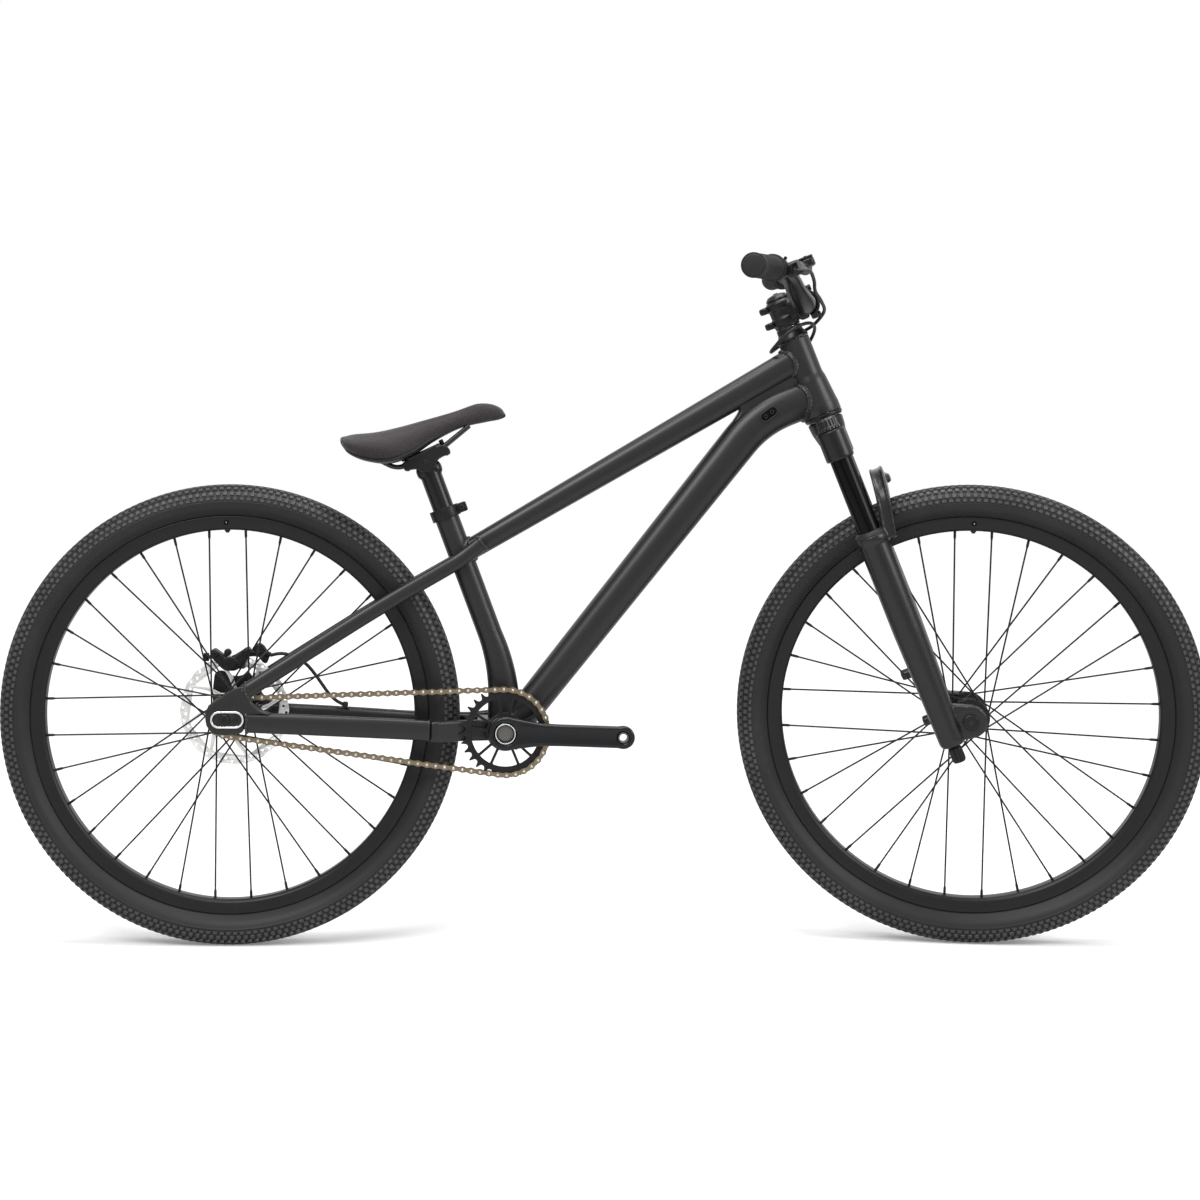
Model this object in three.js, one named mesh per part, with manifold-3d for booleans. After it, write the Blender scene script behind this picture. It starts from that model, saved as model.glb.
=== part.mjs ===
// A dirt jump bike: hardtail frame, short travel fork, single speed drive and one rear disc brake.
// Millimetres. X points forward, Y to the rider's left, Z up. The origin is on the ground
// halfway between the wheels. The bars stand turned a little to the right.
import * as THREE from 'three';
import { mergeVertices } from 'three/addons/utils/BufferGeometryUtils.js';
import Module from 'manifold-3d';

const wasm = await Module();
wasm.setup();

const degrees = Math.PI / 180;
const clearance = 0.3; // between pieces that touch or run in each other
const overrun = 4; // how far a cutting shape runs past what it cuts
const weldDistance = 0.001;

// Stance
const wheelbase = 1060.6;
const wheelRadius = 330.5; // over the tread
const bracketDrop = 21.1; // bottom bracket below the rear axle
const tyreToBracket = 63.5; // from the tread of the rear tyre to the middle of the bottom bracket
const headAngle = 68.5 * degrees;
const steeringTurn = -10 * degrees;

// Tyres and rims
const tyreWidth = 54;
const tyreWall = 4.2;
const tyreCrownShare = 0.34; // flat of the tread, of the width
const tyreHeight = 54.2; // from the bead to the tread
const tyreShoulderShare = 0.55; // where the casing is widest, of the tyre's height
const rimLip = 8.7; // the rim's outer edge beyond the bead
const rimDepth = 11.3; // from the bead in to the spoke bed
const rimBedShare = 0.7; // width of the spoke bed, of the rim's
const rimWidth = 30;
const rimWall = 2.2;
const rimFloor = 1.4;
const valveLength = 34;
const valveRadius = 3;

// Hubs, spokes and axles
const spokeCount = 32;
const spokeCrossings = 3;
const spokeRadius = 1;
const rimHoleStagger = 2.5;
const spokeLacing = 1.5; // spokes lie this far inside and outside the middle of a flange
const hubFlangeRadius = 29;
const hubFlangeThickness = 5;
const hubShellRadius = 16;
const spokeHoleShare = 0.8; // spoke holes inside the edge of a flange, of its thickness
const rimLacingShare = 0.35; // lacing left at the rim, of that at the flange
const hubEndRadius = 11.5;
const discSeatRadius = 22;
const frontHubWidth = 100;
const frontFlangeRight = -33;
const frontFlangeLeft = 27;
const frontAxleRadius = 7.5;
const axleCapRadius = 11.5;
const axleCapThickness = 5;
const rearHubWidth = 142;
const rearFlangeRight = -26;
const rearFlangeLeft = 38;
const rearAxleRadius = 6;
const axleSpacerRadius = 9;
const axleBoltRadius = 7.5;
const axleHeadHeight = 3.6;
const axleBoltHeight = 6; // from the end of the hub to the dropout

// Disc brake
const rotorRadius = 80;
const rotorThickness = 1.8;
const rotorPlane = 55; // left of the middle of the bike
const rotorBand = 14;
const rotorHubRadius = 27;
const rotorWindows = 8;
const rotorLeanShare = 0.9; // forward lean of a window over its depth, of the turn between two
// One window of the disc: shares of its depth outward and of the turn between two
const rotorWindowShares = [[0, 0], [1, 0.12], [1, 0.5], [1, 0.86], [0, 0.62]];
const caliperWidth = 25;
const caliperBevel = 2;
const caliperLength = 92;
const caliperHeight = 46;
const caliperForward = 6.3; // its middle from the axle
const caliperRise = 77.5;
const padThickness = 4;
const padTopShare = 0.15; // top of the pads above the caliper's middle, of their size
const padGap = 0.8;
const padSize = 20;
const bracketThickness = 9;
const bracketBevel = 1;
const bracketReach = 58;

// Chain and sprockets
const chainPitch = 12.7;
const ringTeeth = 30;
const cogTeeth = 13;
const chainLine = 48;
const rollerRadius = 3.87;
const rollerHalf = 2.8; // half length of the bar that stands for a roller and its pin
const chainInnerWidth = 3.3;
const plateThickness = 1.2;
const innerPlateHalf = 4.3; // half height of the inner plates
const outerPlateHalf = 3.8;
const plateShoulderShare = 0.4; // where the end of a plate starts to close, of its half height
const plateLap = 0.06; // how far neighbouring plates are pressed into each other
const toothHeight = 3.4;
const toothRootRelief = 1.2;
const ringHoleRadius = 14.8;
const ringWindowInner = 22;
const ringWindowOuter = 46;
const ringWindows = 5;
const toothTipShare = 0.43; // half width of the gap at the tips, of the pitch
const toothRootShare = 0.27;
const driverRadius = 17;

// Cranks and bottom bracket
const crankLength = 165;
const crankRootHeight = 46;
const crankTipHeight = 32;
const crankWaistHeight = 27;
const crankThickness = 15;
const crankBevel = 2.5;
const crankCantShare = 0.11; // sideways run of an arm, of its length
const crankWaistShare = 0.45; // of the way from the spindle to the pedal
const crankRootArcShare = 0.36; // where the round root starts and the round tip ends, of a half turn
const crankTipArcShare = 0.62;
const crankArcSteps = 6;
const crankBossShare = 0.85; // radius of the boss, of the root's
const crankTurn = 1.2 * degrees;
const crankInset = 54; // inner face of an arm, from the middle of the bike
const pedalEyeRadius = 7.25;
const spindleRadius = 12;
const spindleCapRadius = 14.2;
const spindleCapHeight = 2.4;
const bracketShellRadius = 21.5;
const bracketShellWidth = 73;
const bracketCupLip = 3.2;
const bracketCupRadius = 20;
const bracketCupDepth = 12;

// Frame tubes: half sizes of their sections
const seatTubeRadius = 17.45;
const seatTubeFoot = 19.5; // half depth of the seat tube at its foot
const seatTubeTaperShare = 0.33; // its foot thins over this much of its length
const seatTubeTilt = 20.4 * degrees; // of the straight part, back from upright
const seatTubeBendHeight = 88; // above the bottom bracket
const seatTubeStraight = 244.6;
const seatTubeBend = 74;
const seatTubeBendBack = 3.2; // the bend behind the bottom bracket
const seatTubeBoreSpare = 50; // bored this far below the post
const topTubeTallRear = 15.2;
const topTubeTallFront = 21.2;
const topTubeWideRear = 15.5;
const topTubeWideFront = 19;
const topTubeDrop = 28; // its middle below the top of the head tube
const topTubeSeatDrop = 72; // its middle below the top of the seat tube
const topTubePower = 2.6; // squareness of the section: 2 is an ellipse
const downTubeTallRear = 22.4;
const downTubeTallFront = 27.4;
const downTubeWideRear = 25;
const downTubeWideFront = 23;
const downTubeRise = 29; // its middle above the foot of the head tube
const downTubeFlattening = 9 * degrees; // its end lies this much flatter than the top tube
const downTubeEndRun = 88; // from the head tube back to the bend
const downTubeBend = 120;
const downTubeFullShare = 0.9; // full height is reached this far along
const downTubePower = 2.5;
const downTubeFootDrop = 12; // its middle below the bottom bracket
const gussetThickness = 26;
const gussetReach = 105;
const gussetWaistShare = 0.42;
const headTubeLength = 115.5;
const headTubeFootRadius = 28;
const headTubeTopRadius = 22.3;
const headTubeStep = 60;
const headTubeFlareShares = [0.25, 0.94]; // heights where the foot starts and ends its flare, of the step
const headTubeFlareTopShare = 0.25; // how much of the flare is left at its end
const headBoreFoot = 21.5;
const headBoreTop = 17;
const lowerCupHeight = 7.2;
const cupChamfer = 2;
const coverHeight = 19;
const coverLip = 0.6;
const coverEdge = 2.7;
const coverTaperShare = 0.6; // height where the cover's taper ends
const coverWall = 4;
const chainstayTall = 14.5;
const chainstayWide = 8;
const chainstayFront = 57; // its front end from the middle of the bike
const chainstayFrontRise = 3.6; // its front end above the bottom bracket
const chainstayRearDrop = 4.5; // its rear end below the axle
const chainstayPower = 3;
const yokeReach = 106.8; // from the bottom bracket back to the stays
const yokeHeight = 30;
const yokeArm = 11;
const yokeRise = 1.5; // its middle above the bottom bracket
const yokeBridgeLength = 38;
const yokeBridgeHalf = 30;
const seatstayTall = 11;
const seatstayWide = 7.6;
const seatstayBend = 40;
const seatstayPower = 2.6;
const seatstayKneeShare = 0.635; // of the way from the dropout to the neck
const seatstayKneeRise = 4; // above the straight line between them
const seatstayKneeSpread = 46;
const seatstayNeckDrop = 78; // below the top of the seat tube, along it
const seatstayNeckBack = 1.6; // behind its middle
const seatstayTopDrop = 66;
const seatstayTopAhead = 34.8;
const seatstayTopSpread = 25.5;
const seatstayRise = 37; // its rear end above the rear axle
const stayStart = 28; // rear ends of the stays ahead of the axle
const stayCentre = 72; // rear ends of the stays from the middle of the bike
const dropoutInner = 71;
const dropoutThickness = 8;
const dropoutLength = 92;
const dropoutHeight = 84;
const slotLength = 34;
const slotHeight = 15;
const slotShift = 4; // the middle of the slot ahead of the axle
const dropoutBevel = 1.2;
const guideLength = 47;
const guideHeight = 24;
const guideThickness = 3.4;
const guideRecess = 2;
const guideRim = 3.5;
const guideScrewRadius = 4;
const guideScrewPlace = 17; // ahead of the axle
const clampHeight = 16;
const clampWall = 3.6;
const clampEar = 15;
const clampEarWidth = 18;
const clampSlot = 2;
const clampLip = 1;
const clampBoltRadius = 3.6;
const clampBoltHead = 3;

// Seatpost and saddle
const seatpostRadius = 15.45;
const seatpostInsertion = 110;
const seatpostHeight = 70; // from the seat tube to the pivot of the saddle
const seatpostHeadRadius = 12.5;
const seatpostHeadWidth = 34;
const seatpostTrimShare = 0.35; // the post ends this far below the pivot, of the head's radius
const saddleTilt = 25 * degrees;
const saddleLength = 234;
const saddleWidth = 135;
const saddleHeight = 60;
const saddleBaseDepth = 7;
const saddleBaseInset = 3;
const cushionSideShare = 0.42; // where the side is widest, of its height
const cushionDrawShare = 0.93; // width of the floor, of the widest
const cushionEdgePower = 0.75;
const cushionCrownPower = 0.85;
const cushionTuck = 1.6;
const railRadius = 3.5;
const railSpread = 22;
const railBend = 14;
const clampPlateLength = 52;
const clampPlateThickness = 4.6;
const clampSkirt = 2.8;
const railFaces = 6;

// Fork, in its own axes: up the steering axis from the foot of the axle's perpendicular
const forkOffset = 36;
const forkLength = 470;
const legSpread = 62;
const legOffset = 2;
const stanchionRadius = 16;
const stanchionWall = 2.5;
const crownRaceHeight = 16; // from the crown's shoulders up to the head tube's lower cup
const crownLegHeight = 43;
const crownLegRadius = 20.5;
const crownArmHeight = 27;
const crownArmDepth = 33;
const crownArmBend = 30;
const crownArmEndShare = 0.7; // heights of the arms' middle, of their own height
const crownArmMidShare = 0.15;
const crownRaceShare = 0.75; // height of the middle, of the arms'
const crownRaceWidthShares = [0.6, 0.75]; // radii of the middle, of the arms' depth
const crownPower = 3;
const steererRadius = 14.3;
const steererFootRadius = 19;
const lowersTop = 296;
const lowerLegRadius = 22;
const lowerLegFootRadius = 18.5;
const lowerLegEnd = -24;
const lowerLegTaper = 12;
const lowerLegEndShare = 0.7; // radius of a leg's closed end, of its foot's
const sealCollarRadius = 24;
const sealCollarHeight = 12;
const sealCollarLip = 2;
const stanchionFoot = 150;
const lowersBoreFoot = 42;
const axleLobeRadius = 23;
const axleLobeOutset = 7.4; // its outer face beyond the middle of the leg
const webHeight = 66;
const webFootShare = 0.96; // the web's lowest point under the axle, of the lobe's radius
const webFrontShares = [0.9, 0.35]; // its foremost point from the axle, of the lobe's radius
const webTopShare = 0.8; // its top's reach, of the leg's radius
const archClearance = 22.5; // between the tyre and the arch
const archPower = 3;
const archReach = 41;
const archThickness = 9.5;
const archWidth = 13;
const archFoot = 282;
const archFootForward = 26;
const archLean = 3;
const archShoulderInset = 6;
const archShoulderDrop = 22;
const archFlatHalf = 30;
const archBend = 18;
const postMountSpacing = 74;
const postMountFoot = 1.5;
const postMountRadius = 8;
const postMountReach = 29;
const dialRadius = 14;
const dialHeight = 19;
const dialRimRadius = 16;
const dialRimHeight = 5;
const dialChamfer = 3.2;
const airCapHeight = 8;
const knobRadius = 10;
const knobNeckRadius = 7.8;
const knobTaper = 4;
const knobHeight = 24;

// Cockpit, in the fork's axes
const stemReach = 34;
const stemClampHeight = 42;
const stemClampRadius = 19.5;
const barClampRadius = 15.9;
const barLift = 1.2; // above the middle of the stem's clamp
const barEndRadius = 11.1;
const barHalfWidth = 378;
const barFlatHalf = 50; // the straight middle
const barKneeShare = 0.43;
const barKneeRise = 14;
const barRise = 50;
const barRiseHalf = 138; // where the rise ends
const barSetback = 4;
const barBend = 30;
const barTaperShares = [0.12, 0.4]; // where the bar thins, of the way from the middle to an end
const barUpsweep = 13;
const barBacksweep = 34;
const barClampWidth = 52;
const barClampWall = 5.4;
const stemNeckHalf = 18;
const stemNeckTallHalf = 17;
const stemNeckPower = 4;
const stemEarShares = [0.28, 0.78]; // heights of the two ears behind the clamp
const stemEarReach = 9;
const stemEarHalf = 8;
const stemEarTallHalf = 5;
const faceplateGap = 2; // its back ahead of the middle of the bar
const faceplateLug = 5;
const faceplateWindowShares = [0.48, 0.62];
const topCapRadius = 17;
const topCapHeight = 9;
const topCapEdge = 2.5;
const topCapDomeShares = [0.7, 0.8]; // where its dome flattens, of its radius and of its height
const gripLength = 132;
const gripRadius = 16;
const gripSwell = 0.8;
const gripCap = 5;
const gripFlangeRadius = 18.5;
const gripFlange = 5;
const leverToGrip = 32; // from the inner end of the grip in to the clamp of the brake lever
const leverForward = 30;
const leverDrop = 11;
const leverClampWidth = 13;
const leverClampWall = 4.5;
const leverBodyRadius = 9.5;
const leverBodyInner = 34; // its ends from the clamp, along the bar
const leverBodyOuter = 16;
const reservoirLength = 40;
const reservoirHeight = 12;
const reservoirDepth = 20;
const leverReach = 104;
const leverThickness = 3.4;
const leverWidth = 7;
const leverTaperShare = 0.2;
const leverBend = 12;
const leverGap = 2.8; // between the body and the blade, which turns a little outward of its root
const hoseRadius = 2.5;
const hoseStep = 15; // between the stations of a hose

// Counts of flat faces round a section
const wheelFaces = spokeCount;
const roundFaces = 10;
const smallFaces = 8;
const hoseFaces = 8;
const spokeFaces = 3;
const bendSteps = 3; // stations in a rounded corner
const shortBendSteps = 2;
const longBendSteps = 5;
const cushionFaces = 18;

// Places that follow from the sizes above
const at = (x, y, z) => new THREE.Vector3(x, y, z);
const fullTurn = 2 * Math.PI;
const beadRadius = wheelRadius - tyreHeight;
const rimOuterRadius = beadRadius + rimLip;
const rimInnerRadius = beadRadius - rimDepth;
const chainstayLength = wheelRadius + tyreToBracket;
const archHeight = wheelRadius + archClearance + archWidth;
const crownTop = forkLength - crownRaceHeight;
const crownBottom = crownTop - crownLegHeight;
const leverMount = barHalfWidth - gripLength - leverToGrip;
const ringPitchRadius = chainPitch / (2 * Math.sin(Math.PI / ringTeeth));
const cogPitchRadius = chainPitch / (2 * Math.sin(Math.PI / cogTeeth));

function chainLayout(centres) {
  const lean = Math.asin((ringPitchRadius - cogPitchRadius) / centres);
  const straight = Math.sqrt(centres ** 2 - (ringPitchRadius - cogPitchRadius) ** 2);
  const ringSteps = ((Math.PI + 2 * lean) * ringTeeth) / fullTurn;
  const cogSteps = ((Math.PI - 2 * lean) * cogTeeth) / fullTurn;
  const straightSteps = straight / chainPitch;
  return { lean, ringSteps, cogSteps, straightSteps, links: ringSteps + cogSteps + 2 * straightSteps };
}

// The axle slides in its dropouts until a whole, even number of links is taut
const linkCount = 2 * Math.round(chainLayout(chainstayLength).links / 2);
let axleDistance = chainstayLength;
for (let pass = 0; pass < 6; pass += 1) {
  axleDistance += ((linkCount - chainLayout(axleDistance).links) * chainPitch) / 2;
}

const rearAxleX = -wheelbase / 2;
const bracketX = rearAxleX + Math.sqrt(axleDistance ** 2 - bracketDrop ** 2);
const bracketZ = wheelRadius - bracketDrop;

// A wheel turned about a leaning axis leans too, so its axle sits a little lower to touch the ground
const steerUp = at(-Math.cos(headAngle), 0, Math.sin(headAngle));
const steerForward = at(Math.sin(headAngle), 0, Math.cos(headAngle));
const axleLean = at(0, 1, 0).applyAxisAngle(steerUp, steeringTurn).z;
const treadEdge = (tyreCrownShare * tyreWidth) / 2;
const leaningHeight = wheelRadius * Math.sqrt(1 - axleLean ** 2) + treadEdge * Math.abs(axleLean);
const turnDrop = forkOffset * (1 - Math.cos(steeringTurn)) * steerForward.z;
const frontAxleRest = at(wheelbase / 2, 0, leaningHeight + turnDrop);
const forkBase = frontAxleRest.clone().addScaledVector(steerForward, -forkOffset);
const onSteering = (height, forward = 0) =>
  forkBase.clone().addScaledVector(steerUp, height).addScaledVector(steerForward, forward);

const headTubeFoot = forkLength + lowerCupHeight;
const headTubeTop = headTubeFoot + headTubeLength;
const stemFoot = headTubeTop + coverHeight;
const stemTop = stemFoot + stemClampHeight;
const barHeight = stemFoot + stemClampHeight / 2 + barLift;

const seatBend = at(bracketX - seatTubeBendBack, 0, bracketZ + seatTubeBendHeight);
const seatUp = at(-Math.sin(seatTubeTilt), 0, Math.cos(seatTubeTilt));
const seatTop = seatBend.clone().addScaledVector(seatUp, seatTubeStraight);
const railHeight = seatpostHeadRadius - railRadius;
const saddlePivot = seatTop.clone().addScaledVector(seatUp, seatpostHeight);

// Solids: weld, join and cut
function weld(geometry) {
  const bare = new THREE.BufferGeometry();
  bare.setAttribute('position', geometry.getAttribute('position').clone());
  if (geometry.index) bare.setIndex(geometry.index.clone());
  const merged = mergeVertices(bare, weldDistance);
  const spots = merged.getAttribute('position');
  const [a, b, c] = [at(0, 0, 0), at(0, 0, 0), at(0, 0, 0)];
  const kept = [];
  let volume = 0;
  for (let i = 0; i < merged.index.count; i += 3) {
    const corners = [0, 1, 2].map((step) => merged.index.getX(i + step));
    if (new Set(corners).size < 3) continue;
    [a, b, c].forEach((corner, step) => corner.fromBufferAttribute(spots, corners[step]));
    volume += a.dot(b.cross(c));
    kept.push(corners);
  }
  // Faces point out, so the volume under them is positive
  merged.setIndex(kept.flatMap(([i, j, k]) => (volume < 0 ? [i, k, j] : [i, j, k])));
  return merged;
}

function toSolid(geometry) {
  const welded = weld(geometry);
  const vertProperties = new Float32Array(welded.getAttribute('position').array);
  const triVerts = new Uint32Array(welded.index.array);
  return new wasm.Manifold(new wasm.Mesh({ numProp: 3, vertProperties, triVerts }));
}

function fromSolid(solid) {
  const mesh = solid.getMesh();
  const geometry = new THREE.BufferGeometry();
  geometry.setAttribute('position', new THREE.BufferAttribute(mesh.vertProperties, 3));
  geometry.setIndex(new THREE.BufferAttribute(mesh.triVerts, 1));
  return geometry;
}

const join = (...shapes) => fromSolid(shapes.map(toSolid).reduce((whole, next) => whole.add(next)));
const cut = (body, ...tools) =>
  fromSolid(tools.map(toSolid).reduce((rest, tool) => rest.subtract(tool), toSolid(body)));

// Rings of points joined into a closed skin with flat ends
function skin(rings) {
  const count = rings[0].length;
  const spots = rings.flat();
  const last = (rings.length - 1) * count;
  const faces = [];
  for (let ring = 0; ring < rings.length - 1; ring += 1) {
    for (let i = 0; i < count; i += 1) {
      const [p, q] = [ring * count + i, ring * count + ((i + 1) % count)];
      faces.push(p, q, q + count, p, q + count, p + count);
    }
  }
  for (let i = 1; i < count - 1; i += 1) faces.push(0, i + 1, i, last, last + i, last + i + 1);
  const geometry = new THREE.BufferGeometry();
  const values = spots.flatMap((p) => p.toArray());
  geometry.setAttribute('position', new THREE.Float32BufferAttribute(values, 3));
  geometry.setIndex(faces);
  return weld(geometry);
}

// A route through points whose corners are rounded, as stations with a centre and a direction
function roundedRoute(points, bend, steps = bendSteps) {
  const stations = [];
  const add = (centre, along) => {
    const previous = stations[stations.length - 1];
    if (previous && previous.centre.distanceTo(centre) < clearance) return;
    const walked = previous ? previous.walked + previous.centre.distanceTo(centre) : 0;
    stations.push({ centre, along, walked });
  };
  const heading = (from, to) => to.clone().sub(from).normalize();
  add(points[0], heading(points[0], points[1]));
  for (let i = 1; i < points.length - 1; i += 1) {
    const [before, corner, after] = [points[i - 1], points[i], points[i + 1]];
    const trim = Math.min(bend, corner.distanceTo(before) / 2, corner.distanceTo(after) / 2);
    const start = corner.clone().addScaledVector(heading(corner, before), trim);
    const end = corner.clone().addScaledVector(heading(corner, after), trim);
    const arc = new THREE.QuadraticBezierCurve3(start, corner, end);
    for (let step = 0; step <= steps; step += 1) {
      add(arc.getPoint(step / steps), arc.getTangent(step / steps));
    }
  }
  const final = points[points.length - 1];
  add(final, heading(points[points.length - 2], final));
  const total = stations[stations.length - 1].walked;
  return stations.map((station) => ({ ...station, share: station.walked / total }));
}

// A tube or a shaped bar along stations: size gives half width, half height and squareness at a share
function sweep(stations, size, faces = roundFaces, sideways = at(0, 1, 0)) {
  return skin(stations.map(({ centre, along, share }) => {
    const across = sideways.clone().addScaledVector(along, -sideways.dot(along)).normalize();
    const upward = along.clone().cross(across);
    const { wide, tall, power = 2 } = size(share);
    return Array.from({ length: faces }, (_, i) => {
      const angle = ((i + 0.5) / faces) * fullTurn;
      const [c, s] = [Math.cos(angle), Math.sin(angle)];
      const spread = (value, half) => half * Math.sign(value) * Math.abs(value) ** (2 / power);
      return centre.clone().addScaledVector(across, spread(c, wide)).addScaledVector(upward, spread(s, tall));
    });
  }));
}

const blend = (from, to, share) => from + (to - from) * share;
const round = (radius, endRadius = radius) => (share) => {
  const size = blend(radius, endRadius, share);
  return { wide: size, tall: size };
};

// Straight rods, lathe work about the Z or the Y axis, and plates lying in the XZ plane
function rod(from, to, radius, faces = roundFaces, endRadius = radius) {
  const line = to.clone().sub(from).normalize();
  const sideways = Math.abs(line.y) > 0.7 ? at(1, 0, 0) : at(0, 1, 0);
  return sweep(roundedRoute([from, to], 0), round(radius, endRadius), faces, sideways);
}

function latheAcross(profile, faces = roundFaces) {
  const closed = [...profile, profile[0]].map(([radius, y]) => new THREE.Vector2(radius, y));
  return weld(new THREE.LatheGeometry(closed, faces));
}

const latheUp = (profile, faces) => latheAcross(profile, faces).rotateX(Math.PI / 2);
// A faceted bore whose flats clear a round shaft that turns in it
const boreFor = (radius) => (radius + clearance) / Math.cos(Math.PI / roundFaces);
const drum = (radius, from, to, faces) => latheAcross([[0, from], [radius, from], [radius, to], [0, to]], faces);
const post = (radius, from, to, faces) => latheUp([[0, from], [radius, from], [radius, to], [0, to]], faces);
const block = (from, to) => {
  const size = to.clone().sub(from);
  const middle = from.clone().add(to).multiplyScalar(0.5);
  return new THREE.BoxGeometry(size.x, size.y, size.z).translate(middle.x, middle.y, middle.z);
};
const outline = (points) => new THREE.Shape(points.map(([x, z]) => new THREE.Vector2(x, z)));
const ringOutline = (points) => new THREE.Path(points.map(([x, z]) => new THREE.Vector2(x, z)));
const circle = (radius, faces, x = 0, z = 0) =>
  Array.from({ length: faces }, (_, i) => {
    const angle = (i / faces) * fullTurn;
    return [x + radius * Math.cos(angle), z + radius * Math.sin(angle)];
  });

function plate(shape, thickness, bevel = 0) {
  const depth = thickness - 2 * bevel;
  const options = { depth, bevelEnabled: bevel > 0, bevelThickness: bevel, bevelSize: bevel, bevelSegments: 1 };
  options.bevelOffset = -bevel;
  return new THREE.ExtrudeGeometry(shape, options).translate(0, 0, -depth / 2).rotateX(Math.PI / 2);
}

// A slot with round ends, as points
function stadium(length, height, faces = smallFaces) {
  const half = (length - height) / 2;
  return circle(height / 2, faces).map(([x, z]) => [x + (x > 0 ? half : -half), z]);
}

const mirrored = (geometry) => weld(geometry.clone().applyMatrix4(new THREE.Matrix4().makeScale(1, -1, 1)));

const finish = (color, roughness, metalness) => new THREE.MeshStandardMaterial({ color, roughness, metalness });
const framePaint = finish(0x3c3a3a, 0.5, 0.1);
const blackAlloy = finish(0x1a1a1c, 0.38, 0.6);
const forkPaint = finish(0x17171a, 0.35, 0.2);
const stanchionCoat = finish(0x0c0c0e, 0.12, 0.6);
const tyreRubber = finish(0x242426, 0.85, 0);
const gripRubber = finish(0x2c2b2d, 0.9, 0);
const chromeSteel = finish(0xc9c9c8, 0.2, 1);
const chainSteel = finish(0x8a7654, 0.35, 1);
const rotorSteel = finish(0xc2c3c2, 0.3, 1);
const saddleCloth = finish(0x3a3138, 0.9, 0);
const blackPlastic = finish(0x1c1c1d, 0.6, 0);

const piece = (name, geometry, material) => {
  const mesh = new THREE.Mesh(weld(geometry), material.clone());
  mesh.name = name;
  return mesh;
};

// Wheels: the axle is the Y axis
function tyre(name) {
  const half = tyreWidth / 2;
  const bead = rimWidth / 2 - rimWall - clearance;
  const height = wheelRadius - beadRadius;
  const rimTop = (rimOuterRadius + clearance - beadRadius) / height;
  // Shares of the height and of the half width, bead to crown, then back inside the casing
  const outerShares = [[0, bead / half], [rimTop, bead / half], [tyreShoulderShare, 1], [1, tyreCrownShare]];
  const innerShares = [[0, (bead - tyreWall) / half]];
  const side = (shares) => shares.map(([up, out]) => [beadRadius + height * up, half * out]);
  const mirror = (points) => points.map(([radius, y]) => [radius, -y]).reverse();
  const outer = side(outerShares);
  const inner = side(innerShares);
  const crown = [[wheelRadius - tyreWall, 0]];
  return piece(name, latheAcross([...outer, ...mirror(outer), ...mirror(inner), ...crown, ...inner], wheelFaces),
    tyreRubber);
}

function rim(name) {
  const half = rimWidth / 2;
  const floor = beadRadius - clearance;
  const right = [[rimInnerRadius, half * rimBedShare], [rimOuterRadius, half], [rimOuterRadius, half - rimWall],
    [floor, half - rimWall]];
  const left = right.map(([radius, y]) => [radius, -y]).reverse();
  const ring = latheAcross([...right, ...left], wheelFaces);
  const valveTop = rimInnerRadius + rimFloor;
  const valve = rod(at(0, 0, valveTop), at(0, 0, valveTop - valveLength), valveRadius, smallFaces);
  return piece(name, join(ring, valve), blackAlloy);
}

// One spoke, from a flange hole to the flat of the rim
function spoke(hubAngle, rimAngle, flangeY, rimY, holeRadius) {
  const onCircle = (radius, angle, y) => at(radius * Math.cos(angle), y, radius * Math.sin(angle));
  const flat = rimInnerRadius * Math.cos(Math.PI / wheelFaces) - 2 * clearance;
  return rod(onCircle(holeRadius, hubAngle, flangeY), onCircle(flat, rimAngle, rimY), spokeRadius, spokeFaces);
}

function hub(name, profile, flanges) {
  const holeRadius = hubFlangeRadius - hubFlangeThickness * spokeHoleShare;
  const reach = (spokeCrossings * 2 * fullTurn) / spokeCount;
  const spokes = [];
  for (let i = 0; i < spokeCount; i += 1) {
    const rimAngle = ((i + 0.5) / spokeCount) * fullTurn;
    const side = i % 2;
    const leading = i % 4 < 2 ? 1 : -1;
    const flangeY = flanges[side] + leading * spokeLacing;
    const rimY = (side ? rimHoleStagger : -rimHoleStagger) + leading * spokeLacing * rimLacingShare;
    spokes.push(spoke(rimAngle + leading * reach, rimAngle, flangeY, rimY, holeRadius));
  }
  return piece(name, join(latheAcross(profile), ...spokes), blackAlloy);
}

function hubProfile(right, left, ends, bore, discFace) {
  const half = hubFlangeThickness / 2;
  const flange = (y) => [[hubShellRadius, y - 2 * half], [hubFlangeRadius, y - half],
    [hubFlangeRadius, y + half], [hubShellRadius, y + 2 * half]];
  return [[bore, ends[0]], [hubEndRadius, ends[0]], ...flange(right), ...flange(left),
    [discSeatRadius, discFace - hubFlangeThickness], [discSeatRadius, discFace],
    [hubEndRadius, discFace], [hubEndRadius, ends[1]], [bore, ends[1]]];
}

function frontWheel() {
  const end = frontHubWidth / 2 - clearance;
  const profile = hubProfile(frontFlangeRight, frontFlangeLeft, [-end, end],
    boreFor(frontAxleRadius), frontFlangeLeft + 4 * hubFlangeThickness);
  const wheel = new THREE.Group();
  wheel.add(tyre('front_tyre'), rim('front_rim'), hub('front_hub', profile, [frontFlangeRight, frontFlangeLeft]));
  return wheel;
}

const rotorFace = rotorPlane - rotorThickness / 2;
const cogHalf = (chainInnerWidth - 2 * clearance) / 2;
const driverInner = -(chainLine - 3 * cogHalf - hubFlangeThickness);

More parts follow.
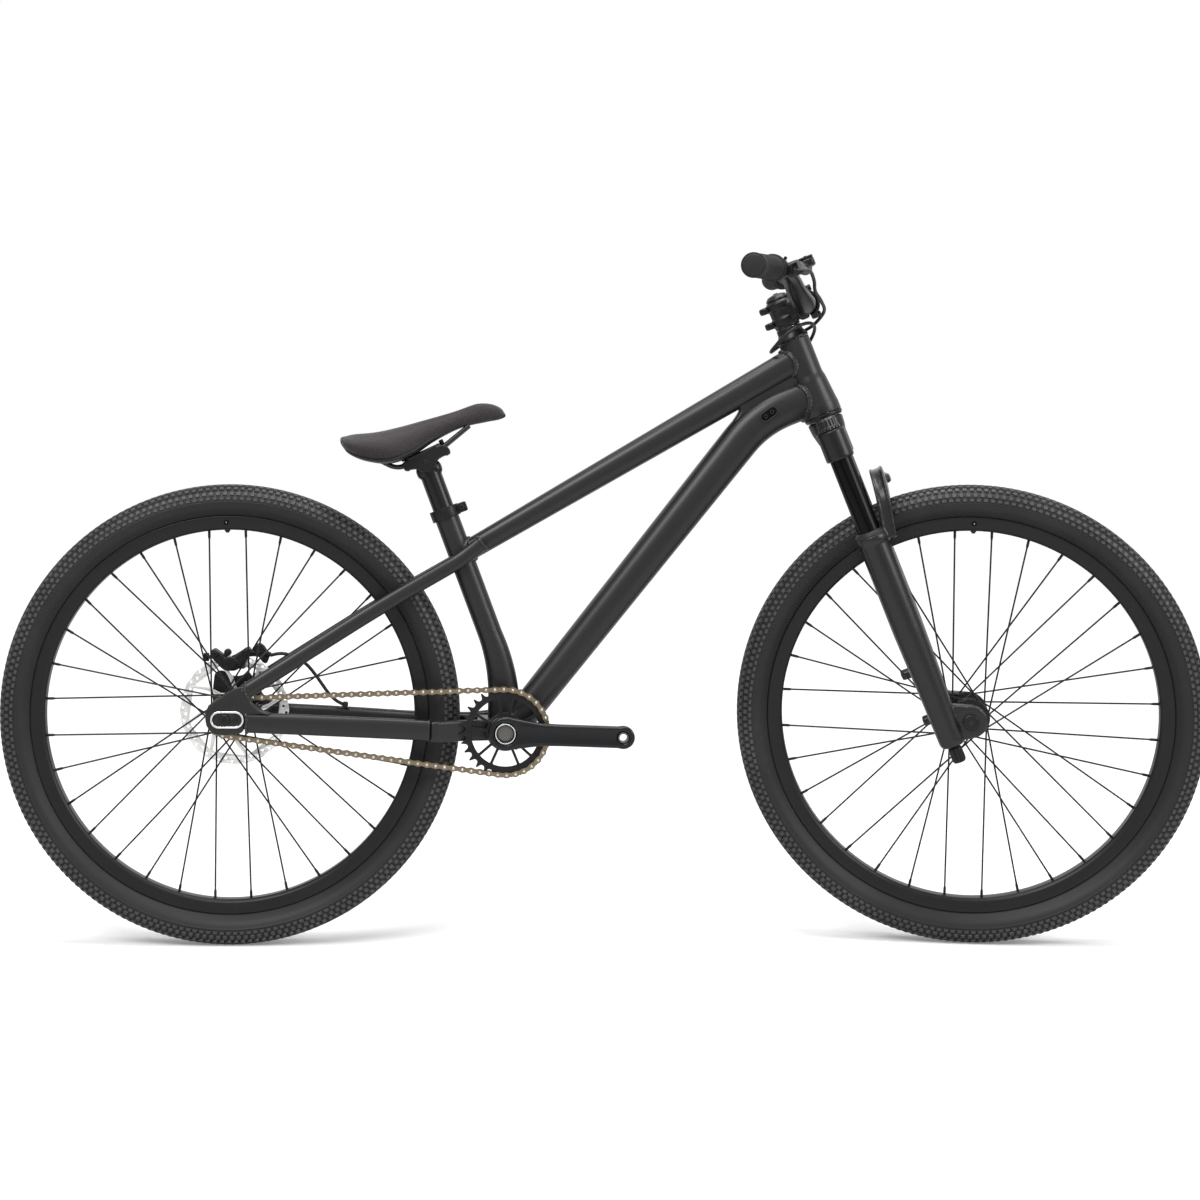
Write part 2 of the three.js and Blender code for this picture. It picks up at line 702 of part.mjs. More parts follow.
function rearWheel() {
  const ends = [driverInner + clearance, rearHubWidth / 2 - axleBoltHeight];
  const profile = hubProfile(rearFlangeRight, rearFlangeLeft, ends,
    boreFor(rearAxleRadius), rotorFace - clearance);
  const wheel = new THREE.Group();
  wheel.position.set(rearAxleX, 0, wheelRadius);
  wheel.add(tyre('rear_tyre'), rim('rear_rim'), hub('rear_hub', profile, [rearFlangeRight, rearFlangeLeft]),
    brakeRotor());
  return wheel;
}

function brakeRotor() {
  const shape = outline(circle(rotorRadius, 2 * roundFaces));
  shape.holes.push(ringOutline(circle(boreFor(hubEndRadius), roundFaces)));
  for (let i = 0; i < rotorWindows; i += 1) {
    // Each window leans forward towards the rim of the disc, which leaves slanted arms
    const corners = rotorWindowShares.map(([out, share]) => {
      const radius = blend(rotorHubRadius, rotorRadius - rotorBand, out);
      const angle = ((i + share + rotorLeanShare * out) / rotorWindows) * fullTurn;
      return [radius * Math.cos(angle), radius * Math.sin(angle)];
    });
    shape.holes.push(ringOutline(corners));
  }
  return piece('brake_rotor', plate(shape, rotorThickness).translate(0, rotorPlane, 0), rotorSteel);
}

// Sprockets: a gap between teeth for each roller, whose root stays clear of it
function sprocketOutline(teeth, pitchRadius, phase) {
  const [tip, root] = [toothTipShare * chainPitch, toothRootShare * chainPitch];
  const depth = rollerRadius + clearance + toothRootRelief;
  const points = [];
  for (let i = 0; i < teeth; i += 1) {
    const angle = phase + (i / teeth) * fullTurn;
    for (const [along, out] of [[-tip, toothHeight], [-root, -depth], [root, -depth], [tip, toothHeight]]) {
      const radius = pitchRadius + out;
      points.push([radius * Math.cos(angle + along / radius), radius * Math.sin(angle + along / radius)]);
    }
  }
  return outline(points);
}

const layout = chainLayout(axleDistance);
const driveAngle = Math.atan2(bracketZ - wheelRadius, bracketX - rearAxleX);
const upperAngle = Math.PI / 2 + layout.lean;
const firstCogPin = Math.ceil(layout.ringSteps + layout.straightSteps);
const cogPhase = -upperAngle - ((firstCogPin - layout.ringSteps - layout.straightSteps) / cogTeeth) * fullTurn;

// One window of the chainring: shares of its depth outward and of the turn between arms
const ringWindowShares = [[0, 0.24], [0.8, 0.12], [1, 0.32], [1, 0.68], [0.8, 0.88], [0, 0.76]];

function chainring() {
  const shape = sprocketOutline(ringTeeth, ringPitchRadius, upperAngle + driveAngle);
  shape.holes.push(ringOutline(circle(ringHoleRadius, roundFaces)));
  for (let i = 0; i < ringWindows; i += 1) {
    const corners = ringWindowShares.map(([out, share]) => {
      const radius = blend(ringWindowInner, ringWindowOuter, out);
      const angle = ((i + share) / ringWindows) * fullTurn;
      return [radius * Math.cos(angle), radius * Math.sin(angle)];
    });
    shape.holes.push(ringOutline(corners));
  }
  return piece('chainring', plate(shape, 2 * cogHalf).translate(0, -chainLine, 0), blackAlloy);
}

function rearCog() {
  const bore = boreFor(rearAxleRadius);
  const shape = sprocketOutline(cogTeeth, cogPitchRadius, cogPhase + driveAngle);
  shape.holes.push(ringOutline(circle((bore + driverRadius) / 2, smallFaces)));
  const cog = plate(shape, 2 * cogHalf).translate(0, -chainLine, 0);
  const outerEnd = -(rearHubWidth / 2 - axleBoltHeight);
  const driver = latheAcross([[bore, driverInner], [driverRadius, driverInner],
    [driverRadius, -chainLine - 4 * cogHalf], [hubEndRadius, -chainLine - 5 * cogHalf],
    [hubEndRadius, outerEnd], [bore, outerEnd]]);
  const mesh = piece('rear_cog', join(cog, driver), chromeSteel);
  mesh.position.set(rearAxleX, 0, wheelRadius);
  return mesh;
}

// The middle of a pin, counted in links from where the upper run meets the chainring
function chainPin(step) {
  let rest = step % linkCount;
  const ring = [axleDistance, ringPitchRadius, upperAngle, ringTeeth];
  const cog = [0, cogPitchRadius, -upperAngle, cogTeeth];
  const onSprocket = ([x, radius, start, teeth], steps) => {
    const angle = start - (steps / teeth) * fullTurn;
    return new THREE.Vector2(x + radius * Math.cos(angle), radius * Math.sin(angle));
  };
  const along = (from, to) => from.lerp(to, rest / layout.straightSteps);
  if (rest < layout.ringSteps) return onSprocket(ring, rest);
  rest -= layout.ringSteps;
  if (rest < layout.straightSteps) return along(onSprocket(ring, layout.ringSteps), onSprocket(cog, 0));
  rest -= layout.straightSteps;
  if (rest < layout.cogSteps) return onSprocket(cog, rest);
  rest -= layout.cogSteps;
  return along(onSprocket(cog, layout.cogSteps), onSprocket(ring, 0));
}

function chain() {
  const outerHalf = chainInnerWidth / 2 + plateThickness;
  // An inner link seen from above: two plates across two roller bars, open between them
  const innerLink = () => {
    const rectangle = (x, y) => [[-x, -y], [x, -y], [x, y], [-x, y]];
    const shape = outline(rectangle(chainPitch / 2 + rollerHalf, outerHalf));
    shape.holes.push(ringOutline(rectangle(chainPitch / 2 - rollerHalf, chainInnerWidth / 2)));
    return new THREE.ExtrudeGeometry(shape, { depth: 2 * innerPlateHalf, bevelEnabled: false })
      .translate(0, 0, -innerPlateHalf);
  };
  const tip = chainPitch / 2 + outerPlateHalf;
  const shoulder = chainPitch / 2 + outerPlateHalf * plateShoulderShare;
  const plateShape = outline([[-tip, 0], [-shoulder, -outerPlateHalf], [shoulder, -outerPlateHalf], [tip, 0],
    [shoulder, outerPlateHalf], [-shoulder, outerPlateHalf]]);
  const offset = outerHalf + plateThickness / 2 - plateLap;
  const parts = [];
  for (let i = 0; i < linkCount; i += 1) {
    const [from, to] = [chainPin(i), chainPin(i + 1)];
    const middle = from.clone().add(to).multiplyScalar(0.5);
    const angle = to.clone().sub(from).angle();
    const link = i % 2 ? [innerLink()]
      : [-offset, offset].map((y) => plate(plateShape, plateThickness).translate(0, y, 0));
    parts.push(...link.map((shape) => shape.rotateY(-angle).translate(middle.x, 0, middle.y)));
  }
  const loop = join(...parts).rotateY(-driveAngle).translate(rearAxleX, -chainLine, wheelRadius);
  return piece('chain', loop, chainSteel);
}

// Cranks: an arm points forward from the spindle, which is the Y axis
function crankArm(name, side) {
  const [root, tip, waist] = [crankRootHeight / 2, crankTipHeight / 2, crankWaistHeight / 2];
  const end = (radius, x, from, to) => Array.from({ length: crankArcSteps + 1 }, (_, i) => {
    const angle = blend(from, to, i / crankArcSteps) * Math.PI;
    return [x + radius * Math.cos(angle), radius * Math.sin(angle)];
  });
  const waistX = crankLength * crankWaistShare;
  const shape = outline([...end(root, 0, crankRootArcShare, 2 - crankRootArcShare), [waistX, -waist],
    ...end(tip, crankLength, -crankTipArcShare, crankTipArcShare), [waistX, waist]]);
  const middle = crankInset + crankThickness / 2;
  const shear = new THREE.Matrix4().set(1, 0, 0, 0, -crankCantShare, 1, 0, 0, 0, 0, 1, 0, 0, 0, 0, 1);
  const arm = plate(shape, crankThickness, crankBevel).translate(0, -middle, 0).applyMatrix4(shear);
  const boss = drum(root * crankBossShare, -middle, 2 * clearance - chainLine - 2 * cogHalf);
  const through = 2 * crankInset;
  const hole = drum(spindleRadius + clearance, -through, 0);
  const capSeat = drum(spindleCapRadius + clearance, -through, -crankInset - crankThickness);
  const eye = drum(pedalEyeRadius, -through, 0).translate(crankLength, 0, 0);
  const body = cut(join(arm, boss), hole, capSeat, eye);
  const mesh = piece(name, side > 0 ? mirrored(body) : body, blackAlloy);
  mesh.rotation.y = side > 0 ? Math.PI : 0;
  return mesh;
}

function cranks() {
  const group = new THREE.Group();
  const outer = crankInset + crankThickness;
  const spindle = latheAcross([[0, -outer - spindleCapHeight], [spindleCapRadius, -outer - spindleCapHeight],
    [spindleCapRadius, -outer - clearance], [spindleRadius, -outer - clearance],
    [spindleRadius, outer + clearance], [spindleCapRadius, outer + clearance],
    [spindleCapRadius, outer + spindleCapHeight], [0, outer + spindleCapHeight]]);
  const arms = new THREE.Group();
  arms.add(crankArm('crank_right', -1), crankArm('crank_left', 1), piece('crank_spindle', spindle, blackAlloy));
  arms.rotation.y = crankTurn;
  group.add(arms, chainring());
  group.position.set(bracketX, 0, bracketZ);
  return group;
}

// Frame
const frameTube = (name, geometry) => piece(name, geometry, framePaint);
const seatAxisAt = (along) => seatTop.clone().addScaledVector(seatUp, along);
const placedOnSteering = (geometry) => {
  const turn = new THREE.Matrix4().makeBasis(steerForward, at(0, 1, 0), steerUp);
  return geometry.applyMatrix4(turn.setPosition(forkBase));
};

function headTube(grow = 0) {
  const [flareFoot, flareTop] = headTubeFlareShares.map((share) => headTubeStep * share);
  const profile = [[headTubeFootRadius, 0], [headTubeFootRadius, flareFoot],
    [blend(headTubeTopRadius, headTubeFootRadius, headTubeFlareTopShare), flareTop],
    [headTubeTopRadius, headTubeStep], [headTubeTopRadius, headTubeLength]];
  const outside = profile.map(([radius, z]) => [radius + grow, z + headTubeFoot]);
  if (grow) return placedOnSteering(latheUp([[0, headTubeFoot], ...outside, [0, headTubeTop]]));
  return placedOnSteering(latheUp([...outside, [headBoreTop, headTubeTop], [headBoreFoot, headTubeFoot]]));
}

const seatTubeRoute = roundedRoute([at(bracketX, 0, bracketZ), seatBend, seatTop], seatTubeBend, longBendSteps);
const seatTubeBody = (grow) => sweep(seatTubeRoute, (share) => ({
  wide: seatTubeRadius + grow,
  tall: blend(seatTubeFoot, seatTubeRadius, Math.min(1, share / seatTubeTaperShare)) + grow,
}));
const bracketShellBody = (grow) => drum(bracketShellRadius + grow, -bracketShellWidth / 2 - grow,
  bracketShellWidth / 2 + grow).translate(bracketX, 0, bracketZ);

const topTubeEnds = [seatAxisAt(-topTubeSeatDrop), onSteering(headTubeTop - topTubeDrop)];
const topTubeBody = (grow) => sweep(roundedRoute(topTubeEnds, 0), (share) => ({
  wide: blend(topTubeWideRear, topTubeWideFront, share) + grow,
  tall: blend(topTubeTallRear, topTubeTallFront, share) + grow,
  power: topTubePower,
}));

// The down tube runs straight from the bottom bracket, then bends flatter than the top tube to meet
// the head tube above the fork's crown
const downTubeFoot = at(bracketX, 0, bracketZ - downTubeFootDrop);
const downTubeEnd = onSteering(headTubeFoot + downTubeRise);
const downTubeLeaves = topTubeEnds[0].clone().sub(topTubeEnds[1]).normalize()
  .applyAxisAngle(at(0, 1, 0), downTubeFlattening);
const downTubeCorner = downTubeEnd.clone().addScaledVector(downTubeLeaves, downTubeEndRun);
const downTubeRoute = roundedRoute([downTubeFoot, downTubeCorner, downTubeEnd], downTubeBend, longBendSteps);
const downTubeBody = (grow) => sweep(downTubeRoute, (share) => ({
  wide: blend(downTubeWideRear, downTubeWideFront, share) + grow,
  tall: blend(downTubeTallRear, downTubeTallFront, Math.min(1, share / downTubeFullShare)) + grow,
  power: downTubePower,
}));

function seatTubeBore() {
  return rod(seatAxisAt(-seatpostInsertion - seatTubeBoreSpare), seatAxisAt(overrun), seatpostRadius + clearance);
}

// A web that fills the corner between the two tubes behind the head tube
function headGusset() {
  const [top, bottom] = [topTubeEnds[1], downTubeEnd];
  const back = (end, tip) => end.clone().addScaledVector(tip.clone().sub(end).normalize(), gussetReach);
  const upper = back(top, topTubeEnds[0]);
  const lower = back(bottom, downTubeCorner);
  const slope = upper.clone().sub(top).normalize();
  const waist = upper.clone().lerp(lower, 0.5).addScaledVector(slope, -gussetReach * gussetWaistShare);
  return plate(outline([top, upper, waist, lower, bottom].map((p) => [p.x, p.z])), gussetThickness);
}

function frameFront() {
  const head = headTube(clearance);
  const belowHead = placedOnSteering(post(2 * headTubeFootRadius, crownTop, headTubeFoot + clearance));
  const shell = bracketShellBody(clearance);
  const seat = seatTubeBody(clearance);
  const down = downTubeBody(clearance);
  const top = topTubeBody(clearance);
  return [
    frameTube('head_tube', headTube()),
    frameTube('top_tube', cut(topTubeBody(0), head, seat, down)),
    frameTube('down_tube', cut(downTubeBody(0), head, shell, seat, belowHead)),
    frameTube('seat_tube', cut(seatTubeBody(0), shell, yokeBridge(clearance), seatTubeBore())),
    frameTube('head_gusset', cut(headGusset(), head, top, down)),
  ];
}

// The bottom bracket shell and its yoke, which carries the chainstays past the tyre and the chainring
const yokeRear = bracketX - yokeReach;
// Plan of an arm's inner edge: shares of its reach back and of its final spread
const yokeArmShares = [[0, 0.43], [0.42, 0.58], [0.62, 0.69], [0.8, 0.87], [0.9, 1], [1, 1]];

// The block that joins the two arms behind the seat tube
const yokeBridge = (grow) => block(
  at(bracketX - yokeBridgeLength - grow, -yokeBridgeHalf - grow, bracketZ + yokeRise - yokeHeight / 2 - grow),
  at(bracketX, yokeBridgeHalf + grow, bracketZ + yokeRise + yokeHeight / 2 + grow));

function bracketShell() {
  const arm = (side) => {
    const edge = (grow) => yokeArmShares.map(([back, out]) =>
      [bracketX - yokeReach * back, side * (out * (chainstayFront - yokeArm / 2) + grow)]);
    const shape = outline([...edge(0), ...edge(yokeArm).reverse()]);
    return new THREE.ExtrudeGeometry(shape, { depth: yokeHeight, bevelEnabled: false })
      .translate(0, 0, bracketZ - yokeHeight / 2 + yokeRise);
  };
  const bore = drum(bracketCupRadius, -bracketShellWidth, bracketShellWidth).translate(bracketX, 0, bracketZ);
  return frameTube('bottom_bracket_shell', cut(join(bracketShellBody(0), arm(1), arm(-1), yokeBridge(0)), bore));
}

function bracketCup(name, side) {
  const face = bracketShellWidth / 2 + clearance;
  const inner = boreFor(spindleRadius);
  const depth = face - bracketCupDepth;
  const profile = [[inner, depth], [bracketCupRadius - clearance, depth],
    [bracketCupRadius - clearance, face], [bracketShellRadius, face], [bracketShellRadius, face + bracketCupLip],
    [inner, face + bracketCupLip]];
  const mesh = piece(name, latheAcross(profile.map(([radius, y]) => [radius, side * y])), blackAlloy);
  mesh.position.set(bracketX, 0, bracketZ);
  return mesh;
}

// The seatstays rise from the dropouts, close in over the tyre and pass the seat tube on both sides
const seatForward = at(seatUp.z, 0, -seatUp.x);
const seatstayRoute = (side) => {
  const foot = at(rearAxleX + stayStart - 2 * overrun, side * stayCentre, wheelRadius + seatstayRise - overrun);
  const beside = (drop, ahead) =>
    seatAxisAt(-drop).addScaledVector(seatForward, ahead).setY(side * seatstayTopSpread);
  const neck = beside(seatstayNeckDrop, -seatstayNeckBack);
  const knee = foot.clone().lerp(neck, seatstayKneeShare).setY(side * seatstayKneeSpread)
    .add(at(0, 0, seatstayKneeRise));
  return roundedRoute([foot, knee, neck, beside(seatstayTopDrop, seatstayTopAhead)], seatstayBend);
};

function stays(side, sideName) {
  const start = rearAxleX + stayStart;
  const behind = block(at(start - dropoutLength, -rearHubWidth, 0), at(start, rearHubWidth, 2 * wheelRadius));
  const ahead = block(at(yokeRear - clearance, -rearHubWidth, 0), at(bracketX, rearHubWidth, 2 * bracketZ));
  const low = [at(start - overrun, side * stayCentre, wheelRadius - chainstayRearDrop),
    at(yokeRear + overrun, side * chainstayFront, bracketZ + chainstayFrontRise)];
  const chainstay = sweep(roundedRoute(low, 0),
    () => ({ wide: chainstayWide, tall: chainstayTall, power: chainstayPower }));
  const seatstay = sweep(seatstayRoute(side),
    () => ({ wide: seatstayWide, tall: seatstayTall, power: seatstayPower }));
  return [
    frameTube(`chainstay_${sideName}`, cut(chainstay, behind, ahead)),
    frameTube(`seatstay_${sideName}`, cut(seatstay, behind, seatTubeBody(clearance), topTubeBody(clearance))),
  ];
}

// Outline of a dropout behind its stays, from the top round to the foot: shares of its length and height
const dropoutShares = [[0.16, 0.53], [-0.12, 0.33], [-0.28, 0.2], [-0.3, -0.05], [-0.2, -0.24], [0, -0.27]];

function dropout(side, sideName) {
  const middle = side * (dropoutInner + dropoutThickness / 2);
  const edge = stayStart - clearance;
  const stayFoot = -chainstayRearDrop - chainstayTall;
  const rear = dropoutShares.map(([x, z]) => [x * dropoutLength, z * dropoutHeight]);
  const shape = outline([[edge, stayFoot], [edge, seatstayRise + seatstayTall], ...rear]);
  const slot = plate(outline(stadium(slotLength, slotHeight)), 2 * dropoutThickness)
    .translate(slotShift, middle, 0);
  const body = plate(shape, dropoutThickness, dropoutBevel).translate(0, middle, 0);
  const mesh = frameTube(`dropout_${sideName}`, cut(body, slot));
  mesh.position.set(rearAxleX, 0, wheelRadius);
  return mesh;
}

function axleGuide(side, sideName) {
  const face = dropoutInner + dropoutThickness + clearance;
  const outer = face + guideThickness;
  const floor = outer - guideRecess;
  const ring = plate(outline(stadium(guideLength, guideHeight, roundFaces)), guideThickness)
    .translate(slotShift, (face + outer) / 2, 0);
  const inside = outline(stadium(guideLength - 2 * guideRim, guideHeight - 2 * guideRim, roundFaces));
  const recess = plate(inside, 2 * guideRecess).translate(slotShift, outer, 0);
  const hole = drum(rearAxleRadius + clearance, face - overrun, outer + overrun);
  const screw = drum(guideScrewRadius, (face + floor) / 2, outer - clearance, smallFaces)
    .translate(guideScrewPlace, 0, 0);
  const body = join(cut(ring, recess, hole), screw);
  const mesh = piece(`axle_guide_${sideName}`, side > 0 ? body : mirrored(body), chromeSteel);
  mesh.position.set(rearAxleX, 0, wheelRadius);
  return mesh;
}

function rearAxle() {
  const face = dropoutInner + dropoutThickness + guideThickness - guideRecess + 2 * clearance;
  const spacerInner = rearHubWidth / 2 - axleBoltHeight + clearance;
  const spacerOuter = dropoutInner - clearance;
  const side = (sign) => [[rearAxleRadius, spacerInner], [axleSpacerRadius, spacerInner],
    [axleSpacerRadius, spacerOuter], [rearAxleRadius, spacerOuter], [rearAxleRadius, face],
    [axleBoltRadius, face], [axleBoltRadius, face + axleHeadHeight],
    [0, face + axleHeadHeight]].map(([radius, y]) => [radius, sign * y]);
  const mesh = piece('rear_axle', latheAcross([...side(1), ...side(-1).reverse()]), blackAlloy);
  mesh.position.set(rearAxleX, 0, wheelRadius);
  return mesh;
}

function seatClamp() {
  const inner = seatTubeRadius + clearance;
  const [foot, reach] = [-clampHeight, inner + clampEar];
  const half = clampEarWidth / 2;
  const ring = rod(at(0, 0, foot), at(0, 0, 0), inner + clampWall);
  const ear = block(at(inner, -half, foot + clampLip), at(reach, half, -clampLip));
  const slot = block(at(0, -clampSlot / 2, foot - overrun), at(reach + overrun, clampSlot / 2, overrun));
  const boltAt = (y) => at(reach - clampEar / 2, y, foot / 2);
  const bolt = rod(boltAt(-half - clampBoltHead), boltAt(half + clampBoltHead), clampBoltRadius, smallFaces);
  const bore = rod(at(0, 0, foot - overrun), at(0, 0, overrun), inner);
  const mesh = piece('seat_clamp', join(cut(join(ring, ear), slot, bore), bolt), blackAlloy);
  mesh.position.copy(seatTop);
  mesh.rotation.y = -seatTubeTilt;
  return mesh;
}

function headsetLowerCup() {
  const [inner, foot, top] = [boreFor(steererFootRadius), forkLength + clearance, headTubeFoot - clearance];
  const profile = [[inner, foot], [headTubeFootRadius - cupChamfer, foot], [headTubeFootRadius, (foot + top) / 2],
    [headTubeFootRadius, top], [inner, top]];
  return piece('headset_lower_cup', placedOnSteering(latheUp(profile)), blackAlloy);
}

// Seatpost and saddle
function seatpost() {
  const neck = rod(at(0, 0, -seatpostInsertion), at(0, 0, seatpostHeight), seatpostRadius, roundFaces);
  const head = rod(at(0, -seatpostHeadWidth / 2, seatpostHeight), at(0, seatpostHeadWidth / 2, seatpostHeight),
    seatpostHeadRadius);
  const [wide, end] = [2 * seatpostRadius, seatpostHeight - seatpostHeadRadius * seatpostTrimShare];
  const trim = block(at(-wide, -wide, end), at(wide, wide, 2 * seatpostHeight));
  const mesh = piece('seatpost', join(cut(neck, trim), head), blackAlloy);
  mesh.position.copy(seatTop);
  mesh.rotation.y = -seatTubeTilt;
  return mesh;
}

// Along the saddle, nose last: shares of its length, of its height to the top and to the underside,
// and of its half width
const saddleShares = [
  [-0.425, 1.29, 1.22, 0.5], [-0.4, 1.41, 0.93, 0.8], [-0.32, 1.29, 0.6, 0.95], [-0.2, 1.12, 0.34, 1],
  [-0.055, 0.995, 0.29, 0.78], [0.1, 0.895, 0.38, 0.5], [0.28, 0.785, 0.4, 0.33], [0.44, 0.725, 0.27, 0.28],
  [0.51, 0.625, 0.2, 0.25], [0.555, 0.47, 0.19, 0.19], [0.572, 0.34, 0.26, 0.09],
];
const cushionFloor = saddleBaseDepth + clearance;

function saddleCushion() {
  const rings = saddleShares.map(([share, top, under, width]) => {
    const [floor, peak] = [under * saddleHeight + cushionFloor, top * saddleHeight];
    const half = (width * saddleWidth) / 2;
    const rise = Math.max(peak - floor, saddleBaseDepth);
    return Array.from({ length: cushionFaces }, (_, i) => {
      const angle = (i / cushionFaces) * fullTurn;
      const [c, s] = [Math.cos(angle), Math.sin(angle)];
      // The crown is domed, the sides draw in towards the floor, and the floor is flat
      const out = half * Math.sign(c) * Math.abs(c) ** cushionEdgePower * (s < 0 ? cushionDrawShare : 1);
      const dome = cushionSideShare + (1 - cushionSideShare) * Math.abs(s) ** cushionCrownPower;
      const height = s > 0 ? rise * dome : rise * cushionSideShare * (1 + Math.max(-1, cushionTuck * s));
      return at(share * saddleLength, out, floor + height);
    });
  });
  return piece('saddle_cushion', skin(rings), saddleCloth);
}

// Section of the base: shares of its half width and of its depth
const saddleBaseShares = [[-1, 0.35], [-0.8, 0], [0.8, 0], [1, 0.35], [1, 1], [-1, 1]];

function saddleBaseBody() {
  const rings = saddleShares.map(([share, , under, width]) => {
    const floor = under * saddleHeight;
    const half = width * saddleWidth / 2 - saddleBaseInset;
    return saddleBaseShares.map(([across, up]) =>
      at(share * saddleLength, across * half, floor + up * saddleBaseDepth));
  });
  return skin(rings);
}

// A rail from the nose back: shares of the saddle's length, of the spread and of its height over the clamp
const railShares = [[0.333, 0.5, 0.212], [0.18, 0.864, 0.058], [0.12, 1, 0], [-0.158, 1, 0], [-0.222, 1, 0.2],
  [-0.308, 1.136, 0.378]];

function saddleRail(name, side) {
  const points = railShares.map(([x, y, z]) =>
    at(x * saddleLength, side * y * railSpread, railHeight + z * saddleHeight));
  const rail = sweep(roundedRoute(points, railBend, shortBendSteps), round(railRadius), railFaces);
  return piece(name, cut(rail, saddleBaseBody().translate(0, 0, -clearance)), chromeSteel);
}

function saddleClamp() {
  const half = clampPlateLength / 2;
  const under = seatpostHeadRadius + clearance;
  const side = railSpread + railRadius + clearance;
  const outer = side + clampSkirt;
  const top = block(at(-half, -outer, under), at(half, outer, under + clampPlateThickness));
  const skirts = [[-outer, -side], [side, outer]].flatMap(([from, to]) => [
    drum(seatpostHeadRadius, from, to),
    block(at(-half / 2, from, 0), at(half / 2, to, under + clampPlateThickness / 2)),
  ]);
  return piece('saddle_clamp', join(top, ...skirts), blackAlloy);
}

function saddle() {
  const group = new THREE.Group();
  group.add(saddleCushion(), piece('saddle_base', saddleBaseBody(), blackPlastic),
    saddleRail('saddle_rail_right', -1), saddleRail('saddle_rail_left', 1), saddleClamp());
  group.position.copy(saddlePivot);
  group.rotation.y = -saddleTilt;
  return group;
}

// Fork and cockpit: Z is the steering axis, X forward across it
function forkCrown() {
  const steererTop = stemTop - overrun;
  const armMiddle = crownTop - crownArmHeight / 2;
  const steerer = latheUp([[0, armMiddle], [steererFootRadius, armMiddle], [steererFootRadius, headTubeFoot],
    [steererRadius, headTubeTop], [steererRadius, steererTop], [0, steererTop]]);
  const raceFoot = crownTop - crownArmHeight * crownRaceShare;
  const race = latheUp([[0, raceFoot], [crownArmDepth * crownRaceWidthShares[0], raceFoot],
    [crownArmDepth * crownRaceWidthShares[1], crownTop],
    [headTubeFootRadius - cupChamfer, forkLength], [0, forkLength]]);
  const low = crownBottom + crownArmHeight * crownArmEndShare;
  const high = crownTop - crownArmHeight * crownArmMidShare;
  const armRoute = roundedRoute([at(legOffset, -legSpread, low), at(0, 0, high), at(legOffset, legSpread, low)],
    crownArmBend);
  const armSize = () => ({ wide: crownArmDepth / 2, tall: crownArmHeight / 2, power: crownPower });
  const arms = sweep(armRoute, armSize, smallFaces, at(1, 0, 0));
  const onLeg = (side, radius, from, to) => post(radius, from, to).translate(legOffset, side * legSpread, 0);
  const legs = [-1, 1].map((side) => onLeg(side, crownLegRadius, crownBottom, crownTop));
  const airCap = onLeg(1, stanchionRadius, crownTop - clearance, crownTop + airCapHeight);
  const bores = [-1, 1].map((side) =>
    onLeg(side, stanchionRadius + clearance, crownBottom - overrun, crownTop - overrun));
  return piece('fork_crown', cut(join(steerer, race, arms, ...legs, airCap), ...bores), forkPaint);
}

function stanchion(name, side) {
  const inner = stanchionRadius - stanchionWall;
  const profile = [[inner, stanchionFoot], [stanchionRadius, stanchionFoot],
    [stanchionRadius, crownTop - overrun - clearance], [inner, crownTop - overrun - clearance]];
  const mesh = piece(name, latheUp(profile), stanchionCoat);
  mesh.position.set(legOffset, side * legSpread, 0);
  return mesh;
}

// The arch leans forward from the legs and runs level over the tyre
function arch() {
  const half = (side) => [at(archFootForward, side * legSpread, archFoot),
    at(archReach - archLean, side * (legSpread - archShoulderInset), archHeight - archShoulderDrop),
    at(archReach, side * archFlatHalf, archHeight)];
  const route = roundedRoute([...half(-1), ...half(1).reverse()], archBend, shortBendSteps);
  const size = () => ({ wide: archThickness, tall: archWidth, power: archPower });
  return sweep(route, size, smallFaces, at(1, 0, 0));
}

function forkLowers() {
  const collarFoot = lowersTop - sealCollarHeight;
  const legProfile = [[0, lowerLegEnd], [lowerLegFootRadius * lowerLegEndShare, lowerLegEnd],
    [lowerLegFootRadius, lowerLegEnd + lowerLegTaper], [lowerLegRadius, stanchionFoot],
    [lowerLegRadius, collarFoot], [sealCollarRadius, collarFoot + sealCollarLip],
    [sealCollarRadius, lowersTop], [0, lowersTop]];
  const leg = (side) => latheUp(legProfile).translate(legOffset, side * legSpread, 0);
  const inner = frontHubWidth / 2;
  const outer = legSpread + axleLobeOutset;
  const lobe = (side) => drum(axleLobeRadius, inner, outer).scale(1, side, 1).translate(forkOffset, 0, 0);
  // A web from the leg down to the axle's lobe
  const webShape = outline([[0, -lowerLegFootRadius], [forkOffset, -axleLobeRadius * webFootShare],
    [forkOffset + axleLobeRadius * webFrontShares[0], axleLobeRadius * webFrontShares[1]],
    [lowerLegRadius * webTopShare, webHeight], [0, webHeight]]);
  const web = (side) => plate(webShape, outer - inner).translate(0, side * (outer + inner) / 2, 0);
  const mounts = [postMountFoot, postMountFoot + postMountSpacing].map((z) =>
    rod(at(0, legSpread, z), at(legOffset - postMountReach, legSpread, z), postMountRadius, smallFaces));
  const bores = [-1, 1].map((side) => post(stanchionRadius + clearance, lowersBoreFoot, lowersTop + overrun)
    .translate(legOffset, side * legSpread, 0));
  const axleHole = drum(frontAxleRadius + clearance, -2 * legSpread, 2 * legSpread).translate(forkOffset, 0, 0);
  const body = join(leg(-1), leg(1), lobe(-1), lobe(1), web(-1), web(1), arch(), ...mounts);
  return piece('fork_lowers', cut(body, ...bores, axleHole), forkPaint);
}

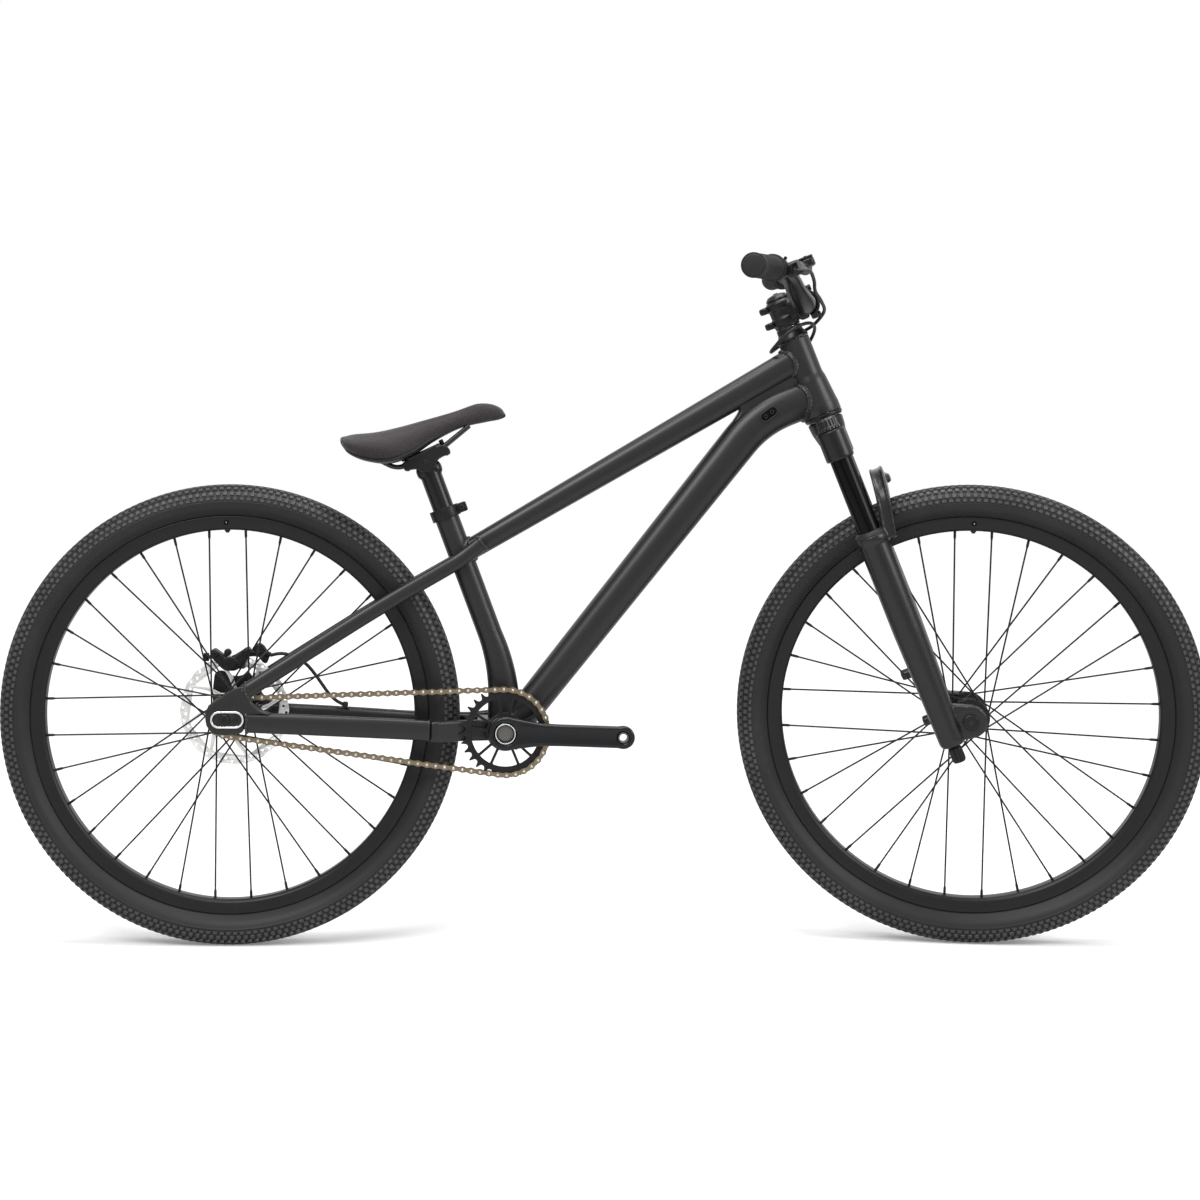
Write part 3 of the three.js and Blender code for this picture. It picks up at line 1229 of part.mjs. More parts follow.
function frontAxle() {
  const outer = legSpread + axleLobeOutset + clearance;
  const profile = [[0, -outer - axleCapThickness], [axleCapRadius, -outer - axleCapThickness],
    [axleCapRadius, -outer], [frontAxleRadius, -outer], [frontAxleRadius, outer], [0, outer]];
  const mesh = piece('front_axle', latheAcross(profile), blackAlloy);
  mesh.position.set(forkOffset, 0, 0);
  return mesh;
}

function reboundKnob() {
  const top = lowerLegEnd - clearance;
  const foot = top - knobHeight;
  const profile = [[0, foot], [knobNeckRadius, foot], [knobRadius, foot + knobTaper],
    [knobRadius, top - knobTaper], [knobNeckRadius, top], [0, top]];
  const mesh = piece('rebound_knob', latheUp(profile), blackAlloy);
  mesh.position.set(legOffset, -legSpread, 0);
  return mesh;
}

function compressionDial() {
  const foot = crownTop + clearance;
  const top = foot + dialHeight;
  const profile = [[0, foot], [dialRimRadius, foot], [dialRimRadius, foot + dialRimHeight],
    [dialRadius, foot + dialRimHeight], [dialRadius, top - dialChamfer],
    [dialRadius - dialChamfer, top], [0, top]];
  const mesh = piece('compression_dial', latheUp(profile), blackAlloy);
  mesh.position.set(legOffset, -legSpread, 0);
  return mesh;
}

// The bar, as a rise between two bends, then a straight end that sweeps back and up
const barSide = (side) => [
  at(stemReach, side * barFlatHalf, barHeight),
  at(stemReach - barSetback, side * blend(barFlatHalf, barRiseHalf, barKneeShare), barHeight + barKneeRise),
  at(stemReach - barSetback, side * barRiseHalf, barHeight + barRise),
  at(stemReach - barSetback - barBacksweep, side * barHalfWidth, barHeight + barRise + barUpsweep),
];
const barEndStart = (side) => barSide(side)[2];
const barEnd = (side) => barSide(side)[3];
const onBarEnd = (side, fromMiddle) => {
  const [start, end] = [barEndStart(side), barEnd(side)];
  return start.clone().lerp(end, (fromMiddle - Math.abs(start.y)) / (barHalfWidth - Math.abs(start.y)));
};

function handlebar() {
  const points = [...barSide(-1).reverse(), ...barSide(1)];
  const route = roundedRoute(points, barBend, shortBendSteps);
  const size = (share) => {
    const fromMiddle = Math.abs(share - 0.5) * 2;
    const radius = blend(barClampRadius, barEndRadius, THREE.MathUtils.smoothstep(fromMiddle, ...barTaperShares));
    return { wide: radius, tall: radius };
  };
  return piece('handlebar', sweep(route, size, roundFaces, at(1, 0, 0)), blackAlloy);
}

function grip(name, side) {
  const end = barEnd(side);
  const out = end.clone().sub(barEndStart(side)).normalize();
  const bore = boreFor(barEndRadius);
  const swell = gripRadius + gripSwell;
  const profile = [[0, gripCap], [swell, gripCap], [swell, 0], [gripRadius, -gripCap], [swell, -gripLength / 2],
    [gripRadius, gripFlange - gripLength], [gripFlangeRadius, gripFlange - gripLength],
    [gripFlangeRadius, -gripLength], [bore, -gripLength], [bore, clearance], [0, clearance]];
  const turn = new THREE.Quaternion().setFromUnitVectors(at(0, 1, 0), out);
  return piece(name, latheAcross(profile).applyQuaternion(turn).translate(end.x, end.y, end.z), gripRubber);
}

function stem() {
  const clamp = rod(at(0, 0, stemFoot + clearance), at(0, 0, stemTop), stemClampRadius);
  const neckRoute = roundedRoute([at(0, 0, barHeight), at(stemReach, 0, barHeight)], 0);
  const neck = sweep(neckRoute, () => ({ wide: stemNeckHalf, tall: stemNeckTallHalf, power: stemNeckPower }));
  const ears = stemEarShares.map((share) => {
    const middle = stemFoot + stemClampHeight * share;
    return block(at(-stemClampRadius - stemEarReach, -stemEarHalf, middle - stemEarTallHalf),
      at(0, stemEarHalf, middle + stemEarTallHalf));
  });
  const slit = block(at(-2 * stemClampRadius, -clampSlot / 2, stemFoot - overrun),
    at(0, clampSlot / 2, stemTop + overrun));
  const steererHole = post(steererRadius + clearance, stemFoot - overrun, stemTop + overrun);
  const body = join(clamp, neck, barClamp(), ...ears);
  return piece('stem', cut(body, slit, steererHole, barHole(), besideFaceplate(faceplateGap, 1)), blackAlloy);
}

// The ring round the bar, half on the stem and half on its faceplate
const acrossBar = (radius, half) => rod(at(stemReach, -half, barHeight), at(stemReach, half, barHeight), radius);
const barClamp = () => acrossBar(barClampRadius + barClampWall, barClampWidth / 2);
const barHole = () => acrossBar(barClampRadius + clearance, barClampWidth);
const besideFaceplate = (forward, sign) => {
  const [near, far] = [stemReach + forward, stemReach + forward + sign * 2 * stemReach];
  const half = 2 * barClampRadius;
  return block(at(Math.min(near, far), -barClampWidth, barHeight - half), at(Math.max(near, far), barClampWidth,
    barHeight + half));
};

function stemFaceplate() {
  const outer = barClampRadius + barClampWall;
  const lugs = [-1, 1].map((sign) => {
    const middle = barHeight + sign * outer;
    return block(at(stemReach, -barClampWidth / 2, middle - faceplateLug / 2),
      at(stemReach + 2 * faceplateLug, barClampWidth / 2, middle + faceplateLug / 2));
  });
  const [across, tall] = [barClampWidth * faceplateWindowShares[0] / 2, outer * faceplateWindowShares[1]];
  const window = block(at(stemReach, -across, barHeight - tall),
    at(stemReach + 2 * outer, across, barHeight + tall));
  const behind = besideFaceplate(faceplateGap + clearance, -1);
  return piece('stem_faceplate', cut(join(barClamp(), ...lugs), barHole(), window, behind), blackAlloy);
}

function stemTopCap() {
  const foot = stemTop + clearance;
  const profile = [[0, foot], [topCapRadius, foot], [topCapRadius, foot + topCapEdge],
    [topCapRadius * topCapDomeShares[0], foot + topCapHeight * topCapDomeShares[1]], [0, foot + topCapHeight]];
  return piece('stem_top_cap', latheUp(profile), blackPlastic);
}

function headsetCover() {
  const inner = steererRadius + clearance;
  const [foot, skirt, neck] = [headTubeTop + clearance, headTubeTopRadius + coverLip, steererRadius + coverWall];
  const taperEnd = headTubeTop + coverHeight * coverTaperShare;
  const profile = [[inner, foot], [skirt, foot], [skirt, foot + coverEdge], [neck, taperEnd],
    [neck, stemFoot], [inner, stemFoot]];
  return piece('headset_cover', latheUp(profile), blackAlloy);
}

function brakeMaster() {
  const bar = onBarEnd(-1, leverMount);
  const direction = barEnd(-1).sub(barEndStart(-1)).normalize();
  const along = (spot, distance) => spot.clone().addScaledVector(direction, distance);
  const half = leverClampWidth / 2;
  const clampRing = rod(along(bar, -half), along(bar, half), barEndRadius + leverClampWall);
  const barPath = rod(along(bar, -leverReach), along(bar, leverReach), boreFor(barEndRadius));
  const body = bar.clone().add(at(leverForward, 0, -leverDrop));
  const cylinder = rod(along(body, -leverBodyInner), along(body, leverBodyOuter), leverBodyRadius, smallFaces);
  const arm = block(at(bar.x + barEndRadius, bar.y - half, body.z), at(body.x, bar.y + half, bar.z));
  const reservoir = block(at(body.x, bar.y - half, body.z),
    at(body.x + reservoirDepth, bar.y - half + reservoirLength, body.z + reservoirHeight));
  return piece('brake_master_cylinder', cut(join(clampRing, cylinder, arm, reservoir), barPath), blackAlloy);
}

function leverRoot() {
  const outward = barEnd(-1).sub(barEndStart(-1)).normalize();
  return onBarEnd(-1, leverMount).add(at(leverForward, 0, -leverDrop))
    .addScaledVector(outward, leverBodyOuter + leverGap);
}

// The blade from its root outward: shares of its reach
const leverShares = [[0, 0, 0], [0.058, -0.135, -0.02], [0.02, -0.43, -0.01], [-0.04, -0.885, 0], [0.02, -1, 0]];

function brakeLever() {
  const points = leverShares.map(([x, y, z]) => leverRoot().add(at(x, y, z).multiplyScalar(leverReach)));
  const size = (share) => ({ wide: leverWidth * (1 - leverTaperShare * share), tall: leverThickness });
  const route = roundedRoute(points, leverBend, shortBendSteps);
  return piece('brake_lever', sweep(route, size, smallFaces, at(0, 0, 1)), blackAlloy);
}

// Hoses: their points are chosen by hand along the real route, the front one's from the middle of the top
// of the head tube and the rear one's from the middle of the rear axle
const frontHosePoints = [
  [22.1, -186.4, 82.4], [26.5, -173, 81.3], [33, -152, 75], [37, -125, 63.5], [38, -98, 51], [47, -62, 35.5],
  [51, -28, 21], [36, 6, 9.3], [17, 26, 5.3], [-8, 33, 1.3], [-28, 22, -3.7], [-36, 2, -4.7],
  [-31, -19, 0.3], [-12, -31, 10.3], [10, -31, 15.3], [28, -18, 13.3], [35, 0, 5.3], [30, 18, -5.7],
  [14, 30, -19.7], [-6, 33, -34.7], [-26, 33, -50.7], [-44, 31, -65.7], [-56, 27, -74.7],
];
const rearHosePoints = [
  [52.7, 52, 80.1], [63.3, 51, 82.5], [74.3, 50.5, 82.5], [90.3, 50, 77.5], [106.3, 50, 66.5],
  [118.3, 50, 52.5], [128.3, 50, 38.5], [138.3, 51, 24.5], [148.3, 53, 14.5], [158.3, 57, 8.5],
  [164.3, 60, 6.5],
];

function hose(name, points, start) {
  const route = points.map(([x, y, z]) => at(x, y, z).add(start));
  const curve = new THREE.CatmullRomCurve3(route, false, 'centripetal');
  const section = outline(circle(hoseRadius, hoseFaces));
  const steps = Math.round(curve.getLength() / hoseStep);
  return piece(name, new THREE.ExtrudeGeometry(section, { steps, extrudePath: curve }), blackPlastic);
}

// Rear brake: the caliper straddles the disc above the left dropout
const caliperShares = [[-0.5, 0.1], [-0.46, -0.22], [-0.1, -0.5], [0.2, -0.42], [0.5, 0.05], [0.48, 0.42],
  [0.2, 0.5], [0.02, 0.28], [-0.2, 0.32], [-0.4, 0.5]];
const caliperMiddle = at(rearAxleX + caliperForward, rotorPlane, wheelRadius + caliperRise);

function brakeCaliper() {
  const shape = outline(caliperShares.map(([x, z]) => [x * caliperLength, z * caliperHeight]));
  const room = rotorThickness / 2 + 2 * clearance;
  const rotorRoom = drum(rotorRadius + overrun, -room, room, 2 * roundFaces)
    .translate(rearAxleX - caliperMiddle.x, 0, wheelRadius - caliperMiddle.z);
  const [half, slotHalf] = [padSize / 2 + clearance, rotorThickness / 2 + padGap + padThickness + 2 * clearance];
  const padRoom = block(at(-half, -slotHalf, -caliperHeight),
    at(half, slotHalf, padSize * padTopShare + clearance));
  const body = cut(plate(shape, caliperWidth, caliperBevel), rotorRoom, padRoom);
  const mesh = piece('brake_caliper', body, blackAlloy);
  mesh.position.copy(caliperMiddle);
  return mesh;
}

function brakePad(name, side) {
  const inner = rotorThickness / 2 + padGap;
  const middle = side * (inner + padThickness / 2);
  const half = padThickness / 2;
  const pad = block(at(-padSize / 2, middle - half, padSize * (padTopShare - 1)),
    at(padSize / 2, middle + half, padSize * padTopShare));
  const mesh = piece(name, pad, rotorSteel);
  mesh.position.copy(caliperMiddle);
  return mesh;
}

// Outline of the bracket round the axle: shares of its reach above it
const bracketShares = [[-0.52, -0.03], [-0.59, 0.34], [-0.52, 0.95], [-0.31, 1], [-0.14, 0.86], [0.1, 0.83],
  [0.38, 0.97], [0.45, 0.69], [0.17, 0.34], [-0.1, -0.07]];

function caliperBracket() {
  const shape = outline(bracketShares.map(([x, z]) => [x * bracketReach, z * bracketReach]));
  const hubRoom = drum(hubEndRadius + 3 * clearance, -bracketThickness, bracketThickness);
  const mesh = piece('caliper_bracket', cut(plate(shape, bracketThickness, bracketBevel), hubRoom), blackAlloy);
  mesh.position.set(rearAxleX, dropoutInner - clearance - bracketThickness / 2, wheelRadius);
  return mesh;
}

// The whole bike
const bike = new THREE.Group();
bike.add(...frameFront(), bracketShell(), bracketCup('bottom_bracket_cup_right', -1),
  bracketCup('bottom_bracket_cup_left', 1), headsetLowerCup(), seatClamp(), rearAxle());
for (const [side, sideName] of [[-1, 'right'], [1, 'left']]) {
  bike.add(...stays(side, sideName), dropout(side, sideName), axleGuide(side, sideName));
}
bike.add(cranks(), chain(), rearCog(), rearWheel());
bike.add(seatpost(), saddle());
bike.add(brakeCaliper(), brakePad('brake_pad_inner', -1), brakePad('brake_pad_outer', 1),
  caliperBracket(), hose('rear_brake_hose', rearHosePoints, at(rearAxleX, 0, wheelRadius)));

const front = new THREE.Group();
front.applyMatrix4(new THREE.Matrix4().makeBasis(steerForward, at(0, 1, 0), steerUp).setPosition(forkBase));
const steered = new THREE.Group();
steered.rotation.z = steeringTurn;
const wheelInFork = frontWheel();
wheelInFork.position.set(forkOffset, 0, 0);
wheelInFork.rotation.y = Math.PI / 2 - headAngle; // its valve stands upright
steered.add(forkCrown(), stanchion('stanchion_right', -1), stanchion('stanchion_left', 1));
steered.add(stem(), stemFaceplate(), stemTopCap(), headsetCover(), handlebar());
steered.add(grip('grip_right', -1), grip('grip_left', 1), brakeMaster(), brakeLever());
steered.add(compressionDial(), forkLowers(), frontAxle(), reboundKnob(), wheelInFork);
front.add(steered, hose('front_brake_hose', frontHosePoints, at(0, 0, headTubeTop)));
bike.add(front);

export default bike;
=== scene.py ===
# A dirt jump bike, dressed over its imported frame. Lengths are written in millimetres and become metres
# in the meshes. X points forward, Y to the rider's left, Z up.
import bpy
import numpy as np
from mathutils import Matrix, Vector


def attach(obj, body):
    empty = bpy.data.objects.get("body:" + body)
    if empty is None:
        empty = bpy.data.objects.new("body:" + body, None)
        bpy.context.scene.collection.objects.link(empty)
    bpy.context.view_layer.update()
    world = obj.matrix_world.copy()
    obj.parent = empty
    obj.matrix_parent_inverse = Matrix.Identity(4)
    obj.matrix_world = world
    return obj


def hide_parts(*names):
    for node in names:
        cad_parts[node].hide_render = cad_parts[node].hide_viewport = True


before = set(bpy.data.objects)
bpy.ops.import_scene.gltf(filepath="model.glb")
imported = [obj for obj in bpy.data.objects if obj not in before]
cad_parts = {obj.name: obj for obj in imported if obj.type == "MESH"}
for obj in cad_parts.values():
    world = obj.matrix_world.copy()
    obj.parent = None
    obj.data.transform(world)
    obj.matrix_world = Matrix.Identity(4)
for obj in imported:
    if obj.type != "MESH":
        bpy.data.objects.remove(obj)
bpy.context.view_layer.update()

mm = 0.001
pi = np.pi
upright = (0, 0, 1)
sides = ((-1, "right"), (1, "left"))
white = (1, 1, 1, 1)


def vec(*numbers):
    return np.array(numbers, float)


# Where the main parts of the bike stand, as in the CAD
layout = {
    "rearAxle": vec(-530.3, 0, 330.5),
    "bracket": vec(-135.4825, 0, 309.4),
    "forkBase": vec(496.805, 0, 317.4206),
    "headAngle": 68.5,
    "steeringTurn": -10,
    "seatTop": vec(-223.9432, 0, 626.6592),
    "seatTilt": 20.4,
    "saddlePivot": vec(-248.3432, 0, 692.2689),
    "saddleTilt": 25,
    "frontAxle": (36, 0, 0),
    "rearWheelTurn": -0.9,
    "frontWheelTurn": 22.6,
}

print("camera, light and floor")
camera = {"place": vec(-176.9, -3200, 667), "lens": 66.72, "shiftX": 0.1033, "shiftY": -0.1}
lights = {
    "key": {"place": vec(-1500, -2600, 3000), "aim": vec(0, 0, 400), "size": 1.8, "watts": 112},
    "front": {"place": vec(2600, -1800, 1900), "aim": vec(0, 0, 450), "size": 1.5, "watts": 58},
    "over": {"place": vec(100, -350, 3100), "aim": vec(0, 0, 500), "size": 1.8, "watts": 80},
    "skyLevel": 0.3,
    "floorLevel": 0.86,
    "floorHalf": 60.0,
    "floorLift": (0.2, 0.78),
    "liftReach": (0.8, 4.0),
}


def aimed(spot, aim):
    return Vector(aim - spot).to_track_quat("-Z", "Y").to_euler()


def studio():
    scene = bpy.context.scene
    scene.view_settings.view_transform = "Standard"
    eye = bpy.data.objects.new("camera", bpy.data.cameras.new("camera"))
    eye.location = camera["place"] * mm
    eye.rotation_euler = (pi / 2, 0, 0)
    eye.data.sensor_width = 36
    eye.data.lens = camera["lens"]
    eye.data.shift_x = camera["shiftX"]
    eye.data.shift_y = camera["shiftY"]
    scene.collection.objects.link(eye)
    scene.camera = eye
    for name in ("key", "front", "over"):
        made = lights[name]
        lamp = bpy.data.objects.new(name + "_light", bpy.data.lights.new(name + "_light", "AREA"))
        lamp.data.energy = made["watts"]
        lamp.data.size = made["size"]
        lamp.location = made["place"] * mm
        lamp.rotation_euler = aimed(made["place"], made["aim"])
        scene.collection.objects.link(lamp)


studio()

print("materials")


# A socket that adds its Math node when it stands in a sum or a product
class Socket:
    def __init__(self, surface, out):
        self.surface, self.out = surface, out

    def __add__(self, other):
        return self.surface.sum("ADD", self, other)

    def __mul__(self, other):
        return self.surface.sum("MULTIPLY", self, other)

    __radd__ = __add__
    __rmul__ = __mul__


# The nodes of a new material, or of the world
class Surface:
    def __init__(self, name, world=None):
        self.material = world or bpy.data.materials.new(name)
        self.material.use_nodes = True
        self.tree = self.material.node_tree
        self.tree.nodes.clear()
        self.place = self.node("TexCoord", output="Object")

    # Any node: its kind, its settings, then the values or links of its sockets
    def node(self, kind, settings=None, sockets=None, output=0):
        made = self.tree.nodes.new("ShaderNode" + kind)
        for name, value in (settings or {}).items():
            setattr(made, name, value)
        for name, value in (sockets or {}).items():
            if isinstance(value, Socket):
                self.tree.links.new(value.out, made.inputs[name])
            else:
                made.inputs[name].default_value = value
        return Socket(self, made.outputs[output]) if made.outputs else None

    def sum(self, operation, first, second):
        return self.node("Math", {"operation": operation}, {0: first, 1: second})

    def noise(self, scale, detail=3, rough=0.5, place=None):
        return self.node("TexNoise", {}, {"Vector": place or self.place, "Scale": scale, "Detail": detail,
                                          "Roughness": rough})

    def stretched(self, x, y, z):
        return self.node("Mapping", {}, {"Vector": self.place, "Scale": (x, y, z)})

    # A soft step: 0 below low, 1 above high
    def mask(self, value, low, high):
        return self.node("MapRange", {"interpolation_type": "SMOOTHSTEP"},
                         {"Value": value, "From Min": low, "From Max": high})

    def mix(self, share, first, second):
        return self.node("Mix", {"data_type": "RGBA"}, {0: share, 6: first, 7: second}, output=2)

    def bump(self, height, distance):
        return self.node("Bump", {}, {"Height": height, "Distance": distance, "Strength": 1})

    def finish(self, sockets):
        shader = self.node("BsdfPrincipled", {}, sockets)
        self.node("OutputMaterial", {}, {"Surface": shader})
        return self.material


def shade(level, tint=(1, 1, 1)):
    return (level * tint[0], level * tint[1], level * tint[2], 1)


def toned(colour, by, lift=0.0):
    return tuple(min(1, c * by + lift) for c in colour[:3]) + (1,)


# Painted, anodised and cast metals: a base colour, a fine grain, a slow drift of tone and some wear
def coated(name, colour, roughness, grain=900, drift=14, bumpDepth=0.00002, metallic=0.0, coat=0.0,
           wear=0.0, coatRough=0.15, vary=0.1, specular=0.2):
    made = Surface(name)
    slow = made.noise(drift, 2)
    fine = made.noise(grain, 2, 0.6)
    dusty = made.mask(made.noise(60, 6, 0.7), 0.5, 0.75)
    worn = dusty * wear
    tone = made.mix(worn, made.mix(slow, toned(colour, 1 - vary), colour), toned(colour, 1.9, 0.03))
    return made.finish({
        "Base Color": tone,
        "Roughness": slow * 0.1 + fine * 0.08 + worn * 0.2 + (roughness - 0.09),
        "Metallic": metallic,
        "Coat Weight": coat,
        "Coat Roughness": coatRough,
        "Specular IOR Level": specular,
        "Normal": made.bump(fine, bumpDepth),
    })


# Bare metal with fine turned or brushed lines: noise squeezed along one direction
def brushed(name, colour, roughness, lines=(1, 60, 1), depth=0.00003, drift=20, vary=0.18):
    made = Surface(name)
    streaks = made.noise(40, 4, 0.6, made.stretched(*lines))
    slow = made.noise(drift, 3)
    return made.finish({
        "Base Color": made.mix(slow * 0.6 + streaks * 0.4, toned(colour, 1 - vary), colour),
        "Roughness": streaks * 0.16 + slow * 0.08 + (roughness - 0.12),
        "Metallic": 1.0,
        "Normal": made.bump(streaks, depth),
    })


# Rubber: a powdery grain and fine pits, greyer where dust lies
def rubbery(name, colour, roughness, grain=700, depth=0.00006, dust=0.2):
    made = Surface(name)
    fine = made.noise(grain, 4, 0.7)
    slow = made.noise(9, 3)
    dusty = made.mask(slow, 0.45, 0.7) * dust
    return made.finish({
        "Base Color": made.mix(dusty, colour, toned(colour, 1.6, 0.012)),
        "Roughness": fine * 0.12 + dusty * 0.1 + (roughness - 0.08),
        "Specular IOR Level": 0.22,
        "Normal": made.bump(fine, depth),
    })


# Heathered cloth: two crossed waves for the yarns, with pale and dark flecks along them
def wovenCloth(name, dark, pale):
    made = Surface(name)
    across, along = (made.node("TexWave",
                               {"wave_type": "BANDS", "bands_direction": way, "wave_profile": "SIN"},
                               {"Vector": made.place, "Scale": 420.0, "Distortion": 1.2, "Detail": 1.0})
                     for way in ("X", "Y"))
    yarn = across * along
    fleckX = made.noise(900, 2, 0.5, made.stretched(0.25, 1, 1))
    fleckY = made.noise(900, 2, 0.5, made.stretched(1, 0.25, 1))
    heather = made.mask(fleckX * 0.5 + fleckY * 0.5, 0.45, 0.62)
    slow = made.noise(16, 3)
    return made.finish({
        "Base Color": made.mix(heather * 0.75 + slow * 0.15, dark, pale),
        "Roughness": 0.86 + yarn * 0.08,
        "Sheen Weight": 0.16,
        "Sheen Roughness": 0.45,
        "Normal": made.bump(yarn * 0.7 + heather * 0.3, 0.00022),
    })


finishes = {"framePaint": coated("frame_paint", shade(0.008, (1.08, 0.97, 0.98)), 0.37, coat=0.1,
                                 coatRough=0.25, wear=0.04, specular=0.26),
            "weldPaint": coated("weld_paint", shade(0.012, (1.08, 0.97, 0.98)), 0.38, coat=0.1,
                                coatRough=0.25, wear=0.1, specular=0.3),
            "satinBlack": coated("satin_black", shade(0.004), 0.36, coat=0.1, wear=0.05),
            "anodisedBlack": coated("anodised_black", shade(0.012), 0.34, metallic=0.4, wear=0.06,
                                    grain=1400),
            "forgedBlack": coated("forged_black", shade(0.008, (0.95, 1, 1.12)), 0.28, metallic=0.4,
                                  coat=0.16, wear=0.05),
            "castBlack": coated("cast_black", shade(0.009), 0.3, coat=0.16, coatRough=0.2,
                                bumpDepth=0.00003, drift=30),
            "crownBlack": coated("crown_black", shade(0.005), 0.3, coat=0.1, coatRough=0.2,
                                 bumpDepth=0.00003, drift=30),
            "glossCoat": coated("gloss_coat", shade(0.003), 0.12, coat=0.04, coatRough=0.04, vary=0.3,
                                specular=0.06),
            "blackSteel": coated("black_steel", shade(0.014), 0.36, metallic=0.5, wear=0.12),
            "railGloss": coated("rail_gloss", shade(0.008), 0.2, coat=0.3, coatRough=0.08),
            "boltBlack": coated("bolt_black", shade(0.016), 0.32, metallic=0.5, wear=0.2),
            "wheelBlack": coated("wheel_black", shade(0.009), 0.34, metallic=0.2, wear=0.05),
            "spokeBlack": coated("spoke_black", shade(0.012), 0.36, metallic=0.4),
            "silver": brushed("silver", (0.6, 0.6, 0.59, 1), 0.3),
            "rotorSteel": brushed("rotor_steel", (0.72, 0.72, 0.71, 1), 0.36, lines=(1, 1, 1)),
            "chrome": brushed("chrome", (0.72, 0.72, 0.72, 1), 0.2, depth=0.00001),
            "bronzeChain": brushed("bronze_chain", (0.24, 0.19, 0.125, 1), 0.34, lines=(20, 1, 20),
                                   vary=0.45, drift=60),
            "darkSteel": brushed("dark_steel", (0.12, 0.115, 0.11, 1), 0.42),
            "tyreRubber": rubbery("tyre_rubber", shade(0.01), 0.5, dust=0.2),
            # The tread knobs are the casing's rubber. Their lighter colour is a painted highlight on the
            # knob tops, and they also take more dust
            "treadRubberPaintedHighlight": rubbery("tread_rubber_painted_highlight", shade(0.042), 0.45, dust=0.3),
            "gripRubber": rubbery("grip_rubber", shade(0.013, (1, 0.98, 1.04)), 0.78, grain=900),
            "blackPlastic": rubbery("black_plastic", shade(0.011), 0.5, grain=1200, depth=0.00003,
                                    dust=0.1),
            "hoseJacket": rubbery("hose_jacket", shade(0.01), 0.42, grain=300, depth=0.00001, dust=0.1),
            "saddleCloth": wovenCloth("saddle_cloth", (0.005, 0.003, 0.0042, 1),
                                      (0.022, 0.0135, 0.0185, 1))}


# The world lights the object softly, and it is white to the camera and in reflections
def studioWorld():
    world = bpy.data.worlds.new("studio")
    bpy.context.scene.world = world
    made = Surface("studio", world)
    ray = lambda name: made.node("LightPath", output=name)
    clear = made.sum("MAXIMUM", ray("Is Glossy Ray"), ray("Is Transmission Ray"))
    seen = made.sum("MAXIMUM", ray("Is Camera Ray"), clear)
    sky = made.node("Background", {}, {"Color": white, "Strength": lights["skyLevel"]})
    bright = made.node("Background", {}, {"Color": white})
    mixed = made.node("MixShader", {}, {0: seen, 1: sky, 2: bright})
    made.node("OutputWorld", {}, {"Surface": mixed})


# The floor keeps the object's shadow, and its own glow, for the camera only, makes it white further away
def floorMaterial():
    made = Surface("studio_floor")
    seen = made.node("LightPath", output="Is Camera Ray")
    shader = made.node("BsdfDiffuse", {}, {"Color": shade(lights["floorLevel"])})
    away = made.node("VectorMath", {"operation": "LENGTH"}, {0: made.place}, output="Value")
    near, far = lights["liftReach"]
    share = made.node("MapRange", {}, {"Value": away, "From Min": near, "From Max": far})
    lift = made.node("Emission", {}, {"Color": made.mix(share, *map(shade, lights["floorLift"]))})
    both = made.node("AddShader", {}, {0: shader, 1: lift})
    mixed = made.node("MixShader", {}, {"Fac": seen, 1: shader, 2: both})
    made.node("OutputMaterial", {}, {"Surface": mixed})
    return made.material


def studioFloor():
    mesh = bpy.data.meshes.new("studio_floor")
    far = lights["floorHalf"]
    mesh.from_pydata([(-far, -far, 0), (far, -far, 0), (far, far, 0), (-far, far, 0)], [], [(0, 1, 2, 3)])
    mesh.materials.append(floorMaterial())
    obj = bpy.data.objects.new("studio_floor", mesh)
    bpy.context.scene.collection.objects.link(obj)


studioWorld()
studioFloor()


# A shape is a pair: its points and a list of arrays of faces
def unit(v):
    return v / np.linalg.norm(v, axis=-1, keepdims=True)


def blend(first, last, share):
    return first + (last - first) * share


# Points in a plane by radius and angle, and the same round an axis along Y
def polar(radius, angle):
    return np.column_stack([radius * np.cos(angle), radius * np.sin(angle)])


def aroundY(radius, angle, y=0.0):
    return np.insert(polar(radius, angle), 1, y, axis=1)


# A cosine or sine whose size is raised to 2/power: this squares a circle off as the power grows
def squared(value, power):
    return np.sign(value) * np.abs(value) ** (2 / power)


# Corners become parabolas: point(t) = (1-t)^2 start + 2t(1-t) corner + t^2 end, where start and end lie
# bend away from the corner, or half way to its neighbour where that is nearer
def rounded(points, bend, steps=6, closed=False):
    points = np.asarray(points, float)
    before, after = np.roll(points, 1, axis=0), np.roll(points, -1, axis=0)
    toBefore, toAfter = before - points, after - points
    lengthBefore = np.linalg.norm(toBefore, axis=1)
    lengthAfter = np.linalg.norm(toAfter, axis=1)
    trim = np.minimum(np.minimum(bend, lengthBefore / 2), lengthAfter / 2)[:, None]
    start = points + toBefore / np.maximum(lengthBefore, 1e-9)[:, None] * trim
    end = points + toAfter / np.maximum(lengthAfter, 1e-9)[:, None] * trim
    t = np.linspace(0, 1, steps + 1)[None, :, None]
    arcs = (1 - t) ** 2 * start[:, None] + 2 * t * (1 - t) * points[:, None] + t ** 2 * end[:, None]
    if closed:
        route = arcs.reshape(-1, points.shape[1])
    else:
        route = np.vstack([points[:1], arcs[1:-1].reshape(-1, points.shape[1]), points[-1:]])
    apart = np.linalg.norm(np.diff(route, axis=0), axis=1) > 1e-6
    return route[np.concatenate([[True], apart])]


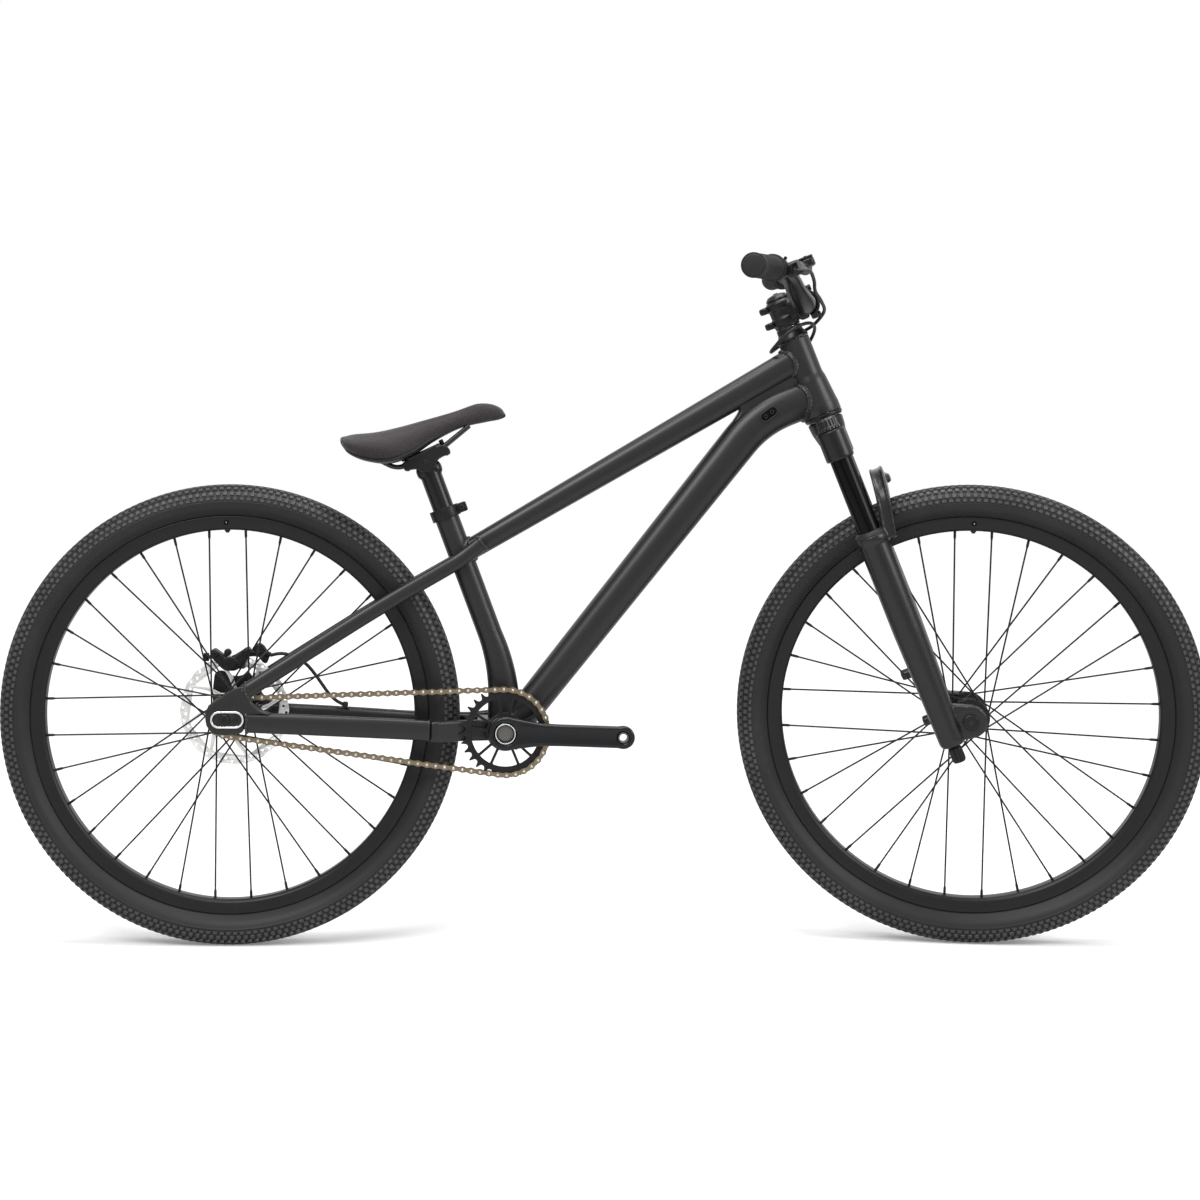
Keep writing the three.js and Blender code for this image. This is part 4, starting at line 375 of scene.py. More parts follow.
# A smooth curve through points: cubic pieces whose end slopes are half the step between the neighbours
def smooth(points, count):
    points = np.asarray(points, float)
    padded = np.vstack([2 * points[0] - points[1], points, 2 * points[-1] - points[-2]])
    t = np.linspace(0, len(points) - 1, count)
    i = np.minimum(t.astype(int), len(points) - 2)
    f = (t - i)[:, None]
    a, b, c, d = padded[i], padded[i + 1], padded[i + 2], padded[i + 3]
    second, third = 2 * a - 5 * b + 4 * c - d, 3 * b - 3 * c + d - a
    return 0.5 * (2 * b + (c - a) * f + second * f ** 2 + third * f ** 3)


# Even steps along a path, by its walked length
def spaced(path, step):
    walked = np.concatenate([[0], np.cumsum(np.linalg.norm(np.diff(path, axis=0), axis=1))])
    spots = np.linspace(0, walked[-1], max(2, int(np.ceil(walked[-1] / step)) + 1))
    return np.stack([np.interp(spots, walked, path[:, k]) for k in range(path.shape[1])], axis=1)


def gather(*shapes):
    points, faces, start = [], [], 0
    for spots, groups in shapes:
        points.append(spots)
        faces += [group + start for group in groups]
        start += len(spots)
    return np.vstack(points), faces


# Volume under a shape's faces: positive where they point outwards
def volume(points, faces):
    total = 0.0
    for group in faces:
        a = points[group[:, 0]]
        for k in range(1, group.shape[1] - 1):
            total += np.einsum("ij,ij->", a, np.cross(points[group[:, k]], points[group[:, k + 1]]))
    return total


def outward(shape):
    points, faces = shape
    if volume(points - points.mean(axis=0), faces) < 0:
        faces = [group[:, ::-1] for group in faces]
    return points, faces


# Rows of points joined by quads; each row is closed round, the rows end in fans or close on themselves
def skin(rows, closeAlong=False):
    count, around = rows.shape[:2]
    index = np.arange(count * around).reshape(count, around)
    upper = index if closeAlong else index[:-1]
    lower = np.roll(index, -1, axis=0) if closeAlong else index[1:]
    quads = np.stack([upper, np.roll(upper, -1, axis=1), np.roll(lower, -1, axis=1), lower],
                     axis=-1).reshape(-1, 4)
    points = rows.reshape(-1, 3)
    faces = [quads]
    if not closeAlong:
        ends = np.stack([rows[0].mean(axis=0), rows[-1].mean(axis=0)])
        first, last = len(points), len(points) + 1
        points = np.vstack([points, ends])
        ring = index[0]
        faces.append(np.stack([np.full(around, first), np.roll(ring, -1), ring], axis=1))
        ring = index[-1]
        faces.append(np.stack([np.full(around, last), ring, np.roll(ring, -1)], axis=1))
    return outward((points, faces))


# A profile of (radius, distance along the axis) turned about an axis through a point
def lathe(profile, count=48, origin=(0, 0, 0), axis=(0, 1, 0), closed=None):
    profile = np.asarray(profile, float)
    axis = unit(vec(*axis))
    u = unit(np.cross(axis, vec(1, 0, 0) if abs(axis[0]) < 0.7 else vec(0, 0, 1)))
    v = np.cross(axis, u)
    angle = np.linspace(0, 2 * pi, count, endpoint=False)
    ring = np.cos(angle)[:, None] * u + np.sin(angle)[:, None] * v
    rows = vec(*origin) + profile[:, 1][:, None, None] * axis + profile[:, 0][:, None, None] * ring
    if closed is None:
        closed = profile[0, 0] > 0.01 and profile[-1, 0] > 0.01
    return skin(rows, closeAlong=closed)


# A turned part: the corners of its profile are rounded by the given bend
def turned(profile, bend=0.6, count=48, origin=(0, 0, 0), axis=(0, 1, 0), steps=3, ring=False):
    profile = np.asarray(profile, float)
    return lathe(rounded(profile, bend, steps, closed=ring), count, origin, axis, closed=ring)


# Directions across a path and up from it, with the first one kept near the given side
def pathAxes(path, side):
    along = unit(np.gradient(path, axis=0))
    across = unit(vec(*side) - (along @ vec(*side))[:, None] * along)
    return across, np.cross(along, across)


# A section carried along a path: across*wide*|cos|^(2/power) + up*tall*|sin|^(2/power)
def sweep(path, wide, tall, power=2.0, around=32, side=(0, 1, 0)):
    path = np.asarray(path, float)
    across, up = pathAxes(path, side)
    angle = (np.arange(around) + 0.5) / around * 2 * pi
    wide, tall, power = (np.broadcast_to(value, len(path)).astype(float)[:, None]
                         for value in (wide, tall, power))
    out = wide * squared(np.cos(angle)[None], power)
    high = tall * squared(np.sin(angle)[None], power)
    return skin(path[:, None] + out[..., None] * across[:, None] + high[..., None] * up[:, None])


# A rod between two points with softly rounded ends
def rod(start, end, radius, around=24, endRadius=None, edge=0.5):
    start, end = vec(*start), vec(*end)
    length = np.linalg.norm(end - start)
    far = radius if endRadius is None else endRadius
    edge = min(edge, radius / 2, length / 4)
    profile = [[0, 0], [radius - edge, 0], [radius, edge], [far, length - edge], [far - edge, length],
               [0, length]]
    return turned(profile, edge, around, start, end - start, steps=2)


# A block with rounded edges, as a squared-off ball: |x|^p + |y|^p + |z|^p = 1, crisp where p is near 8
def softBlock(low, high, power=8.0, steps=24):
    low, high = vec(*low), vec(*high)
    lat = np.linspace(-pi / 2, pi / 2, steps + 1)[1:-1]
    lon = np.linspace(0, 2 * pi, 2 * steps, endpoint=False)
    shaped = lambda value: squared(value, power)
    x = shaped(np.cos(lat))[:, None] * shaped(np.cos(lon))[None]
    y = shaped(np.cos(lat))[:, None] * shaped(np.sin(lon))[None]
    z = shaped(np.sin(lat))[:, None] * np.ones_like(lon)[None]
    rows = np.stack([x, y, z], axis=-1) * (high - low) / 2 + (low + high) / 2
    return skin(rows)


# A flat outline with holes, in the XZ plane, as a plate with rounded edges
def plate(outer, holes=(), thickness=4.0, bevel=0.6, middle=0.0, bevelSteps=2):
    curve = bpy.data.curves.new("outline", "CURVE")
    curve.dimensions = "2D"
    curve.fill_mode = "BOTH"
    curve.extrude = (thickness / 2 - bevel) * mm
    curve.bevel_depth = bevel * mm
    curve.bevel_resolution = bevelSteps
    curve.offset = -bevel * mm
    for points in [outer, *holes]:
        points = np.asarray(points, float) * mm
        line = curve.splines.new("POLY")
        line.points.add(len(points) - 1)
        line.points.foreach_set("co",
                                np.column_stack([points, np.zeros(len(points)),
                                                 np.ones(len(points))]).ravel())
        line.use_cyclic_u = True
    obj = bpy.data.objects.new("outline", curve)
    mesh = bpy.data.meshes.new_from_object(obj)
    spots = spotsOf(mesh) / mm
    mesh.calc_loop_triangles()
    faces = np.empty(len(mesh.loop_triangles) * 3, int)
    mesh.loop_triangles.foreach_get("vertices", faces)
    bpy.data.objects.remove(obj)
    bpy.data.curves.remove(curve)
    bpy.data.meshes.remove(mesh)
    points = np.column_stack([spots[:, 0], middle - spots[:, 2], spots[:, 1]])
    return outward(welded(points, faces.reshape(-1, 3)))


# Points that lie together become one, and triangles that vanish with them go
def welded(points, triangles):
    keys = np.round(points / 0.002).astype(np.int64)
    kept, first, inverse = np.unique(keys, axis=0, return_index=True, return_inverse=True)
    triangles = inverse.reshape(-1)[triangles]
    whole = (triangles != np.roll(triangles, 1, axis=1)).all(axis=1)
    return points[first], [triangles[whole]]


def circle(radius, count=48, x=0.0, z=0.0):
    angle = np.arange(count) / count * 2 * pi
    return polar(radius, angle) + vec(x, z)


# A slot with round ends
def stadium(length, height, x=0.0, z=0.0, count=16):
    half, radius = (length - height) / 2, height / 2
    angle = np.linspace(-pi / 2, pi / 2, count)
    right = polar(radius, angle) + vec(half, 0)
    return np.vstack([right, -right]) + vec(x, z)


# Profiles of a solid drum and of a pipe, for lathe and turned
def drum(radius, low, high):
    return [(0, low), (radius, low), (radius, high), (0, high)]


def pipe(bore, radius, low, high):
    return [(bore, low), (radius, low), (radius, high), (bore, high)]


# A bolt's head with a socket, from its foot to its top along the axis
def boltHead(size, foot, top, spot=(0, 0, 0), axis=(0, 1, 0)):
    chamfer, depth = np.sign(top - foot) * size["chamfer"], np.sign(top - foot) * size["depth"]
    profile = [(0, foot), (size["radius"], foot), (size["radius"], top - chamfer),
               (size["radius"] - size["chamfer"], top), (size["socket"], top),
               (size["socket"] - 0.1, top - depth), (0, top - depth)]
    return turned(profile, 0.3, size.get("around", 20), spot, axis, steps=2)


def moved(shape, by):
    return shape[0] + np.asarray(by, float), shape[1]


def spun(shape, degrees, axis="y"):
    a = np.radians(degrees)
    c, s = np.cos(a), np.sin(a)
    turn = {"x": [[1, 0, 0], [0, c, -s], [0, s, c]], "y": [[c, 0, s], [0, 1, 0], [-s, 0, c]],
            "z": [[c, -s, 0], [s, c, 0], [0, 0, 1]]}[axis]
    return shape[0] @ np.array(turn).T, shape[1]


def mirrored(shape):
    return outward((shape[0] * vec(1, -1, 1), shape[1]))


# Copies of one shape: each copy is turned by its own 3x3 matrix and moved to its own place
def copies(shape, turns, places):
    points, faces = shape
    spots = np.einsum("nij,pj->npi", turns, points) + places[:, None]
    starts = np.arange(len(places)) * len(points)
    return spots.reshape(-1, 3), [(group[None] + starts[:, None, None]).reshape(-1, group.shape[1])
                                  for group in faces]


def unturned(count):
    return np.broadcast_to(np.eye(3), (count, 3, 3))


# Matrices that carry the axes x, y, z to the given directions
def basis(x, y, z):
    return np.stack([x, y, z], axis=-1)


# The steering axes: x forward across the steering axis, y left, z up it, turned with the bars
steerTurn = np.radians(layout["steeringTurn"])
headAngle = np.radians(layout["headAngle"])
steerAxes = basis(vec(np.sin(headAngle), 0, np.cos(headAngle)), vec(0, 1, 0),
                  vec(-np.cos(headAngle), 0, np.sin(headAngle)))
steerSpin = np.array([[np.cos(steerTurn), -np.sin(steerTurn), 0], [np.sin(steerTurn), np.cos(steerTurn), 0],
                      [0, 0, 1]])


def onHead(shape):
    return shape[0] @ steerAxes.T + layout["forkBase"], shape[1]


def steered(shape):
    return onHead((shape[0] @ steerSpin.T, shape[1]))


def onSeat(shape):
    return moved(spun(shape, -layout["seatTilt"]), layout["seatTop"])


def onSaddle(shape):
    return moved(spun(shape, -layout["saddleTilt"]), layout["saddlePivot"])


# Puts a shape into the scene as a finished piece
def piece(name, shape, finish, body, node=None, sharp=38, keep=True):
    points, faces = shape
    mesh = bpy.data.meshes.new(name)
    polygons = []
    for group in faces:
        polygons += group.tolist()
    mesh.from_pydata((points * mm).tolist(), [], polygons)
    mesh.update()
    mesh.materials.append(finishes[finish])
    obj = bpy.data.objects.new(name, mesh)
    bpy.context.scene.collection.objects.link(obj)
    smoothFaces(mesh, sharp)
    if keep:
        claim(obj, body, node)
    return obj


def smoothFaces(mesh, sharp):
    mesh.polygons.foreach_set("use_smooth", np.ones(len(mesh.polygons), bool))
    mesh.set_sharp_from_angle(angle=np.radians(sharp))


# Each piece rides a body; the first one of a node takes the place of its solid
def claim(obj, body, node):
    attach(obj, body)
    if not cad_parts[node].hide_render:
        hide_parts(node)


# Makes a piece's modifiers part of its mesh
def applied(obj):
    mesh = bpy.data.meshes.new_from_object(obj.evaluated_get(bpy.context.evaluated_depsgraph_get()))
    obj.modifiers.clear()
    old = obj.data
    obj.data = mesh
    bpy.data.meshes.remove(old)
    mesh.name = obj.name


def spotsOf(mesh):
    spots = np.empty(len(mesh.vertices) * 3)
    mesh.vertices.foreach_get("co", spots)
    return spots.reshape(-1, 3)


# A cast part: its shapes are merged through small cubes, then the corners between them become fillets,
# and only edges of more than 60 degrees stay sharp
def cast(name, shape, finish, body, node, voxel, relax):
    obj = piece(name, shape, finish, body, keep=False)
    blocks = obj.modifiers.new("merge", "REMESH")
    blocks.mode = "VOXEL"
    blocks.voxel_size = voxel * mm
    soften = obj.modifiers.new("soften", "SMOOTH")
    soften.factor = 0.5
    soften.iterations = relax
    applied(obj)
    smoothFaces(obj.data, 60)
    claim(obj, body, node)


print("wheels")
tyreShape = {"casing": [(284.5, 12.2), (290, 17.5), (297, 23.2), (305, 26.3), (313, 25.6), (320, 21.6),
                        (325, 15), (327.6, 7.5), (328.2, 0)],
             "ridge": {"radius": 306.0, "wide": 0.8, "high": 0.7},
             "knobs": [{"at": (328.1, 3.4), "wide": 5.2, "long": 7.2, "high": 2.3, "shift": 0.0},
                       {"at": (326.1, 10.9), "wide": 5.4, "long": 6.8, "high": 2.6, "shift": 0.5},
                       {"at": (322.3, 17.8), "wide": 5.6, "long": 6.6, "high": 2.7, "shift": 0.0},
                       {"at": (316.3, 23.7), "wide": 5.8, "long": 6.4, "high": 2.6, "shift": 0.5},
                       {"at": (310.4, 26.1), "wide": 4.6, "long": 6.6, "high": 1.7, "shift": 0.0}],
             "knobCount": 202, "knobTaper": (0.6, 0.5), "knobSunk": 0.6}
rimShape = {"outer": 285.2, "inner": 265.0, "half": 15.0, "innerHalf": 9.5, "floor": 276.5, "wall": 2.1}
spokes = {"count": 32, "crossings": 3, "radius": 1.25, "rimRadius": 266.0, "stagger": 2.5, "lacing": 1.5,
          "holeRadius": 25.0, "nippleRadius": 2.0, "nippleLength": 12.0}
hubs = {
    "rear": {"ends": (-38.65, 65.0), "flanges": (-26, 38), "discSeat": (48.8, 53.8), "bore": 6.3},
    "front": {"ends": (-49.7, 49.7), "flanges": (-33, 27), "discSeat": (42, 47), "bore": 7.8},
    "flangeRadius": 29.0, "flangeThick": 5.0, "shellRadius": 16.0, "endRadius": 11.5, "seatRadius": 22.0,
}


def onRear(shape):
    return moved(spun(shape, layout["rearWheelTurn"]), layout["rearAxle"])


def onFront(shape):
    return steered(moved(spun(shape, layout["frontWheelTurn"]), layout["frontAxle"]))


def tyreCasing():
    half = smooth(tyreShape["casing"], 40)
    profile = np.vstack([half[:-1], half[::-1] * vec(1, -1)])
    ridge = tyreShape["ridge"]
    swell = np.exp(-((profile[:, 0] - ridge["radius"]) / ridge["wide"]) ** 2) * ridge["high"]
    profile[:, 1] += np.sign(profile[:, 1]) * swell
    return lathe(profile, 220, closed=True)


# Each knob is a block whose top is smaller than its foot, set on the casing along its outward normal
def tyreTread():
    half = smooth(tyreShape["casing"], 200)
    slope = np.gradient(half, axis=0)
    normals = unit(np.column_stack([slope[:, 1], -slope[:, 0]]))
    normals *= np.sign(normals[:, :1] + 1e-9)
    parts = []
    for knob in tyreShape["knobs"]:
        spot = np.argmin(np.linalg.norm(half - vec(*knob["at"]), axis=1))
        radius, y = half[spot]
        outR, outY = np.abs(normals[spot])
        foot = vec(knob["long"], knob["wide"]) / 2
        top = foot - vec(*tyreShape["knobTaper"])
        corners = vec([-1, -1], [1, -1], [1, 1], [-1, 1])
        block = np.vstack([np.column_stack([corners * foot, np.full(4, -tyreShape["knobSunk"])]),
                           np.column_stack([corners * top, np.full(4, knob["high"])])])
        faces = [np.array([[0, 1, 5, 4], [1, 2, 6, 5], [2, 3, 7, 6], [3, 0, 4, 7], [4, 5, 6, 7],
                           [3, 2, 1, 0]])]
        for side in (-1, 1):
            angle = (np.arange(tyreShape["knobCount"]) + knob["shift"] + (0.5 if side > 0 else 0)) \
                / tyreShape["knobCount"] * 2 * pi
            radial = aroundY(1, angle)
            sideways = np.zeros_like(radial) + vec(0, side, 0)
            up = radial * outR + sideways * outY
            around = np.column_stack([-np.sin(angle), np.zeros_like(angle), np.cos(angle)])
            across = np.cross(up, around)
            turns = np.stack([around, across, up], axis=-1)
            places = radial * radius + sideways * y
            parts.append(copies(outward((block, faces)), turns, places))
    return gather(*parts)


def rimRing():
    r = rimShape
    profile = [(r["inner"], -r["innerHalf"]), (r["inner"], r["innerHalf"]), (r["inner"] + 4, 12.8),
               (r["outer"] - 2.5, r["half"]), (r["outer"], r["half"]), (r["outer"], r["half"] - r["wall"]),
               (r["floor"], r["half"] - r["wall"])]
    mirror = [(radius, -y) for radius, y in profile[2:]][::-1]
    return turned(profile + mirror, 1.4, 256, ring=True, steps=3)


# The photo shows no valve inside the rims, so only its nut stands at the hole
def valve():
    return turned([(0, 268), (4.2, 268), (4.2, 263.4), (2.8, 262.6), (2.6, 260.8), (0, 260.8)], 0.4, 16,
                  axis=upright, steps=2)


# A pin with a bright head in each side of the rim, over the valve
def rimPins(radius, reach):
    return [moved(rod((0, side * 14.4, 0), (0, side * reach, 0), radius, 20, edge=0.15), (0, 0, 276))
            for side in (-1, 1)]


# Where the spokes run: from a flange's hole to the rim, crossing three others on the way
def spokeLines(flanges):
    i = np.arange(spokes["count"])
    rimAngle = (i + 0.5) / spokes["count"] * 2 * pi
    leading = np.where(i % 4 < 2, 1, -1)
    hubAngle = rimAngle + leading * spokes["crossings"] * 4 * pi / spokes["count"]
    side = i % 2
    flangeY = np.where(side, flanges[1], flanges[0]) + leading * spokes["lacing"]
    rimY = np.where(side, spokes["stagger"], -spokes["stagger"]) + leading * spokes["lacing"] * 0.35
    return aroundY(spokes["holeRadius"], hubAngle, flangeY), aroundY(spokes["rimRadius"], rimAngle, rimY)


def alongLines(shape, start, end, scaled):
    way = end - start
    length = np.linalg.norm(way, axis=1, keepdims=True)
    z = way / length
    x = unit(np.cross(vec(0, 1, 0), z))
    y = np.cross(z, x)
    return copies(shape, np.stack([x, y, z * (length if scaled else 1)], axis=-1), start)


def spokeSet(flanges):
    start, end = spokeLines(flanges)
    wire = lathe(drum(spokes["radius"], 0, 1), 8, axis=upright, closed=False)
    head = lathe([(0, -1.6), (1.7, -1.2), (1.9, 0), (1.4, 1.2), (0, 1.6)], 10, closed=False)
    heads = copies(head, unturned(len(start)), start)
    return gather(alongLines(wire, start, end, True), heads)


def nippleSet(flanges):
    start, end = spokeLines(flanges)
    body = lathe([(0, -1), (1.3, -1), (1.8, 1.5), (spokes["nippleRadius"], 2), (spokes["nippleRadius"], 12),
                  (0, 12)], 10, axis=upright, closed=False)
    back = end - unit(end - start) * spokes["nippleLength"]
    return alongLines(body, back, end, False)


def hubShell(which):
    h = hubs[which]
    t, shell, flange = hubs["flangeThick"] / 2, hubs["shellRadius"], hubs["flangeRadius"]
    collar = lambda y: [(shell, y - 2.6 * t), (shell + 5, y - 1.4 * t), (flange - 1, y - t), (flange, y),
                        (flange - 1, y + t), (shell + 5, y + 1.4 * t), (shell, y + 2.6 * t)]
    profile = [(h["bore"], h["ends"][0]), (hubs["endRadius"], h["ends"][0]),
               (hubs["endRadius"], h["flanges"][0] - 4 * t), *collar(h["flanges"][0]),
               *collar(h["flanges"][1]), (hubs["seatRadius"], h["discSeat"][0]),
               (hubs["seatRadius"], h["discSeat"][1]), (hubs["endRadius"], h["discSeat"][1]),
               (hubs["endRadius"], h["ends"][1]), (h["bore"], h["ends"][1])]
    return turned(profile, 1.2, 72, ring=True)


def wheelPieces(which, place, body):
    flanges = hubs[which]["flanges"]
    for name, shape, finish, node, sharp in (
            ("tyre_casing", tyreCasing(), "tyreRubber", "tyre", 38),
            # The tread's lighter rubber is a painted highlight on the knob tops
            ("tyre_tread_painted_highlight", tyreTread(), "treadRubberPaintedHighlight", "tyre", 20),
            ("rim_ring", rimRing(), "wheelBlack", "rim", 38),
            ("valve_nut", valve(), "blackSteel", "rim", 38),
            ("rim_pins", gather(*rimPins(3.6, 15.3)), "glossCoat", "rim", 38),
            ("rim_pin_heads", gather(*rimPins(0.9, 15.6)), "silver", "rim", 38),
            ("spokes", spokeSet(flanges), "spokeBlack", "hub", 38),
            ("nipples", nippleSet(flanges), "anodisedBlack", "hub", 38),
            ("hub_shell", hubShell(which), "anodisedBlack", "hub", 38)):
        piece(which + "_" + name, place(shape), finish, body, which + "_" + node, sharp=sharp)


wheelPieces("rear", onRear, "rear_wheel")
wheelPieces("front", onFront, "front_wheel")

rotor = {"radius": 80.0, "thick": 1.8, "plane": 55.0, "band": 11.5, "hub": 27.0, "arms": 8, "ripples": 24,
         "rippleDepth": 1.3, "ventHoles": 48, "ventRadius": 2.1, "bore": 12.2, "bolts": 6,
         "boltCircle": 22.0}


def brakeRotor():
    r = rotor
    angle = np.linspace(0, 2 * pi, 288, endpoint=False)
    edge = r["radius"] - r["rippleDepth"] * (0.5 - 0.5 * np.cos(r["ripples"] * angle))
    holes = [circle(r["bore"], 40)]
    inner, rim = r["hub"] + 3, r["radius"] - r["band"]
    for i in range(r["arms"]):
        shares = vec([0, 0.05], [0.5, 0.2], [1, 0.36], [1, 1.27], [0.5, 1.03], [0, 0.8])
        turn = (i + shares[:, 1]) / r["arms"] * 2 * pi
        radius = inner + (rim - inner) * shares[:, 0]
        holes.append(rounded(polar(radius, turn), 3, 4, closed=True))
    for i in range(r["ventHoles"]):
        turn = (i + 0.5) / r["ventHoles"] * 2 * pi
        radius = r["radius"] - (4.2 if i % 2 else 8.2)
        holes.append(circle(r["ventRadius"], 10, radius * np.cos(turn), radius * np.sin(turn)))
    return plate(polar(edge, angle), holes, r["thick"], 0.15, r["plane"], 1)


def rotorBolts():
    turn = np.arange(rotor["bolts"]) / rotor["bolts"] * 2 * pi
    head = turned([(0, 55.6), (4.2, 55.6), (4.2, 57.2), (3.2, 58.2), (1.8, 58.2), (1.6, 57), (0, 57)], 0.3,
                  18)
    return copies(head, unturned(len(turn)), aroundY(rotor["boltCircle"], turn))


piece("rotor_disc", onRear(brakeRotor()), "rotorSteel", "rear_wheel", "brake_rotor")
piece("rotor_bolts", onRear(rotorBolts()), "blackSteel", "rear_wheel", "brake_rotor")

print("drive")
drive = {"pitch": 12.7, "ringTeeth": 30, "cogTeeth": 13, "links": 84, "centres": 395.381, "line": 48.0,
         "rollerRadius": 3.87, "innerHalf": 1.65, "plateThick": 1.1, "plateRadius": 4.4, "waist": 2.7,
         "toothHeight": 3.5, "thick": 2.7, "pinRadius": 1.9, "seatGap": 0.25, "seatHalf": 78.0,
         "tipHalf": 0.06}
ringRadius = drive["pitch"] / (2 * np.sin(pi / drive["ringTeeth"]))
cogRadius = drive["pitch"] / (2 * np.sin(pi / drive["cogTeeth"]))
driveLean = np.arcsin((ringRadius - cogRadius) / drive["centres"])
ringSteps = (pi + 2 * driveLean) * drive["ringTeeth"] / (2 * pi)
cogSteps = (pi - 2 * driveLean) * drive["cogTeeth"] / (2 * pi)
straightSteps = np.sqrt(drive["centres"] ** 2 - (ringRadius - cogRadius) ** 2) / drive["pitch"]
toBracket = layout["bracket"] - layout["rearAxle"]
driveAngle = np.arctan2(toBracket[2], toBracket[0])
upperAngle = pi / 2 + driveLean
firstCogPin = np.ceil(ringSteps + straightSteps)
cogPhase = -upperAngle - (firstCogPin - ringSteps - straightSteps) / drive["cogTeeth"] * 2 * pi


# The pins: round the chainring, along the lower run, round the cog and back along the upper run
def chainPins(steps):
    steps = np.asarray(steps, float) % drive["links"]
    onRing = lambda s: polar(ringRadius,
                             upperAngle - s / drive["ringTeeth"] * 2 * pi) + vec(drive["centres"], 0)
    onCog = lambda s: polar(cogRadius, -upperAngle - s / drive["cogTeeth"] * 2 * pi)
    ringStart, ringEnd = onRing(vec(0)), onRing(vec(ringSteps))
    cogStart, cogEnd = onCog(vec(0)), onCog(vec(cogSteps))
    lower = (steps - ringSteps) / straightSteps
    upper = (steps - ringSteps - straightSteps - cogSteps) / straightSteps
    spots = np.where((steps < ringSteps)[:, None], onRing(steps),
                     np.where((lower < 1)[:, None], ringEnd + (cogStart - ringEnd) * lower[:, None],
                              np.where((upper < 0)[:, None], onCog(steps - ringSteps - straightSteps),
                                       cogEnd + (ringStart - cogEnd) * upper[:, None])))
    c, s = np.cos(driveAngle), np.sin(driveAngle)
    return spots @ np.array([[c, s], [-s, c]]) + vec(layout["rearAxle"][0], layout["rearAxle"][2])


def linkPlate(y, thick, radius, waist):
    angle = np.radians(np.linspace(-112, 112, 9))
    right = polar(radius, angle) + vec(drive["pitch"] / 2, 0)
    edge = np.vstack([right, [[0, waist]], -right, [[0, -waist]]])
    rows = [np.column_stack([edge[:, 0], np.full(len(edge), level), edge[:, 1]])
            for level in (y - thick / 2, y + thick / 2)]
    return skin(np.stack(rows))


def chainPieces():
    pins = chainPins(np.arange(drive["links"]))
    ends = chainPins(np.arange(drive["links"]) + 1)
    middle, way = (pins + ends) / 2, unit(ends - pins)
    x = np.column_stack([way[:, 0], np.zeros(len(way)), way[:, 1]])
    z = np.column_stack([-way[:, 1], np.zeros(len(way)), way[:, 0]])
    turns = np.stack([x, np.zeros_like(x) + vec(0, 1, 0), z], axis=-1)
    places = np.column_stack([middle[:, 0], np.full(len(middle), -drive["line"]), middle[:, 1]])
    half, thick = drive["innerHalf"], drive["plateThick"]
    inner = gather(*[linkPlate(side * (half + thick / 2), thick, drive["plateRadius"], drive["waist"])
                     for side in (-1, 1)])
    outer = gather(*[linkPlate(side * (half + 1.6 * thick + 0.05), thick, drive["plateRadius"] - 0.3,
                               drive["waist"] - 0.2) for side in (-1, 1)])
    roller = lathe(drum(drive["rollerRadius"], -half, half), 14)
    reach, wide = half + 2 * thick + 0.7, drive["pinRadius"]
    pin = lathe([(0, -reach), (wide - 0.4, -reach), (wide, -reach + 0.4), (wide, reach - 0.4),
                 (wide - 0.4, reach), (0, reach)], 12)
    pinPlaces = np.column_stack([pins[:, 0], np.full(len(pins), -drive["line"]), pins[:, 1]])
    still = unturned(len(pins))
    odd = np.arange(drive["links"]) % 2 == 1
    piece("chain_links", gather(copies(inner, turns[odd], places[odd]),
                                copies(outer, turns[~odd], places[~odd])), "bronzeChain", "frame", "chain",
          sharp=30)
    piece("chain_rollers", copies(roller, still, pinPlaces), "darkSteel", "frame", "chain")
    piece("chain_pins", copies(pin, still, pinPlaces), "silver", "frame", "chain")


# Teeth: a round seat for each roller, and a narrow tip half way to the next
def sprocketOutline(teeth, radius, phase):
    gap = phase + np.arange(teeth) / teeth * 2 * pi
    seat = drive["rollerRadius"] + drive["seatGap"]
    swing = np.radians(np.linspace(-drive["seatHalf"], drive["seatHalf"], 9))
    radial = polar(1, gap)[:, None]
    around = np.column_stack([-np.sin(gap), np.cos(gap)])[:, None]
    inwards, sideways = radius - seat * np.cos(swing)[None, :, None], seat * np.sin(swing)[None, :, None]
    arcs = radial * inwards + around * sideways
    tip = radius + drive["toothHeight"]
    tipAngle = gap[:, None] + vec(0.5 - drive["tipHalf"], 0.5 + drive["tipHalf"])[None] / teeth * 2 * pi
    tips = np.stack([tip * np.cos(tipAngle), tip * np.sin(tipAngle)], axis=-1)
    return np.concatenate([arcs, tips], axis=1).reshape(-1, 2)


chainring = {"hole": 14.8, "inner": 26.5, "outer": 48.6, "pairs": 5, "firstPair": 17.0, "pairHalf": 12.5,
             "armHalf": 1.9, "corner": 2.6}


def chainringPlate():
    c = chainring
    holes = [circle(c["hole"], 40)]
    step = 360 / c["pairs"]
    for i in range(c["pairs"]):
        middle = c["firstPair"] + i * step
        near, far = middle - c["pairHalf"], middle + c["pairHalf"]
        for start, end in ((near, far), (far, near + step)):
            edges = []
            for radius in (c["inner"], c["outer"]):
                trim = np.degrees(np.arcsin(c["armHalf"] / radius))
                angle = np.radians(np.linspace(start + trim, end - trim, 9))
                edges.append(polar(radius, angle))
            holes.append(rounded(np.vstack([edges[0], edges[1][::-1]]), c["corner"], 4, closed=True))
    flat = plate(sprocketOutline(drive["ringTeeth"], ringRadius, upperAngle + driveAngle), holes,
                 drive["thick"], 0.4, -drive["line"])
    return moved(flat, layout["bracket"])


